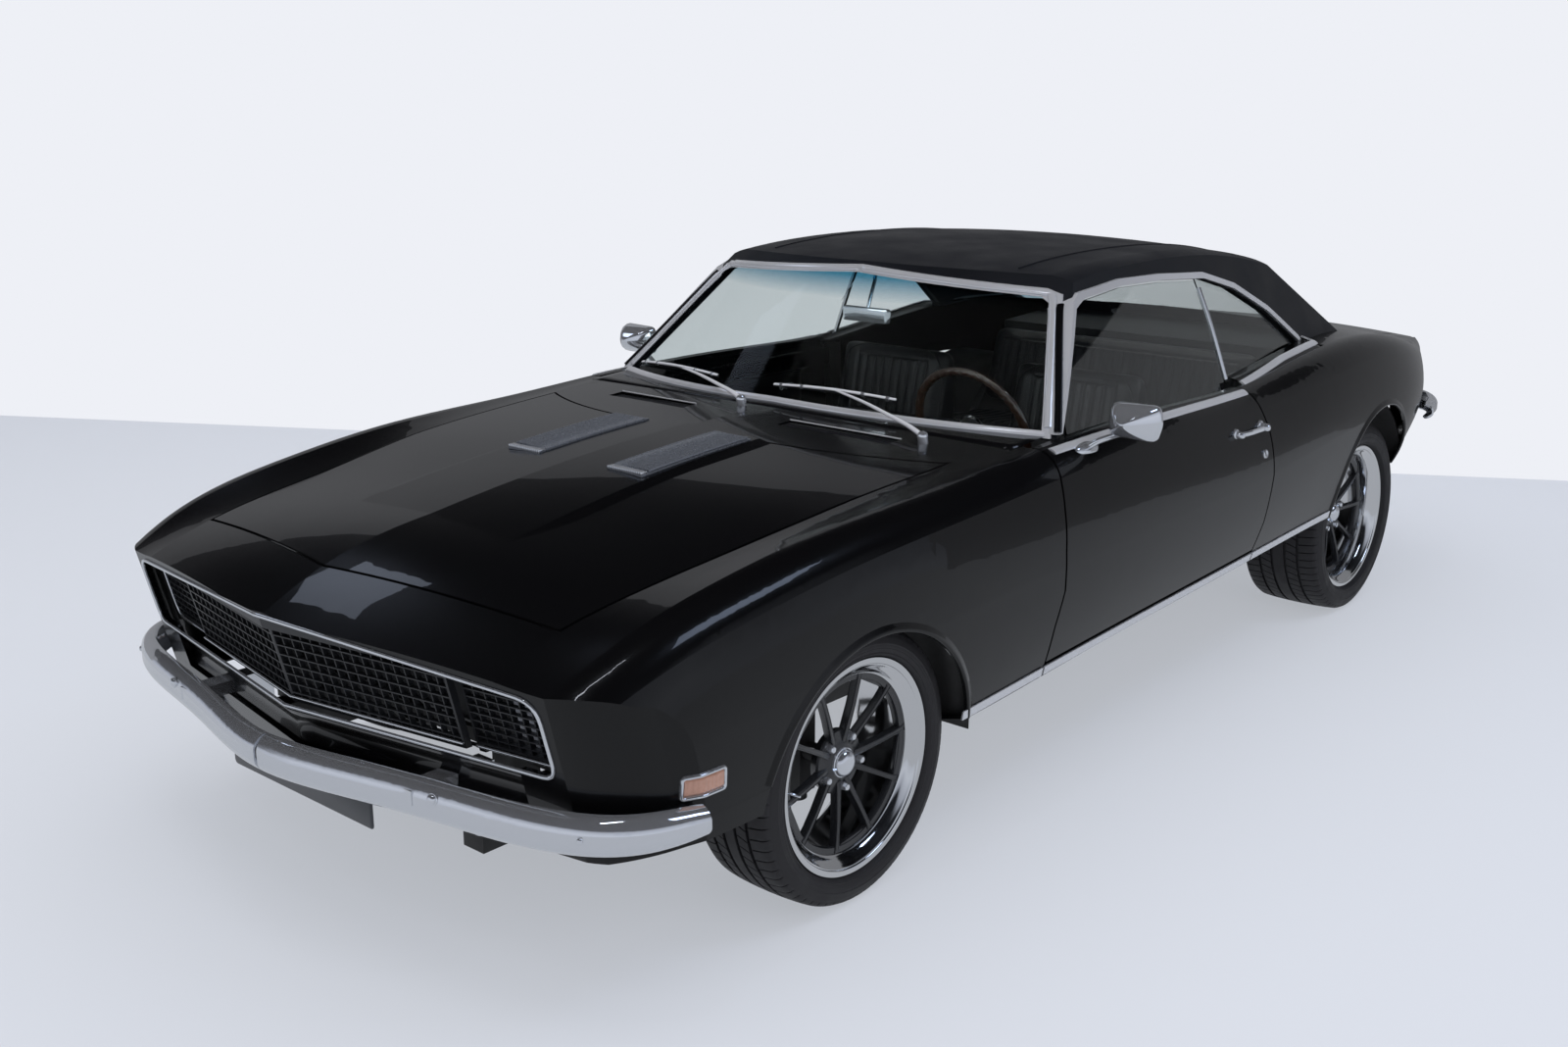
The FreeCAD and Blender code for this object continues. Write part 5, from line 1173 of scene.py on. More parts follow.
# ------------------------------------------------------------------ wheels
@dataclass
class Wheel:
    """One wheel's tyre and rim, shaped for the left side and mirrored to the right."""

    axle: str
    centre: Point
    radius: float
    width: float
    lip_half: float
    spoke_end: float
    phase: float
    block_count: int
    groove: float = 0.009
    tread_depth: float = 0.0065
    rim_radius: float = 0.246

    def crown(self, x: float) -> float:
        """The tread's radius at a distance from the middle plane."""
        return self.radius - 0.0045 * (x / (self.width / 2 - 0.020)) ** 2

    def tyre_profile(self) -> list[tuple[float, float]]:
        """The carcass between the blocks, from tread to bead."""
        w, r, rim = self.width / 2, self.radius, self.rim_radius
        tread = w - 0.022
        half = [(x, self.crown(x) - self.tread_depth) for x in (tread * k / 5 for k in range(6))]
        wall = [(w - 0.013, r - 0.0135), (w - 0.008, r - 0.019), (w - 0.0045, r - 0.027),
                (w - 0.0020, r - 0.036), (w - 0.0012, r - 0.0375), (w - 0.0012, r - 0.0390),
                (w - 0.0022, r - 0.0405), (w - 0.0016, r - 0.047), (w - 0.0022, r - 0.0485),
                (w - 0.0018, r - 0.050), (w - 0.0040, rim + 0.0150), (w - 0.0056, rim + 0.0115),
                (w - 0.0046, rim + 0.0090), (w - 0.0066, rim + 0.0060),
                (self.lip_half - 0.0008, rim + 0.0018), (self.lip_half - 0.0060, rim + 0.0006),
                (self.lip_half - 0.0110, rim - 0.0040), (self.lip_half - 0.0125, rim - 0.0150)]
        inner = [(self.lip_half - 0.026, rim - 0.0150), (self.lip_half - 0.028, rim + 0.010),
                 (w - 0.018, r - 0.045), (w - 0.030, r - 0.020), (0.0, r - 0.0155)]
        right = half + wall + inner
        left = [(-x, radius) for x, radius in right[1:-1]]
        return right + left[::-1]

    def block_row(self, name: str, xs: Sequence[float], drops: Sequence[float], slant: float
                  ) -> Piece:
        """One row of tread blocks, cut by slanted slits.

        Args:
            name: a name for the row.
            xs: distances across the row.
            drops: how far each lies under the crown.
            slant: shift along the tread across the row, metres.

        Returns:
            The row.
        """
        cx, cy, cz = self.centre
        pitch = 2 * math.pi / self.block_count
        slit = 0.0024 / self.radius
        points: list[Point] = []
        arcs = (-0.5, -0.5 + 0.04, -0.2, 0.2, 0.5 - 0.04, 0.5)
        for arc_no, arc in enumerate(arcs):
            for x, drop in zip(xs, drops):
                top = self.crown(x) - drop - (0.0008 if arc_no in (0, 5) else 0.0)
                lean = slant * (x - xs[0]) / (xs[-1] - xs[0]) / self.radius
                angle = arc * (pitch - slit) + lean
                for radius in (top, top - self.tread_depth - 0.0015):
                    points.append((cx + x, cy + radius * math.cos(angle), cz + radius
                        * math.sin(angle)))
        faces: list[tuple[int, ...]] = []
        wide = len(xs)

        def spot(i: int, k: int, low: int) -> int:
            """The number of a corner at arc i and place k, at the top (0) or the foot (1)."""
            return (i * wide + k) * 2 + low

        for i in range(len(arcs) - 1):
            for k in range(wide - 1):
                faces.append((spot(i, k, 0), spot(i + 1, k, 0), spot(i + 1, k + 1, 0),
                    spot(i, k + 1, 0)))
            faces.append((spot(i, 0, 0), spot(i, 0, 1), spot(i + 1, 0, 1), spot(i + 1, 0, 0)))
            faces.append((spot(i, wide - 1, 0), spot(i + 1, wide - 1, 0),
                          spot(i + 1, wide - 1, 1), spot(i, wide - 1, 1)))
            for k in range(wide - 1):
                faces.append((spot(i, k, 1), spot(i, k + 1, 1), spot(i + 1, k + 1, 1),
                    spot(i + 1, k, 1)))
        for i, order in ((0, 1), (len(arcs) - 1, -1)):
            for k in range(wide - 1):
                faces.append((spot(i, k, 0), spot(i, k + 1, 0), spot(i, k + 1, 1),
                    spot(i, k, 1))[::order])
        unit = mesh_object(name, points, faces, RUBBER)
        return Repeat(self.block_count, self.centre, turn=(pitch, 0, 0)).make(unit, RUBBER, name)

    def tyre(self) -> Piece:
        """Carcass, ribs, slit blocks and ribbed sidewalls."""
        label = f"{self.axle}_tyre"
        body = revolved(label + "_body", self.tyre_profile(), self.centre, RUBBER, 120)
        w = self.width / 2
        tread = w - 0.022
        g = self.groove / 2
        rows = []
        for sign in (1, -1):
            inner = [tread * 0.20 + g, tread * 0.38, tread * 0.58 - g]
            outer = [tread * 0.58 + g, tread * 0.80, tread, w - 0.0135, w - 0.0085]
            drops = [0, 0, 0.0006, 0.0045, 0.0125]
            rows.append(self.block_row(f"{label}_mid{sign}", [sign * x for x in inner], [0, 0, 0],
                                       0.012 * sign))
            rows.append(self.block_row(f"{label}_edge{sign}", [sign * x for x in outer], drops,
                                       -0.006 * sign))
        rib = [(-tread * 0.20 + g, self.crown(0.02) - self.tread_depth - 0.001),
               (-tread * 0.20 + g, self.crown(0.02)), (0, self.radius),
               (tread * 0.20 - g, self.crown(0.02)),
               (tread * 0.20 - g, self.crown(0.02) - self.tread_depth - 0.001)]
        rows.append(revolved(f"{label}_centre", rib, self.centre, RUBBER, 120))
        return joined(label, [body] + rows)

    def rim_profile(self) -> list[tuple[float, float]]:
        """Flange, flat lip, dished barrel, and the tyre side behind them."""
        lip, end = self.lip_half, self.spoke_end
        return [(lip - 0.010, 0.2458), (lip - 0.003, 0.2458), (lip - 0.0006, 0.2442),
            (lip, 0.2415), (lip - 0.0004, 0.2390), (lip - 0.0022, 0.2325), (lip - 0.0030, 0.2312),
            (lip - 0.0052, 0.2302), (lip - 0.0056, 0.2285), (lip - 0.0080, 0.2262),
            (lip - 0.0120, 0.2215), (lip - 0.0165, 0.2155), (lip - 0.0215, 0.2105),
            (lip - 0.027, 0.2070), (end + 0.001, 0.2040), (end - 0.020, 0.2020),
            (-lip + 0.045, 0.2020), (-lip + 0.030, 0.2060), (-lip + 0.016, 0.2230),
            (-lip + 0.004, 0.2330), (-lip, 0.2410), (-lip + 0.001, 0.2448), (-lip + 0.004, 0.2458),
            (-lip + 0.010, 0.2458), (-lip + 0.0125, 0.2320), (-lip + 0.034, 0.2285),
            (-lip + 0.050, 0.2080), (lip - 0.060, 0.2080), (lip - 0.034, 0.2140),
            (lip - 0.024, 0.2285), (lip - 0.0130, 0.2300)]

    def spoke(self, name: str, side: int) -> Piece:
        """One bar of a pair: a flat face with a bevel down each edge."""
        cx, cy, cz = self.centre
        end = self.spoke_end
        stations = ((0.046, 0.0125, end - 0.019, 0.0088), (0.060, 0.0165, end - 0.0165, 0.0082),
                    (0.090, 0.0255, end - 0.012, 0.0072), (0.130, 0.0380, end - 0.006, 0.0066),
                    (0.170, 0.0505, end - 0.002, 0.0064), (0.192, 0.0570, end - 0.0005, 0.0072),
                    (0.2025, 0.0600, end - 0.0005, 0.0105))
        section = ((-1.0, -0.020), (-1.0, -0.0045), (-0.86, -0.0010), (-0.52, 0.0),
            (-0.40, -0.0012), (0.40, -0.0012), (0.52, 0.0), (0.86, -0.0010), (1.0, -0.0045),
            (1.0, -0.020))
        points: list[Point] = []
        for radius, across, x, half in stations:
            reach = math.sqrt(max(radius ** 2 - across ** 2, 0.0))
            for t, rise in section:
                points.append((cx + x + rise, cy + reach, cz + side * across + t * half))
        faces = lattice(len(stations), len(section), True, capped=True)
        return mesh_object(name, points, faces, SPOKE_PAINT, 20.0)

    def rim(self) -> Piece:
        """Polished barrel and lip, paired spokes, hub, cap and nuts."""
        label = f"{self.axle}_rim"
        cx, cy, cz = self.centre
        end = self.spoke_end
        pieces = [revolved(label + "_barrel", self.rim_profile(), self.centre, POLISHED, 144)]
        pieces.append(revolved(label + "_ring", [(end - 0.022, 0.2035), (end - 0.022, 0.1890),
            (end - 0.008, 0.1880), (end - 0.004, 0.1900), (end - 0.0025, 0.2035)], self.centre,
            SPOKE_PAINT, 120))
        hub = end - 0.019
        pieces.append(
            turned(label + "_hub", [(hub - 0.030, 0.0), (hub - 0.030, 0.070),
            (hub - 0.012, 0.0745), (hub - 0.0065, 0.0720), (hub - 0.004, 0.0580),
            (hub - 0.001, 0.0440), (hub + 0.0015, 0.0400), (hub + 0.0015, 0.0)], SPOKE_PAINT, 80,
            self.centre))
        pieces.append(
            turned(label + "_cap", [(hub - 0.002, 0.0), (hub - 0.002, 0.0345),
            (hub + 0.004, 0.0345), (hub + 0.0062, 0.0335), (hub + 0.0070, 0.0315),
            (hub + 0.0105, 0.0305), (hub + 0.0165, 0.0275), (hub + 0.0210, 0.0215),
            (hub + 0.0235, 0.0135), (hub + 0.0245, 0.0050), (hub + 0.0246, 0.0)], CHROME, 64,
            self.centre, crease=50.0))
        star = Repeat(5, self.centre, (math.radians(self.phase), 0, 0), (2 * math.pi / 5, 0, 0))
        for side in (-1, 1):
            unit = self.spoke(f"{label}_bar{side}", side)
            pieces.append(star.make(unit, SPOKE_PAINT, f"{label}_bars{side}"))
        nut = turned(f"{label}_nut", [(hub - 0.008, 0.0), (hub - 0.008, 0.0105),
            (hub - 0.001, 0.0105), (hub + 0.001, 0.0092), (hub + 0.010, 0.0090),
            (hub + 0.0125, 0.0070), (hub + 0.0135, 0.0)], CHROME, 6, (cx, cy + 0.060, cz),
            crease=30.0)
        pieces.append(star.make(nut, CHROME, f"{label}_nuts"))
        web = box_mesh(f"{label}_web", (cx + end - 0.016, cy + 0.183, cz - 0.040),
                       (cx + end - 0.006, cy + 0.1925, cz + 0.040), SPOKE_PAINT, 0.002)
        pieces.append(star.make(web, SPOKE_PAINT, f"{label}_webs"))
        valve = turned(f"{label}_valve", [(end + 0.002, 0.0), (end + 0.002, 0.0035),
            (end + 0.018, 0.0030), (end + 0.030, 0.0024), (end + 0.031, 0.0)], CHROME, 10,
            (cx, cy - 0.197, cz))
        pieces.append(valve)
        return joined(label, pieces)

    def build(self) -> None:
        """Make both sides' tyre and rim."""
        for kind, slot in (("tyre", "tyre"), ("rim", "wheel_alloy")):
            left = self.tyre() if kind == "tyre" else self.rim()
            left.name = f"left_{self.axle}_{kind}_shaped"
            right = mirrored(left, f"right_{self.axle}_{kind}_shaped")
            for word, piece in (("left", left), ("right", right)):
                PARTS.put(piece, f"{self.axle}_{word}_wheel", slot, f"{self.axle}_{word}_{kind}")


class Wheels:
    """All four wheels: narrower at the front, wider and deeper dished at the rear."""

    def build(self) -> None:
        """Make them."""
        for axle, lip_half, spoke_end, phase, blocks in (
                ("front", 0.099, 0.0695, -10.7, 70), ("rear", 0.119, 0.0620, 17.5, 72)):
            low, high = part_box(f"{axle}_left_tyre")
            middle = tuple((a + b) / 2 for a, b in zip(low, high))
            Wheel(axle, middle, (high[2] - low[2]) / 2, high[0] - low[0], lip_half, spoke_end,
                  phase, blocks).build()


# ------------------------------------------------------------------ nose
@dataclass
class Nose:
    """Bright lines round the grille, lamp-door frames, apron, bumper fittings and number plate."""

    tip_y: float = -2.316
    lean: float = 0.25
    sweep: float = 0.163
    half: float = 0.716
    low: float = 0.497
    top: float = 0.6995
    split: float = 0.476

    def at(self, x: float, z: float, setback: float = 0.0) -> Vector:
        """A place on the nose's leaning front plane."""
        return Vector((x, self.tip_y + (0.700 - z) * self.lean + self.sweep * abs(x) + setback, z))

    def both(self, half: Sequence[Vector]) -> list[Vector]:
        """A left-hand line joined to its mirror image, which starts at the middle."""
        return [Vector((-p.x, p.y, p.z)) for p in half[:0:-1]] + list(half)

    def outline(self, grow: float, setback: float) -> list[Vector]:
        """The opening's edge, as a closed line."""
        half, low, top = self.half + grow, self.low - grow, self.top + grow
        corner = rounded([(0.0, top + 0.004, 0), (half - 0.004, top - 0.0425, 0.050),
                          (half, low, 0.034), (0.0, low, 0)], 8)
        return [self.at(u, v, setback) for u, v in corner]

    def build(self) -> None:
        """Make every piece of the nose."""
        self.bright_lines()
        self.lamp_frames()
        self.apron()
        self.bolts()
        self.number_plate()
        self.park_lamps()

    def bright_lines(self) -> None:
        """Bright bead round the opening and a finer one round the fixed grille."""
        ring = self.outline(0.003, -0.0015)
        closed = ring + [Vector((-p.x, p.y, p.z)) for p in ring[-2:0:-1]]
        outer = Bead(0.0042, 10, True).make(evenly(closed, 0.012, True), CHROME, "opening_bead")
        PARTS.put(outer, Body.CAR, "chrome")
        for name, z0, z1 in (("lower", self.low + 0.013, self.low + 0.013),
                             ("upper", self.top - 0.004, self.top - 0.030)):
            line = [self.at(0.0, z0, 0.0165), self.at(self.split, z1, 0.0165)]
            bead = Bead(0.0030, 8).make(self.both(line), CHROME, f"grille_{name}_bead")
            PARTS.put(bead, Body.CAR, "chrome")

    def lamp_frames(self) -> None:
        """A bright frame round the outer side of each sliding lamp door."""
        low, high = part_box("left_headlamp_door")
        x0, x1, z0, z1 = low[0], high[0] - 0.003, low[2] + 0.012, high[2] - 0.004
        corner = rounded([(x0, z1, 0), (x1, z1 - 0.010, 0.040), (x1, z0, 0.034), (x0, z0, 0)], 8)
        path = [self.at(u, v, 0.040) for u, v in corner]
        left = Bead(0.0032, 8).make(evenly(path, 0.012), CHROME, "left_lamp_door_frame")
        PARTS.put(left, Body.LEFT_LAMP_DOOR, "chrome")
        PARTS.put(mirrored(left, "right_lamp_door_frame"), Body.RIGHT_LAMP_DOOR, "chrome")

    def apron(self) -> None:
        """The painted filler below the grille, folded back over the bumper's arms."""
        section = ((-0.001, self.low - 0.004), (0.0005, self.low - 0.014),
            (0.004, self.low - 0.022), (0.012, self.low - 0.034), (0.020, self.low - 0.046),
            (0.022, self.low - 0.064), (0.018, self.low - 0.080), (0.012, 0.402), (0.010, 0.3948))
        stations = [0.665 * k / 24 for k in range(-24, 25)]
        points = [tuple(self.at(x, z, s)) for x in stations for s, z in section]
        faces = lattice(len(stations), len(section))
        sheet = mesh_object("grille_apron", points, faces, PAINT)
        PARTS.put(thickened(sheet, 0.0012), Body.CAR, "paint")

    def bolts(self) -> None:
        """Domed bumper bolts on the blade's upper face."""
        skin = Skin("front_bumper")
        heads = []
        for x in (-0.480, 0.480, -0.800, 0.800):
            size = 1.0 if abs(x) < 0.6 else 0.62
            hit = skin.ray((x, -3.0, 0.72), (0, 0.90, -0.36 if abs(x) < 0.6 else -0.34))
            if hit:
                heads.append(self.bolt_head(hit[0], hit[1], size))
        PARTS.put(joined("bumper_bolts", heads), Body.CAR, "chrome")

    def bolt_head(self, spot: Vector, way: Vector, size: float = 1.0) -> Piece:
        """One domed head with its washer, set square on a surface."""
        head = turned("bolt", [(-0.003, 0.0), (-0.003, 0.0135), (0.0012, 0.0135), (0.0020, 0.0125),
            (0.0022, 0.0105), (0.0050, 0.0100), (0.0078, 0.0078), (0.0092, 0.0040), (0.0095, 0.0)],
            CHROME, 24, crease=50.0)
        head.data.transform(Matrix.Scale(size, 4))
        return placed(head, frame_at(spot, way, (0, 0, 1) if abs(way.z) < 0.9 else (0, 1, 0)))

    def number_plate(self) -> None:
        """A blank dark plate under the blade, with its two fixing screws."""
        y = -2.2465
        outline = rounded([(-0.26, 0.284, 0.010), (0.26, 0.284, 0.010), (0.26, 0.394, 0.010),
                           (-0.26, 0.394, 0.010)], 5)
        count = len(outline)
        rim = [(u, y, v) for u, v in outline]
        shrink = [(u * 0.988, y - 0.0022, 0.339 + (v - 0.339) * 0.945) for u, v in outline]
        back = [(u, y + 0.0015, v) for u, v in outline]
        faces = [tuple(range(count, 2 * count)), tuple(range(2 * count, 3 * count))]
        for a, b in ((0, count), (0, 2 * count)):
            faces += [(a + k, a + (k + 1) % count, b + (k + 1) % count, b + k)
                for k in range(count)]
        plate = mesh_object("plate", rim + shrink + back, faces, PLATE)
        screws = [self.bolt_head(Vector((x, y - 0.002, 0.362)), Vector((0, -1, 0)), 0.5)
                  for x in (-0.17, 0.17)]
        PARTS.put(joined("number_plate_blank", [plate] + screws), Body.CAR, "chassis_black")

    def park_lamps(self) -> None:
        """Round parking lamps set in the lower valance."""
        skin = Skin("front_valance")
        for side in Side:
            hit = skin.ray((side.value * 0.47, -3.0, 0.335), (0, 1, 0))
            if not hit:
                continue
            bezel = revolved("bezel", [(-0.004, 0.034), (0.004, 0.0335), (0.007, 0.0310),
                (0.005, 0.0285), (-0.004, 0.0275)], (0, 0, 0), CHROME, 40)
            lens = turned("lens", [(-0.003, 0.0), (-0.003, 0.0278), (0.0020, 0.0275),
                (0.0055, 0.0200), (0.0070, 0.0100), (0.0072, 0.0)], CLEAR_LENS, 40)
            lamp = joined(f"{side.word}_parking_lamp", [bezel, lens])
            placed(lamp, frame_at(hit[0], hit[1], (0, 0, 1)))
            PARTS.put(lamp, Body.CAR, "lamp_glass")


# ------------------------------------------------------------------ flanks
@dataclass
class Flanks:
    """Side markers, wheel-arch lips, door locks and the like, laid on the skin."""

    front_wheel_y: float = -1.4135
    rear_wheel_y: float = 1.3295
    front_arch: tuple[float, float] = (0.355, 0.272)
    rear_arch: tuple[float, float] = (0.355, 0.362)

    def build(self) -> None:
        """Make them for both sides."""
        self.markers()
        self.arch_lips()
        self.locks()

    def frame_on_skin(self, name: str, skin: Skin, outline: Pairs,
                      width: float, height: float, finish: Finish) -> Piece:
        """A closed half-round strip laid along an outline on the left side.

        Args:
            name: the object's name.
            skin: the surface.
            outline: (y, z) points.
            width: the strip's width.
            height: how far it stands proud.
            finish: its finish.

        Returns:
            The strip.
        """
        path, ups = skin.line((skin.side(y, z) for y, z in outline))
        return swept(name, path, half_round(width, height), ups, finish, closed=True)

    def lens_on_skin(self, name: str, skin: Skin, low: tuple[float, float],
            high: tuple[float, float], lift: float, finish: Finish, ribs: int) -> Piece:
        """A lens with upright flutes, laid on the left side."""
        wide, tall = 4 * ribs, 6
        points: list[Vector] = []
        for i in range(wide + 1):
            for k in range(tall + 1):
                y = low[0] + (high[0] - low[0]) * i / wide
                z = low[1] + (high[1] - low[1]) * k / tall
                hit = skin.side(y, z)
                edge = i in (0, wide) or k in (0, tall)
                flute = 0.0 if edge else 0.0008 * math.cos(2 * math.pi * i / 4)
                spot, normal = hit if hit else (Vector((0.88, y, z)), Vector((1, 0, 0)))
                points.append(spot + normal * (-0.001 if edge else lift + flute))
        side = tall + 1
        faces = lattice(wide + 1, side)
        faces.append(tuple(border(wide + 1, side)))
        return mesh_object(name, points, faces, finish, 40.0)

    def markers(self) -> None:
        """Amber lamps behind the bumper's ends and red ones in the quarters, in bright bezels."""
        places = (("front", "front_fenders", -1.977, -1.881, 0.443, 0.487, AMBER, "lamp_glass"),
                  ("rear", "quarter_panels", 1.930, 2.022, 0.500, 0.540, RED_LENS, "red_lens"))
        for word, node, y0, y1, z0, z1, finish, slot in places:
            skin = Skin(node)
            outline = rounded([(y0, z0, 0.004), (y1, z0, 0.004),
                               (y1, z1, 0.004), (y0, z1, 0.004)], 3)
            path = [(p.x, p.y) for p in evenly([Vector((y, z, 0)) for y, z in outline], 0.006,
                True)]
            bezel = self.frame_on_skin("bezel", skin, path, 0.0085, 0.0065, CHROME)
            lens = self.lens_on_skin("lens", skin, (y0 + 0.002, z0 + 0.002),
                (y1 - 0.002, z1 - 0.002), 0.0042, finish, 9)
            left = joined(f"left_{word}_marker", [bezel, lens])
            for piece in (left, mirrored(left, f"right_{word}_marker")):
                PARTS.put(piece, Body.CAR, slot)

    def arch_lips(self) -> None:
        """A rolled lip round each wheel opening."""
        arches = (("front", Skin("front_fenders"), self.front_wheel_y, *self.front_arch),
                  ("rear", Skin("quarter_panels"), self.rear_wheel_y, *self.rear_arch))
        for word, skin, y, radius, z in arches:
            hits = []
            reach = radius + 0.0075
            for k in range(141):
                angle = math.radians(-20 + 220 * k / 140)
                spot = (y + reach * math.cos(angle), z + reach * math.sin(angle))
                if spot[1] < 0.330:
                    continue
                hit = skin.side(*spot)
                if hit and hit[0].x > 0.70 and hit[1].x > 0.5:
                    hits.append(hit)
            if len(hits) < 20:
                LOG.warning("no %s arch", word)
                continue
            path, ups = skin.line(hits)
            lip = [(0.0075, -0.004), (0.0078, 0.0010), (0.0062, 0.0040), (0.0030, 0.0056),
                   (-0.0010, 0.0052), (-0.0060, 0.0030), (-0.0120, 0.0008), (-0.0170, -0.0012),
                   (-0.0170, -0.004)]
            piece = swept(f"left_{word}_arch_lip", path, lip, ups, PAINT)
            if self.lip_faces_wrong(piece, y, z):
                bpy.data.objects.remove(piece)
                piece = swept(f"left_{word}_arch_lip", path, [(-a, b) for a, b in lip], ups, PAINT)
            PARTS.put(piece, Body.CAR, "paint")
            PARTS.put(mirrored(piece, f"right_{word}_arch_lip"), Body.CAR, "paint")

    @staticmethod
    def lip_faces_wrong(piece: Piece, y: float, z: float) -> bool:
        """Whether the lip's high edge lies away from the opening."""
        ring = [v.co for v in piece.data.vertices[:9]]
        near = (Vector((0, ring[2].y, ring[2].z)) - Vector((0, y, z))).length
        far = (Vector((0, ring[6].y, ring[6].z)) - Vector((0, y, z))).length
        return near > far

    def locks(self) -> None:
        """A round key lock below each door handle."""
        for side in Side:
            hit = Skin(f"{side.word}_door").side(0.402, 0.713, side.value)
            if not hit:
                continue
            barrel = turned(f"{side.word}_door_lock",
                [(-0.002, 0.0), (-0.002, 0.0125), (0.0025, 0.0125), (0.0042, 0.0112),
                (0.0042, 0.0085), (0.0030, 0.0078), (0.0030, 0.0)], CHROME, 32)
            slit = box_mesh("slit", (0.0028, -0.0012, -0.0045), (0.0034, 0.0012, 0.0045), SEAL)
            lock = joined(f"{side.word}_door_lock", [barrel, slit])
            placed(lock, frame_at(hit[0], hit[1], (0, 0, 1)))
            PARTS.put(lock, side.door, "chrome")


# ------------------------------------------------------------------ cabin, outside
@dataclass
class Glasshouse:
    """Bright strips, window shoulders, divider and the vinyl roof's seams."""

    belt: tuple[float, float] = (-0.630, 0.432)
    kick: tuple[float, float] = (0.452, 1.330)
    belt_x: float = 0.826
    belt_z: float = 0.884

    def build(self) -> None:
        """Make them."""
        self.belt_strips()
        self.shoulders()
        self.divider()
        self.roof_seams()

    def belt_strips(self) -> None:
        """Bright strip along each door's window sill, on the door's own skin."""
        for side in Side:
            door = Skin(f"{side.word}_door")
            start, end = self.belt
            spots = [start + (end - start) * k / 54 for k in range(55)]
            path, ups = door.line(
                (door.ray((side.value * (self.belt_x + 0.3), y, self.belt_z + 0.3),
                (-side.value, 0, -1)) for y in spots))
            lay(f"{side.word}_door_belt_strip", path, ups, (0.026, 0.005), STAINLESS, side.door)

    def shoulders(self) -> None:
        """Painted sill that closes the quarter window's foot, and the bright strip on its edge."""
        quarter = Skin("quarter_panels")
        for side in Side:
            start, end = self.kick
            edges: list[Vector] = []
            for k in range(67):
                y = start + (end - start) * k / 66
                last: Optional[Vector] = None
                for step in range(110):
                    hit = quarter.top(side.value * (0.860 - 0.002 * step), y)
                    if not hit or (last and hit[0].z < last.z - 0.012):
                        break
                    last = hit[0]
                if last:
                    edges.append(last)
            smooth = softened(edges)
            offsets = ((0.010, -0.004), (-0.002, 0.001), (-0.020, 0.010), (-0.060, 0.018))
            points = [p + Vector((side.value * dx, 0, dz)) for p in smooth for dx, dz in offsets]
            sill = mesh_object(f"{side.word}_window_shoulder", points, lattice(len(smooth), 4),
                               PAINT, 70.0)
            PARTS.put(thickened(sill, 0.002), Body.CAR, "paint")
            up = Vector((side.value * 0.62, 0, 0.78))
            eased = [min(k / 24, 1) for k in range(len(smooth))]
            strip = [p + Vector((-side.value * 0.020 * e, 0, 0.0015 + 0.0105 * e))
                     for p, e in zip(smooth, eased)]
            lay(f"{side.word}_quarter_belt_strip", strip, up, (0.024, 0.005),
                STAINLESS)

    def divider(self) -> None:
        """The bright upright between door glass and quarter glass, on the quarter glass's edge."""
        for side in Side:
            glass = Skin("quarter_windows")
            path, ups = glass.line((glass.side(0.4535, z, side.value)
                                    for z in [0.905 + 0.262 * k / 20 for k in range(21)]))
            lay(f"{side.word}_window_divider", path, ups, (0.013, 0.006, 0.004), CHROME)

    def roof_seams(self) -> None:
        """Two welted seams that run the length of the vinyl."""
        skin = Skin("roof")
        for side in Side:
            hits = [skin.top(side.value * 0.440, -0.215 + 1.44 * k / 60) for k in range(61)]
            path, _ = skin.line(hits, 0.0006)
            PARTS.put(Bead(0.0024, 8).make(path, ROOF_VINYL, f"{side.word}_roof_welt"), Body.CAR,
                      "vinyl_roof")


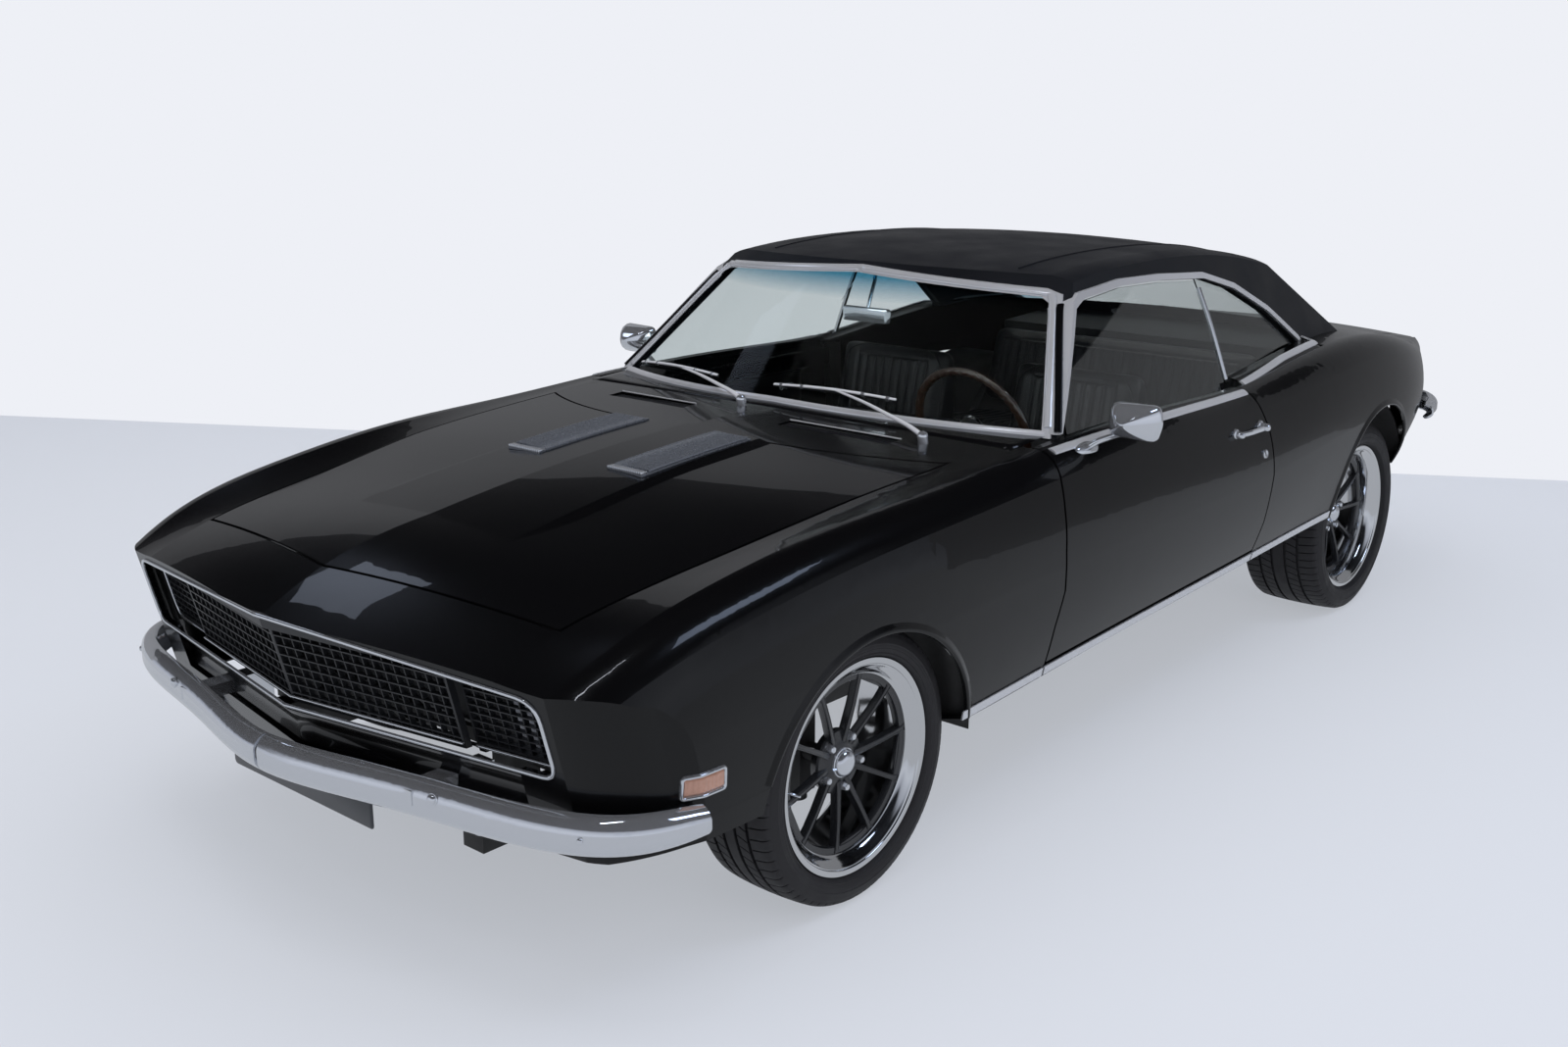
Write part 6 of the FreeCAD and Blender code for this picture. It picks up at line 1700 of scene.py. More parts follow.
@dataclass
class Wipers:
    """Two satin stainless arms, each with a bridge and a rubber blade that lies on the screen."""

    wipes: tuple[tuple[Point, Point, Point], ...] = (
        ((0.560, -0.806, 0.0), (-0.030, -0.689, 0.948), (0.357, -0.660, 0.953)),
        ((-0.046, -0.806, 0.0), (-0.686, -0.559, 0.926), (-0.255, -0.669, 0.942)))

    def build(self) -> None:
        """Make both wipers as one piece that replaces the CAD pair."""
        cowl = Skin("cowl_panel", "hood")
        glass = Skin("windshield", "cowl_panel", "bright_mouldings", "front_fenders")
        parts: list[Piece] = []
        for number, (pivot, start, end) in enumerate(self.wipes):
            parts += self.one(number, cowl, glass, pivot, start, end)
        PARTS.put(joined("windscreen_wipers", parts), Body.CAR, "chrome", "wipers")

    def one(self, number: int, cowl: Skin, glass: Skin, pivot: Point, start: Point,
            end: Point) -> list[Piece]:
        """One arm, its cap, its bridge and its blade."""
        base = cowl.top(pivot[0], pivot[1])
        foot = base[0] if base else Vector((pivot[0], pivot[1], 0.90))
        a, b = (self.on_glass(glass, Vector(p), 0.010) for p in (start, end))
        middle = a.lerp(b, 0.52)
        top = foot + Vector((0, 0, 0.020))
        knee = top.lerp(middle, 0.30) + Vector((0, 0, 0.010))
        tip = middle + Vector((0, -0.004, 0.010))
        arm_path = course([top, top.lerp(knee, 0.5) + Vector((0, 0, 0.003)), knee,
                                       knee.lerp(tip, 0.5) + Vector((0, 0, 0.004)), tip], 0.01)
        scales = [1.0 - 0.5 * k / (len(arm_path) - 1) for k in range(len(arm_path))]
        up = Vector((0, -0.35, 1.0)).normalized()
        arm = swept(f"arm{number}", arm_path,
            [(0.0065, -0.0030), (0.0065, 0.0008), (0.0035, 0.0032), (-0.0035, 0.0032),
            (-0.0065, 0.0008), (-0.0065, -0.0030)], up, ARM_METAL, scales=scales)
        cap = turned(f"cap{number}", [(-0.022, 0.0), (-0.022, 0.0135), (-0.002, 0.0135),
            (0.004, 0.0125), (0.0085, 0.0090), (0.0105, 0.0)], CHROME, 28, crease=50.0)
        placed(cap, frame_at(top, (0, -0.2, 1.0), (0, 1, 0)))
        line = [self.on_glass(glass, a.lerp(b, k / 16), 0.0045) for k in range(17)]
        off_glass = Vector((0, -0.55, 0.83))
        rubber = swept(f"rubber{number}", line,
            [(0.0012, -0.004), (0.0030, 0.0030), (-0.0030, 0.0030), (-0.0012, -0.004)], off_glass,
            SEAL)
        lift = [p + off_glass * (0.0055 + 0.004 * math.sin(math.pi * k / 16))
            for k, p in enumerate(line)]
        bow = swept(f"bow{number}", lift, [(0.0040, -0.0012), (0.0034, 0.0012), (-0.0034, 0.0012),
                                           (-0.0040, -0.0012)], off_glass, ARM_METAL)
        claws = []
        for share in (0.05, 0.27, 0.73, 0.95):
            spot = lift[int(round(share * 16))]
            claw = box_mesh(f"claw{number}", (-0.0055, -0.0048, -0.0075), (0.0055, 0.0048, 0.0020),
                CHROME, 0.0008)
            claws.append(placed(claw, frame_at(spot, (b - a), off_glass)))
        bridge_line = [lift[4], lift[6].lerp(tip, 0.55), tip, lift[10].lerp(tip, 0.55), lift[12]]
        bridge = swept(f"bridge{number}", course(bridge_line, 0.008),
            [(0.0045, -0.0015), (0.0036, 0.0016), (-0.0036, 0.0016), (-0.0045, -0.0015)],
            off_glass, ARM_METAL)
        return [arm, cap, rubber, bow, bridge] + claws

    @staticmethod
    def on_glass(glass: Skin, spot: Vector, lift: float) -> Vector:
        """The place just off the screen that lies below or behind a spot."""
        hit = glass.ray((spot.x, spot.y - 0.6, spot.z + 0.36), (0, 1.0, -0.60))
        if not hit or (hit[0] - spot).length > 0.12:
            return spot + Vector((0, -0.5, 0.8)).normalized() * lift
        return hit[0] + hit[1] * lift


@dataclass
class HoodVents:
    """Finned bright inserts in the hood: a ribbed nose and a long grooved plate."""

    def build(self) -> None:
        """Make both inserts on the hood's own slope."""
        low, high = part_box("hood_vents")
        skin = Skin("hood")
        for side in Side:
            x0, x1 = 0.120, high[0] - 0.002
            y0, y1 = low[1], high[1] - 0.004
            parts: list[Piece] = []
            plate_points: list[Vector] = []
            rows, columns = 46, 12
            for i in range(rows + 1):
                for k in range(columns + 1):
                    x = side.value * (x0 + (x1 - x0) * k / columns)
                    y = y0 + (y1 - y0) * i / rows
                    hit = skin.top(x + 0.0003, y + 0.0002)
                    edge = min(k, columns - k, i, rows - i)
                    rise = 0.0068 if edge > 0 else 0.0046
                    plate_points.append(
                        Vector((x, y, (hit[0].z if hit else high[2] - 0.008) + rise)))
            wide = columns + 1
            top = [p + Vector((0, 0, -0.0010)) for p in plate_points]
            faces = lattice(rows + 1, wide)
            count = len(top)
            under = [p + Vector((0, 0, -0.010)) for p in top]
            loop = border(rows + 1, wide)
            walls = [(loop[n], loop[(n + 1) % len(loop)], count + loop[(n + 1) % len(loop)],
                      count + loop[n]) for n in range(len(loop))]
            faces += [tuple(count + v for v in f) for f in faces] + walls
            parts.append(mesh_object("vent_plate", top + under, faces, VENT_METAL))
            spread = Vector((side.value * (x1 - x0) / 17, 0, 0))
            rib_line = plate_points[3 * wide:-wide:wide]
            ribs = [p + spread * 0.5 + Vector((0, 0, -0.0006)) for p in rib_line]
            rib = swept("vent_rib", ribs, [(0.0019, -0.002), (0.0013, 0.0016), (-0.0013, 0.0016),
                                           (-0.0019, -0.002)], Vector((0, 0, 1)), VENT_METAL)
            parts.append(Repeat(17, tuple(ribs[0]), shift=tuple(spread)).make(
                rib, VENT_METAL, "vent_ribs"))
            tooth = box_mesh("tooth", (side.value * (x0 + 0.004) - 0.0024, y0 - 0.0008,
                                      plate_points[0].z - 0.0060),
                             (side.value * (x0 + 0.004) + 0.0024, y0 + 0.018,
                              plate_points[0].z + 0.0020), CHROME, 0.0008)
            step = side.value * (x1 - x0 - 0.008) / 15
            parts.append(Repeat(16, (side.value * (x0 + 0.004), y0, plate_points[0].z),
                                shift=(step, 0, 0)).make(tooth, CHROME, "vent_teeth"))
            vent = joined(f"{side.word}_hood_vent", parts)
            PARTS.put(vent, Body.HOOD, "chrome", "hood_vents")
# ------------------------------------------------------------------ upholstery
@dataclass
class Pad:
    """One upholstered pad: a side-view outline carried across the car and crowned at its ends."""

    name: str
    outline: tuple[Point, ...]
    centre: float
    half: float
    face: Point
    pleats: int
    pleat_half: float
    window: tuple[float, float]
    voxel: float = 0.007
    cap: float = 0.010

    def make(self) -> Piece:
        """Form, swell and sew the pad."""
        return self.sewn(self.swollen(self.form()))

    def form(self) -> Piece:
        """The slack form: the outline at stations across the car, pulled in at both ends."""
        loop = [Vector((0, y, z)) for y, z in rounded(self.outline, 5)]
        middle = sum(loop, Vector()) / len(loop)
        points: list[Vector] = []
        stations = ((-1.0, 0.60), (-0.985, 0.80), (-0.94, 0.90), (-0.85, 0.955), (-0.6, 0.985),
            (0, 1.0), (0.6, 0.985), (0.85, 0.955), (0.94, 0.90), (0.985, 0.80), (1.0, 0.60))
        for share, size in stations:
            reach = 0.040 * (1 - size) / 0.40
            for p in loop:
                out = p - middle
                spot = middle + out * max(1 - reach / max(out.length, 0.03), 0.3)
                points.append(Vector((self.centre + self.half * share, spot.y, spot.z)))
        faces = lattice(len(stations), len(loop), True, capped=True)
        piece = mesh_object(self.name, points, faces, SEAT_VINYL)
        remesh = piece.modifiers.new("cells", "REMESH")
        remesh.mode, remesh.voxel_size = "VOXEL", self.voxel
        return finished(piece)

    def swollen(self, piece: Piece) -> Piece:
        """Blow the pad up under its cover, with a cap on how far any point moves."""
        before = [v.co.copy() for v in piece.data.vertices]
        cloth = piece.modifiers.new("cover", "CLOTH")
        settings = cloth.settings
        settings.quality, settings.mass = 4, 0.3
        settings.tension_stiffness = settings.compression_stiffness = 18.0
        settings.bending_stiffness = 1.5
        settings.use_pressure, settings.uniform_pressure_force = True, 4.0
        settings.effector_weights.gravity = 0.0
        cloth.collision_settings.use_collision = False
        cloth.point_cache.frame_start, cloth.point_cache.frame_end = 1, 20
        for step in range(1, 21):
            bpy.context.scene.frame_set(step)
        piece = finished(piece)
        bpy.context.scene.frame_set(1)
        for vertex, start in zip(piece.data.vertices, before):
            move = vertex.co - start
            if move.length > self.cap:
                vertex.co = start + move.normalized() * self.cap
        return piece

    def sewn(self, piece: Piece) -> Piece:
        """One subdivision, then the channels and the seam round them."""
        piece.modifiers.new("finer", "SUBSURF").levels = 1
        piece.modifiers[0].render_levels = 1
        piece = finished(piece)
        way = Vector(self.face).normalized()
        along = Vector((0, -way.z, way.y))
        spans = [along.dot(Vector((0, y, z))) for y, z, _ in self.outline]
        low, high = min(spans), max(spans)
        start, end = (low + (high - low) * share for share in self.window)
        pitch = 2 * self.pleat_half / self.pleats
        normals = [n.vector.copy() for n in piece.data.vertex_normals]
        for vertex, normal in zip(piece.data.vertices, normals):
            facing = min(max((normal.dot(way) - 0.35) / 0.3, 0.0), 1.0)
            if not facing:
                continue
            x, run = vertex.co.x - self.centre, along.dot(vertex.co)
            across = abs(x) - self.pleat_half
            inside = min(max((run - start) / 0.012, 0), 1) * min(max((end - run) / 0.012, 0), 1)
            depth = 0.0
            if across < pitch * 0.5 and inside:
                off = (x / pitch - round(x / pitch)) * pitch if self.pleats % 2 == 0 else (
                    (x / pitch - 0.5) - round(x / pitch - 0.5)) * pitch
                depth = 0.0050 * math.exp(-(off / 0.0052) ** 2) * inside
            if across < 0.004:
                for edge in (start, end):
                    depth = max(depth, 0.0045 * math.exp(-((run - edge) / 0.005) ** 2))
            if self.window[0] - 0.1 < 1 and start - 0.004 < run < end + 0.004:
                depth = max(depth, 0.0045 * math.exp(-(across / 0.005) ** 2))
            vertex.co -= normal * (depth * facing)
        dress(piece, SEAT_VINYL, 80.0)
        return piece

    def piping(self, piece: Piece, loop: Sequence[Point], way: Point) -> Piece:
        """A sewn cord that lies on the pad along a loop, found by rays."""
        tree = BVHTree.FromPolygons([v.co for v in piece.data.vertices],
                                    [list(p.vertices) for p in piece.data.polygons])
        line = []
        for spot in course(loop, 0.008):
            hit = tree.ray_cast(spot, Vector(way))
            if hit[0]:
                line.append(hit[0] + hit[1] * 0.0008)
        return Bead(0.0026, 7).make(line, SEAT_VINYL, "piping")


@dataclass
class Seats:
    """Low-back buckets with a pleated middle, on steel runners, and a pleated rear bench."""

    across: float = 0.345
    cushion: tuple[Point, ...] = (
        (-0.150, 0.462, 0.02), (-0.206, 0.478, 0.02), (-0.208, 0.552, 0.035),
        (-0.150, 0.572, 0.05), (0.030, 0.550, 0.10), (0.222, 0.548, 0.02), (0.236, 0.466, 0.02),
        (0.150, 0.456, 0.02))
    squab: tuple[Point, ...] = (
        (0.200, 0.560, 0.02), (0.268, 0.880, 0.06), (0.276, 0.926, 0.018), (0.312, 0.918, 0.018),
        (0.334, 0.850, 0.05), (0.322, 0.545, 0.02))
    bench: tuple[Point, ...] = (
        (0.728, 0.530, 0.02), (0.712, 0.596, 0.03), (0.900, 0.580, 0.08), (1.040, 0.574, 0.02),
        (1.056, 0.545, 0.01))
    back: tuple[Point, ...] = (
        (1.034, 0.580, 0.02), (1.110, 0.840, 0.06), (1.136, 0.880, 0.02), (1.180, 0.874, 0.02),
        (1.192, 0.850, 0.02), (1.192, 0.660, 0.02), (1.130, 0.640, 0.02))

    def build(self) -> None:
        """Make the four bucket pads, their runners, and the bench's two pads."""
        x = self.across
        cushion = Pad("bucket_cushion", self.cushion, x, 0.228, (0, 0, 1), 8, 0.150, (0.16, 0.84))
        squab = Pad("bucket_squab", self.squab, x, 0.224, (0, -0.97, 0.22), 8, 0.140, (0.12, 0.62))
        made = {"cushion": cushion.make(), "squab": squab.make()}
        front = self.loop((0.205, 0.16), (0.208, -0.05), (0.200, -0.150), (0.150, -0.188),
                          (0.0, -0.190))
        top = self.loop((0.200, 0.60), (0.205, 0.74), (0.198, 0.850), (0.150, 0.905),
                        (0.0, 0.916))
        lines = {"cushion": cushion.piping(made["cushion"], [(u, v, 0.9) for u, v in front],
                                           (0, 0, -1)),
                 "squab": squab.piping(made["squab"], [(u, -0.3, v) for u, v in top], (0, 1, 0))}
        for side in Side:
            for part, pad in made.items():
                shift = Matrix.Translation((0 if side is Side.LEFT else -2 * x, 0, 0))
                copy = linked(f"{side.word}_bucket_{part}", pad.data.copy())
                PARTS.put(placed(copy, shift), Body.CAR, "trim_vinyl", "front_seats")
                cord = linked(f"{side.word}_{part}_piping", lines[part].data.copy())
                PARTS.put(placed(cord, shift), Body.CAR, "trim_vinyl")
        for spare in (*made.values(), *lines.values()):
            bpy.data.objects.remove(spare)
        self.runners()
        for name, outline, face, window in (
                ("rear_bench_cushion", self.bench, (0, 0, 1), (0.12, 0.90)),
                ("rear_bench_squab", self.back, (0, -0.96, 0.28), (0.16, 0.86))):
            pad = Pad(name, outline, 0.0, 0.528, face, 24, 0.470, window, voxel=0.008).make()
            PARTS.put(pad, Body.CAR, "trim_vinyl", "rear_seat")

    def loop(self, *half: tuple[float, float]) -> list[tuple[float, float]]:
        """A line across a bucket, from its right half, whose last point is in the middle."""
        return ([(self.across - u, v) for u, v in half]
                + [(self.across + u, v) for u, v in half[-2::-1]])

    def runners(self) -> None:
        """Steel runners under each bucket, on the floor."""
        floor = Skin("floor_pan")
        for side in Side:
            rails = []
            for off in (-0.18, 0.18):
                x = side.value * self.across + off
                ground = max(hit[0].z for hit in (floor.ray((x, y, 0.46), (0, 0, -1))
                                                  for y in (-0.14, 0.04, 0.22)) if hit)
                rails.append(box_mesh("runner", (x - 0.013, -0.150, ground + 0.001),
                                      (x + 0.013, 0.230, ground + 0.026), STEEL, 0.004))
                rails.append(box_mesh("riser", (x - 0.009, -0.120, ground + 0.024),
                                      (x + 0.009, 0.205, 0.462), CHASSIS, 0.005))
            PARTS.put(joined(f"{side.word}_seat_runners", rails), Body.CAR, "trim_vinyl",
                "front_seats")


# ------------------------------------------------------------------ cabin fittings
@dataclass
class SteeringWheel:
    """Wood rim with finger grips on a drilled alloy spider, and a plain horn cap."""

    centre: Point = (0.336, -0.262, 0.815)
    way: Point = (0.0, -0.940, -0.342)
    radius: float = 0.178
    thick: float = 0.0128
    grips: int = 44

    def build(self) -> None:
        """Make the wheel flat and lean it on its column."""
        place = frame_at(self.centre, self.way, (0, -0.342, 0.940))
        rivet = turned("rivet", [(-0.0006, 0.0), (0.0, 0.0016), (0.0012, 0.0012), (0.0016, 0.0)],
            POLISHED, 8, (self.thick - 0.0010, 0, self.radius))
        rivets = Repeat(22, turn=(math.tau / 22, 0, 0)).make(rivet, POLISHED, "rim_rivets")
        inlay = revolved("inlay", [(-0.0014, self.radius - self.thick - 0.0004),
            (0.0014, self.radius - self.thick - 0.0004),
            (0.0014, self.radius + self.thick + 0.0004),
            (-0.0014, self.radius + self.thick + 0.0004)], (0, 0, 0), POLISHED, 120)
        cap = turned("horn_cap", [(0.050, 0.0), (0.050, 0.030), (0.012, 0.036), (-0.002, 0.036),
                                    (-0.010, 0.030), (-0.013, 0.018), (-0.014, 0.0)], DASH, 48)
        ring = revolved("cap_ring", [(-0.004, 0.036), (-0.004, 0.039), (0.001, 0.041),
            (0.004, 0.036)], (0, 0, 0), POLISHED, 48)
        parts = [self.rim(), inlay, rivets, cap, ring] + [self.arm(k) for k in range(3)]
        PARTS.put(joined("wood_rim_wheel", [placed(p, place) for p in parts]),
                  Body.STEERING, "wood_rim", "steering_wheel")

    def rim(self) -> Piece:
        """The rim, scalloped on the side away from the driver."""
        points: list[Point] = []
        steps, sides = self.grips * 6, 12
        for i in range(steps):
            turn = math.tau * i / steps
            for k in range(sides):
                angle = math.tau * k / sides
                wave = 0.5 + 0.5 * math.cos(self.grips * turn)
                facing = max(math.cos(angle - math.radians(20.0)), 0.0)
                size = self.thick * (1.0 - 0.24 * wave * facing)
                out = self.radius - size * math.sin(angle)
                points.append((size * math.cos(angle), out * math.sin(turn), out * math.cos(turn)))
        faces = lattice(steps, sides, True, True)
        return mesh_object("rim", points, faces, WOOD, 60.0)

    def arm(self, number: int) -> Piece:
        """One flat spoke with three round holes."""
        outline = rounded([(0.022, -0.021, 0.0), (self.radius - 0.010, -0.014, 0.004),
                           (self.radius - 0.010, 0.014, 0.004), (0.022, 0.021, 0.0)], 3)
        points = [(d, u, v) for d in (0.001, 0.004) for u, v in outline]
        faces = lattice(2, len(outline), True, capped=True)
        arm = mesh_object(f"arm{number}", points, faces, POLISHED)
        drills = joined("drills",
            [turned("drill", [(-0.01, 0.0), (-0.01, r), (0.02, r), (0.02, 0.0)], POLISHED, 24,
            (0, u, 0)) for u, r in ((0.070, 0.0105), (0.103, 0.0092), (0.134, 0.0080))])
        cut = arm.modifiers.new("holes", "BOOLEAN")
        cut.object, cut.operation, cut.solver = drills, "DIFFERENCE", "EXACT"
        arm = finished(arm)
        bpy.data.objects.remove(drills)
        arm.data.materials.clear()
        dress(arm, SPOKE_PAINT)
        return placed(arm, Matrix.Rotation((0.0, math.pi, -math.pi / 2)[number], 4, "X"))


@dataclass
class Cabin:
    """Dash instruments and trim, inside mirror, door cards and shifter."""

    def build(self) -> None:
        """Make them."""
        self.mirror()
        self.instruments()
        self.shifter()
        self.door_cards()

    def mirror(self) -> None:
        """Chrome-backed mirror on a bent stem from the header."""
        outline = rounded([(-0.081, -0.021, 0.008), (0.081, -0.021, 0.008), (0.083, 0.021, 0.010),
                           (-0.083, 0.021, 0.010)], 5)
        centre = Vector((0, -0.322, 1.110))
        rows = ((-0.0085, 0.90), (-0.0070, 0.975), (0.0, 1.0), (0.0070, 1.0), (0.0082, 0.96))
        points = [centre + Vector((u * s, d, v * s)) for d, s in rows for u, v in outline]
        faces = lattice(len(rows), len(outline), True, capped=True)
        shell = mesh_object("shell", points, faces, CHROME)
        glass = mesh_object("glass",
            [centre + Vector((u * 0.93, 0.0086, v * 0.90)) for u, v in outline],
            [tuple(range(len(outline)))], MIRROR)
        stem = swept("stem", course([(0, -0.3165, 1.120), (0, -0.306, 1.150), (0, -0.294, 1.180),
                                                 (0, -0.284, 1.205), (0, -0.280, 1.230)], 0.006),
                     round_section(0.0055, 12), Vector((1, 0, 0)), CHROME)
        knob = turned("knob", [(-0.009, 0.0), (-0.008, 0.006), (0.0, 0.010), (0.008, 0.006),
            (0.009, 0.0)], CHROME, 24, (0, -0.3145, 1.122))
        PARTS.put(joined("inside_mirror_head", [shell, glass, stem, knob]), Body.CAR, "chrome",
                  "inside_mirror")

    def instruments(self) -> None:
        """Round dials in a black face under the hood, and knobs on the dash."""
        dash = Skin("dashboard")
        parts: list[Piece] = []
        for x, z, r in ((0.246, 0.778, 0.040), (0.424, 0.778, 0.040), (0.335, 0.800, 0.024),
                        (0.335, 0.744, 0.022), (0.193, 0.768, 0.015)):
            hit = dash.ray((x, 0.0, z), (0, -1, 0))
            if not hit:
                continue
            place = frame_at(hit[0] + hit[1] * 0.0006, hit[1], (0, 0, 1))
            ring = revolved("bezel", [(0.0, r + 0.003), (0.005, r + 0.002), (0.006, r),
                (0.001, r - 0.002)], (0, 0, 0), CHROME, 40)
            face = turned("face", [(0.0006, 0.0), (0.0006, r - 0.0015), (0.0002, r)], DIAL, 40)
            tick = box_mesh("tick", (0.0008, -0.0006, r * 0.80), (0.0012, 0.0006, r * 0.93),
                MARKING, 0.0)
            ticks = Repeat(19, start=(math.radians(-135), 0, 0),
                turn=(math.radians(15), 0, 0)).make(tick, MARKING, "ticks")
            needle = box_mesh("needle", (0.0014, -0.0007, -0.004), (0.0022, 0.0007, r * 0.78),
                MARKING, 0.0)
            placed(needle, Matrix.Rotation(math.radians(-118), 4, "X"))
            parts += [placed(p, place) for p in (ring, face, ticks, needle)]
        for x in (0.110, 0.150, -0.110):
            hit = dash.ray((x, 0.0, 0.715), (0, -1, 0))
            if hit:
                knob = turned("knob", [(0.0, 0.005), (0.008, 0.006), (0.010, 0.011),
                    (0.018, 0.010), (0.019, 0.0)], CHROME, 20)
                parts.append(placed(knob, frame_at(hit[0], (0, 1, 0), (0, 0, 1))))
        PARTS.put(joined("dash_instruments", parts), Body.CAR, "dash_plastic")

    def shifter(self) -> None:
        """Shift lever with a round knob and its boot, on the console."""
        console = Skin("dashboard").top(0.0, -0.05)
        foot = console[0] if console else Vector((0, -0.05, 0.585))
        boot = turned("boot", [(0.0, 0.050), (0.006, 0.048), (0.014, 0.036), (0.018, 0.038),
            (0.026, 0.026), (0.031, 0.027), (0.040, 0.014), (0.052, 0.007), (0.052, 0.0)], SEAL,
            32)
        lever = swept("lever",
            course([foot + Vector((0, 0, 0.04)), foot + Vector((0, 0.012, 0.10)),
            foot + Vector((0, 0.020, 0.150))], 0.01), round_section(0.0052, 10), Vector((1, 0, 0)),
            CHROME)
        knob = turned("knob", [(-0.020, 0.0), (-0.017, 0.012), (-0.006, 0.020), (0.006, 0.0205),
                                 (0.017, 0.013), (0.021, 0.0)], WOOD, 28)
        placed(knob, frame_at(foot + Vector((0, 0.021, 0.166)), (0, 0.1, 1), (0, 1, 0)))
        placed(boot, frame_at(foot + Vector((0, 0, 0.0008)), (0, 0, 1), (0, 1, 0)))
        PARTS.put(joined("shift_lever", [boot, lever, knob]), Body.CAR, "dash_plastic")

    def door_cards(self) -> None:
        """Grained door trim with a pleated panel, armrest, crank and pull on each door."""
        for side in Side:
            door = Skin(f"{side.word}_door")
            rows, columns = 24, 60
            grid: list[Vector] = []
            for r in range(rows + 1):
                for c in range(columns + 1):
                    y, z = -0.560 + 0.860 * c / columns, 0.470 + 0.330 * r / rows
                    hit = door.ray((side.value * 0.60, y, z), (side.value, 0, 0))
                    x = side.value * 0.742 if not hit or abs(hit[0].x) > 0.80 else hit[0].x
                    rim = min(c, columns - c, r, rows - r)
                    swell = 0.0065 if rim > 1 else 0.0045 * min(rim, 1) + 0.0012
                    if 4 < r < 17 and 6 < c < columns - 6:
                        swell -= 0.0022 * (1.0 if c % 4 == 0 else 0.0)
                    grid.append(Vector((x - side.value * swell, y, z)))
            wide = columns + 1
            card = mesh_object("card", grid, lattice(rows + 1, wide), SEAT_VINYL, 80.0)
            card = thickened(card, 0.002)
            x = grid[(rows // 2) * wide + columns // 2].x - side.value * 0.001
            low, high = sorted((x, x - side.value * 0.030))
            rest = box_mesh("armrest", (low, -0.120, 0.655), (high, 0.230, 0.690), DASH, 0.012, 4)
            crank = turned("crank", [(0.0, 0.017), (0.006, 0.015), (0.009, 0.007), (0.009, 0.0)],
                CHROME, 28)
            handle = box_mesh("handle", (0.006, -0.006, -0.004), (0.011, 0.006, 0.082), CHROME,
                0.002)
            knob = turned("knob", [(0.009, 0.007), (0.022, 0.009), (0.025, 0.0)], DASH, 20)
            knob = placed(knob, Matrix.Translation((0, 0, 0.074)))
            turn = frame_at((x, -0.180, 0.600), (-side.value, 0, 0), (0, 0.6, -0.8))
            pull = box_mesh("pull", (0.004, -0.008, -0.010), (0.012, 0.060, 0.010), CHROME, 0.003)
            pull_at = frame_at((x, 0.180, 0.740), (-side.value, 0, 0), (0, 0, 1))
            parts = [card, rest] + [placed(p, turn) for p in (crank, handle, knob)] + [
                placed(pull, pull_at)]
            PARTS.put(joined(f"{side.word}_door_card", parts), side.door, "trim_vinyl")


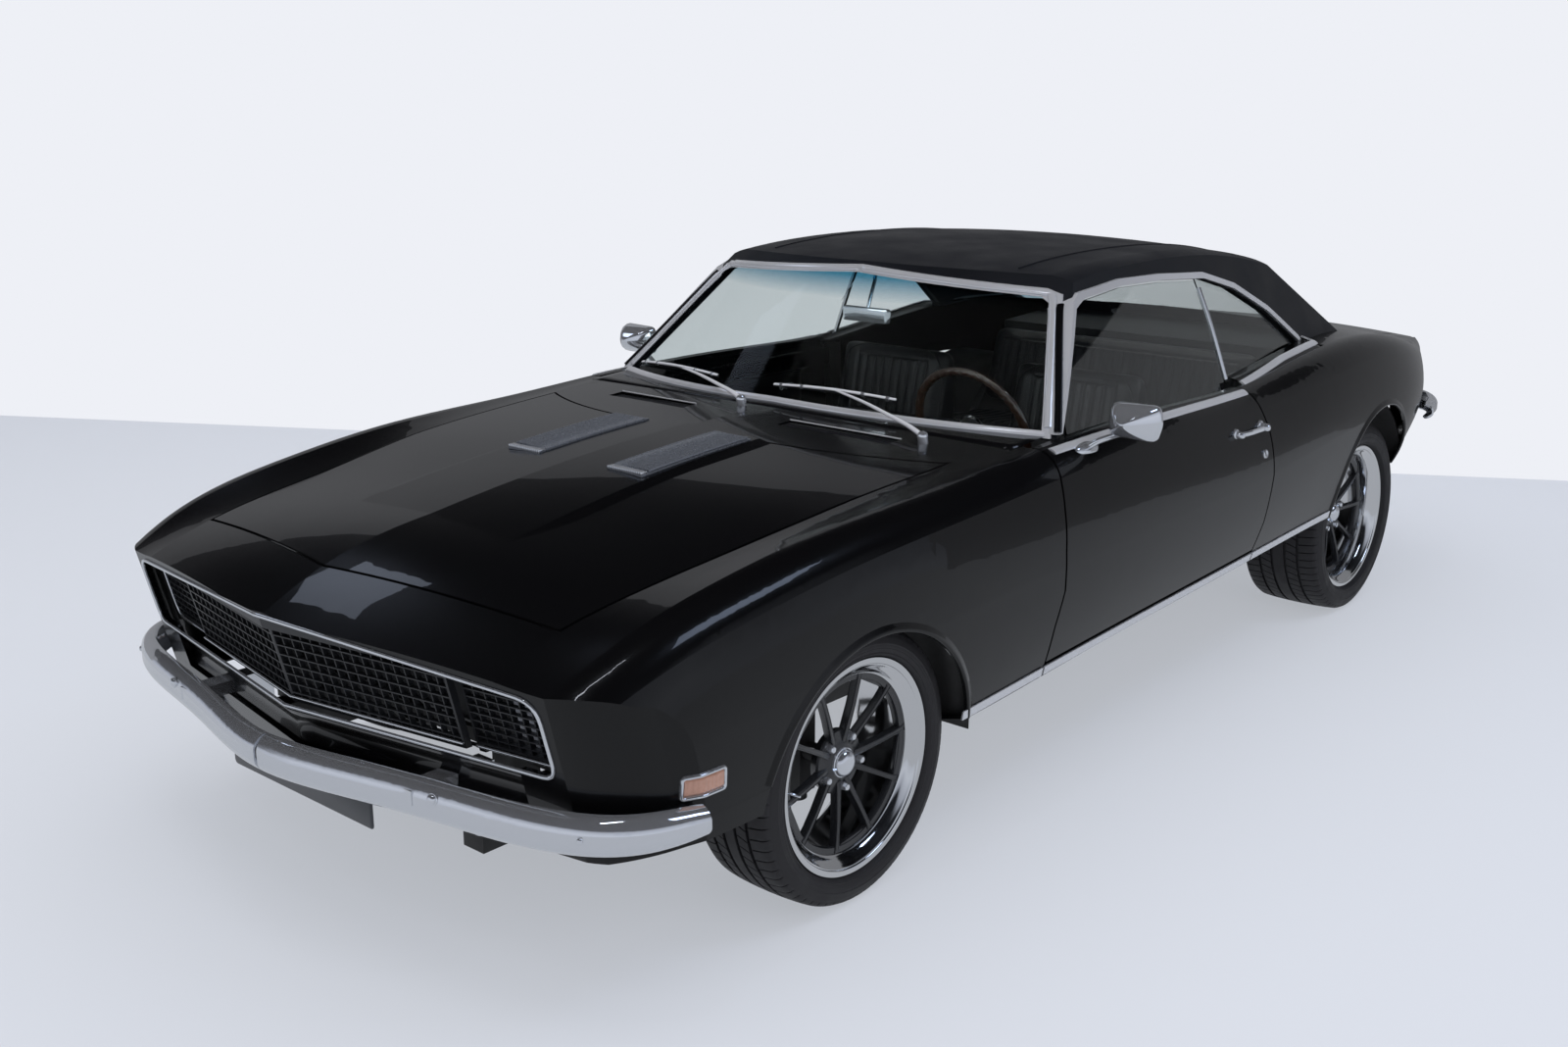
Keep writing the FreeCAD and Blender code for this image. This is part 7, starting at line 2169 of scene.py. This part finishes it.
# ------------------------------------------------------------------ screen surround and shoulder
@dataclass
class ScreenSurround:
    """Polished surround of the windscreen, and the backlight's."""

    front_view: Pairs = (
        (0.0, 1.236), (0.200, 1.226), (0.400, 1.214), (0.545, 1.205), (0.580, 1.192),
        (0.640, 1.094), (0.700, 0.984), (0.742, 0.910))
    rear_view: Pairs = (
        (0.0, 1.206), (0.300, 1.196), (0.490, 1.186), (0.522, 1.166), (0.556, 1.070),
        (0.588, 0.986))

    def build(self) -> None:
        """Make both surrounds on the skin of roof and pillars."""
        skin = Skin("bright_mouldings", "roof", "windshield", "rear_window", "cowl_panel",
                    "front_fenders", "rear_shelf_panel")
        for name, view, start, way in (
                ("windscreen", self.front_view, -2.0, (0.0, 1.0, 0.0)),
                ("backlight", self.rear_view, 2.6, (0.0, -1.0, 0.0))):
            grow = 0.009
            line = [(x + (0.0 if i == 0 else grow * (0.3 if i < 3 else 0.9)),
                z + (grow if i < 5 else 0.004)) for i, (x, z) in enumerate(view)]
            half = course([(x, 0, z) for x, z in line], 0.012)
            both = [Vector((-p.x, 0, p.z)) for p in reversed(half)] + half[1:]
            hits = [skin.ray((p.x, start, p.z), way) for p in both]
            path, ups = skin.line(hits, 0.0015)
            lay(f"{name}_surround", path, ups, (0.021, 0.005), STAINLESS)
        self.pillars()
        self.foot()

    def pillars(self) -> None:
        """The painted edge of each front pillar, between the surround and the drip rail."""
        skin = Skin("bright_mouldings", "roof", "front_fenders")
        for side in Side:
            spots = [(0.618 + 0.162 * k / 30, 1.186 - 0.280 * k / 30) for k in range(31)]
            path, ups = skin.line((skin.ray((side.value * x, -2.0, z), (0, 1, 0))
                for x, z in spots), 0.003)
            lay(f"{side.word}_pillar_edge", path, ups, (0.020, 0.003), PAINT, slot="paint")

    @staticmethod
    def beyond(end: Vector, inner: Vector, reach: float = 0.752) -> Vector:
        """Carry a line on past its end, as far out as the pillar."""
        return end + (end - inner) * ((reach - abs(end.x)) / max(abs(end.x - inner.x), 1e-4))

    def foot(self) -> None:
        """The strip across the foot of the windscreen, and the painted fold below it."""
        glass, cowl = Skin("windshield"), Skin("cowl_panel", "front_fenders")
        path: list[Vector] = []
        folds: list[tuple[Vector, ...]] = []
        for k in range(-60, 61):
            x = 0.736 * k / 60
            low, high = -0.86, -0.45
            for _ in range(14):
                middle = (low + high) / 2
                if glass.top(x, middle):
                    high = middle
                else:
                    low = middle
            hit = glass.top(x, high + 0.002)
            if not hit:
                continue
            path.append(hit[0] + Vector((0, -0.008, 0.005)))
            rear = -0.772 + 0.062 * (abs(x) / 0.70) ** 2
            skin = cowl.top(x, rear)
            foot = Vector((x, rear, skin[0].z + 0.0008 if skin and skin[0].z > 0.85 else 0.889))
            folds.append((path[-1] + Vector((0, -0.004, -0.004)), foot))
        if len(path) < 10:
            return
        smooth = softened(path)
        smooth = [self.beyond(smooth[0], smooth[4]), *smooth, self.beyond(smooth[-1], smooth[-5])]
        folds = [tuple(self.beyond(folds[0][n], folds[4][n]) for n in (0, 1)), *folds,
                 tuple(self.beyond(folds[-1][n], folds[-5][n]) for n in (0, 1))]
        up = Vector((0, -0.75, 0.66))
        lay("windscreen_foot_strip", smooth, up, (0.020, 0.005), STAINLESS)
        points = [a.lerp(b, r / 3) for a, b in folds for r in range(4)]
        faces = [face[::-1] for face in lattice(len(folds), 4)]
        fold = mesh_object("screen_foot_fold", points, faces, PAINT, 70.0)
        PARTS.put(thickened(fold, 0.0015), Body.CAR, "paint")


@dataclass
class SplashShields:
    """Black shields that close the front wheel wells behind the tyres."""

    centre: tuple[float, float] = (-1.4135, 0.316)
    radius: float = 0.378

    def build(self) -> None:
        """Make one on each side, from the fender's lip inwards."""
        skin = Skin("front_fenders")
        for side in Side:
            points: list[Vector] = []
            for k in range(25):
                turn = math.radians(-3 + 100 * k / 24)
                y = self.centre[0] + self.radius * math.cos(turn)
                z = self.centre[1] + self.radius * math.sin(turn)
                hit = skin.side(y + 0.012, max(z, 0.33) + 0.012, side.value)
                lip = min(abs(hit[0].x), 0.885) if hit else 0.865
                points += [Vector((side.value * (0.560 + (lip - 0.006 - 0.560) * r / 3), y, z))
                    for r in range(4)]
            sheet = mesh_object(f"{side.word}_splash_shield", points, lattice(25, 4), CHASSIS,
                70.0)
            PARTS.put(thickened(sheet, 0.0015), Body.CAR, "chassis_black")


@dataclass
class DoorFittings:
    """Chrome door mirror on a raked stalk, handle, and the lock."""

    head: Point = (0.952, -0.452, 0.946)
    right_shift: float = 0.150

    def build(self) -> None:
        """Make the fittings of both doors, which replace the CAD ones."""
        for side in Side:
            shift = 0.0 if side is Side.LEFT else self.right_shift
            parts = self.mirror(shift) + self.handle()
            whole = joined("fittings", parts)
            if side is Side.RIGHT:
                left, whole = whole, mirrored(whole, "fittings")
                bpy.data.objects.remove(left)
            whole.name = f"{side.word}_mirror_and_handle"
            PARTS.put(whole, side.door, "chrome", f"{side.word}_door_fittings")

    def mirror(self, shift: float) -> list[Piece]:
        """Head with its tapered back, glass, stalk and foot, for the left door."""
        x, y, z = self.head
        y += shift
        outline = rounded([(-0.066, -0.044, 0.020), (0.058, -0.046, 0.022), (0.072, 0.000, 0.060),
                           (0.064, 0.046, 0.022), (-0.066, 0.043, 0.022), (-0.072, 0.0, 0.060)], 6)
        rows = ((0.0030, 0.93), (0.0042, 0.975), (0.0, 1.0), (-0.010, 0.985), (-0.030, 0.86),
                (-0.052, 0.62), (-0.070, 0.36), (-0.078, 0.16), (-0.080, 0.04))
        points = [Vector((x + u * s, y + d, z + v * s)) for d, s in rows for u, v in outline]
        faces = lattice(len(rows), len(outline), True, capped=True)
        cup = mesh_object("cup", points, faces, CHROME, 40.0)
        glass = mesh_object("glass", [Vector((x + u * 0.92, y + 0.0034, z + v * 0.92))
            for u, v in outline], [tuple(range(len(outline)))], MIRROR)
        stalk_line = course([(0.846, -0.494 + shift, 0.874), (0.868, -0.489 + shift, 0.890),
            (0.898, -0.482 + shift, 0.904), (0.928, -0.480 + shift, 0.917),
            (0.948, -0.484 + shift, 0.932)], 0.006)
        scales = [1.25 - 0.35 * k / (len(stalk_line) - 1) for k in range(len(stalk_line))]
        stalk = swept("stalk", stalk_line, round_section(0.0070, 14), Vector((0, 1, 0)),
                      CHROME, scales=scales)
        rows = ((0.0, 1.0), (0.006, 0.99), (0.011, 0.88), (0.015, 0.62), (0.017, 0.3))
        plan = [(0.019 * math.cos(a) * (1 + 0.12 * math.sin(a)), 0.052 * math.sin(a))
                for a in (math.tau * k / 36 for k in range(36))]
        base = Vector((0.840, -0.500 + shift, 0.8665))
        points = [base + Vector((u * s, v * s, h - u * s * 0.30)) for h, s in rows
            for u, v in plan]
        faces = lattice(len(rows), len(plan), True, capped=True)
        return [cup, glass, stalk, mesh_object("foot", points, faces, CHROME, 50.0)]

    def handle(self) -> list[Piece]:
        """Fixed grip with its two feet, and the lock below, for the left door."""
        skin = Skin("left_door")
        line = course([(0.896, 0.240, 0.7915), (0.904, 0.256, 0.792), (0.909, 0.290, 0.792),
            (0.910, 0.330, 0.792), (0.908, 0.372, 0.791), (0.903, 0.392, 0.791)], 0.006)
        grip = swept("grip", line, [(0.0072, -0.0035), (0.0076, 0.0010), (0.0045, 0.0052),
                                    (-0.0045, 0.0052), (-0.0076, 0.0010), (-0.0072, -0.0035)],
                     Vector((1, 0, 0)), CHROME)
        parts = [grip]
        for y, reach, radius in ((0.246, 0.024, 0.0105), (0.398, 0.028, 0.0125)):
            hit = skin.side(y, 0.791)
            x = hit[0].x if hit else 0.884
            foot = turned("foot", [(-0.004, 0.0), (-0.004, radius + 0.006),
                (0.0015, radius + 0.005), (0.004, radius), (reach - 0.004, radius * 0.86),
                (reach, radius * 0.6), (reach + 0.001, 0.0)], CHROME, 32, (x, y, 0.791))
            parts.append(foot)
        hit = skin.side(0.398, 0.713)
        x = hit[0].x if hit else 0.897
        parts.append(
            turned("lock", [(-0.003, 0.0), (-0.003, 0.0125), (0.0030, 0.0120), (0.0045, 0.0100),
            (0.0036, 0.0085), (0.0036, 0.0)], CHROME, 32, (x, 0.398, 0.713)))
        parts.append(box_mesh("keyway", (x + 0.0030, 0.3972, 0.7075), (x + 0.0040, 0.3988, 0.7185),
            SEAL))
        return parts


@dataclass
class CowlSlots:
    """The cowl's two air slots: a dark channel with black fins and a bright lip."""

    def build(self) -> None:
        """Make both, each inside its cut-out."""
        skin = Skin("cowl_panel")
        for side in Side:
            parts: list[Piece] = []
            base = []
            for x, y in ((0.170, -0.905), (0.500, -0.868), (0.500, -0.812), (0.170, -0.852)):
                hit = skin.top(side.value * (x + (0.02 if x > 0.3 else -0.02)),
                    y + (0.02 if y > -0.86 else -0.02))
                base.append(Vector((side.value * x, y, (hit[0].z if hit else 0.895) - 0.012)))
            parts.append(mesh_object("tray", base, [(0, 1, 2, 3)], SEAL))
            a, b = base[0].lerp(base[3], 0.5), base[1].lerp(base[2], 0.5)
            count = 30
            step = (b - a) / count
            fin = box_mesh("fin", (-0.0012, -0.021, -0.002), (0.0012, 0.021, 0.0075), GRILLE_BLACK,
                0.0)
            placed(fin, Matrix.Translation(a + step * 0.5))
            parts.append(Repeat(count, tuple(a + step * 0.5), shift=tuple(step)).make(fin,
                GRILLE_BLACK, "cowl_fins"))
            lip = [p + Vector((0, 0, 0.0125)) for p in base]
            path = evenly([lip[3], lip[2]], 0.02)
            parts.append(Bead(0.0022, 6).make(path, STAINLESS, "cowl_lip"))
            PARTS.put(joined(f"{side.word}_cowl_slot", parts), Body.CAR, "paint")


@dataclass
class Tail:
    """Lamp bezels and bars, the round fuel cap and the boot's lock."""

    def build(self) -> None:
        """Make them."""
        self.lamps()
        self.round_fittings()

    def lamps(self) -> None:
        """A bright frame round each lamp, a split bar, and the clear reversing lens."""
        lamp = Skin("tail_lamps")
        panel = Skin("tail_panel", "tail_lamps")
        for side in Side:
            s = side.value
            outline = rounded([(0.329, 0.643, 0.010), (0.559, 0.643, 0.010),
                               (0.559, 0.731, 0.010), (0.329, 0.731, 0.010)], 4)
            ring = evenly(smooth_path([(u, v, 0) for u, v in outline], 1, True), 0.010, True)
            hits = [panel.ray((s * p.x, 2.6, p.y), (0, -1, 0)) for p in ring]
            if all(hits):
                path = [h[0] + Vector((0, 0.001, 0)) for h in hits]
                PARTS.put(swept(f"{side.word}_tail_bezel", path, half_round(0.0085, 0.005),
                                Vector((0, 1, 0)), CHROME, closed=True), Body.CAR, "chrome")
            bars: list[Piece] = []
            for x in (0.408, 0.482):
                hits = [lamp.ray((s * x, 2.6, z), (0, -1, 0)) for z in (0.648, 0.668, 0.687, 0.706,
                    0.726)]
                if all(hits):
                    bars.append(swept("bar", [h[0] + Vector((0, 0.0008, 0)) for h in hits],
                                      half_round(0.006, 0.004), Vector((0, 1, 0)), CHROME))
            spots = [[lamp.ray((s * (0.413 + 0.064 * i / 8), 2.6, 0.652 + 0.070 * k / 5),
                (0, -1, 0)) for i in range(9)] for k in range(6)]
            if bars and all(all(row) for row in spots):
                points = [h[0] + Vector((0, 0.0012, 0)) for row in spots for h in row]
                clear = mesh_object("reverse_lens", points, lattice(6, 9), CLEAR_LENS)
                bars.append(thickened(clear, 0.002))
            if bars:
                PARTS.put(joined(f"{side.word}_tail_lamp_bars", bars), Body.CAR, "red_lens")

    def round_fittings(self) -> None:
        """A round fuel cap, where it clears the bumper, and the boot's round lock."""
        panel = Skin("tail_panel")
        hit = panel.ray((0, 2.6, 0.688), (0, -1, 0))
        if hit:
            cap = turned("cap", [(-0.004, 0.0), (-0.004, 0.060), (0.004, 0.058), (0.010, 0.052),
                (0.012, 0.040), (0.010, 0.036), (0.013, 0.030), (0.016, 0.0)], CHROME, 56)
            tip = hit[0].y
            if tip + 0.016 < 2.3585:
                placed(cap, frame_at(hit[0], (0, 1, 0), (0, 0, 1)))
                PARTS.put(joined("fuel_cap", [cap]), Body.CAR, "chrome")
            else:
                bpy.data.objects.remove(cap)
        hit = panel.ray((0, 2.6, 0.775), (0, -1, 0))
        if hit:
            lock = turned("boot_lock", [(-0.003, 0.0), (-0.003, 0.014), (0.003, 0.013),
                (0.005, 0.010), (0.004, 0.0)], CHROME, 28)
            PARTS.put(placed(lock, frame_at(hit[0], hit[1], (0, 0, 1))), Body.CAR, "chrome")



MAKERS: tuple[type, ...] = (Wheels, Nose, Flanks, Glasshouse, ScreenSurround, SplashShields,
                                DoorFittings, CowlSlots, Tail, Wipers, HoodVents, Seats,
                                SteeringWheel, Cabin)


def corners(box: Sequence[Sequence[float]]) -> list[list[float]]:
    """A box's two corners as plain numbers."""
    return [[float(c) for c in corner] for corner in box]


def main() -> None:
    """Build the studio, the finishes and every piece, in order."""
    logging.basicConfig(level=logging.INFO, format="%(name)s: %(message)s")
    FRAME.update(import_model())
    cad_box = corners(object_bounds())
    scene = bpy.context.scene
    scene.view_settings.view_transform = "Standard"
    Studio().build()
    finish_frame()
    for maker in MAKERS:
        maker().build()
    LOG.info("%d pieces", len(PARTS.done))
    {"cad": cad_box, "visual": corners(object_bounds())}


if __name__ == "__main__":
    main()
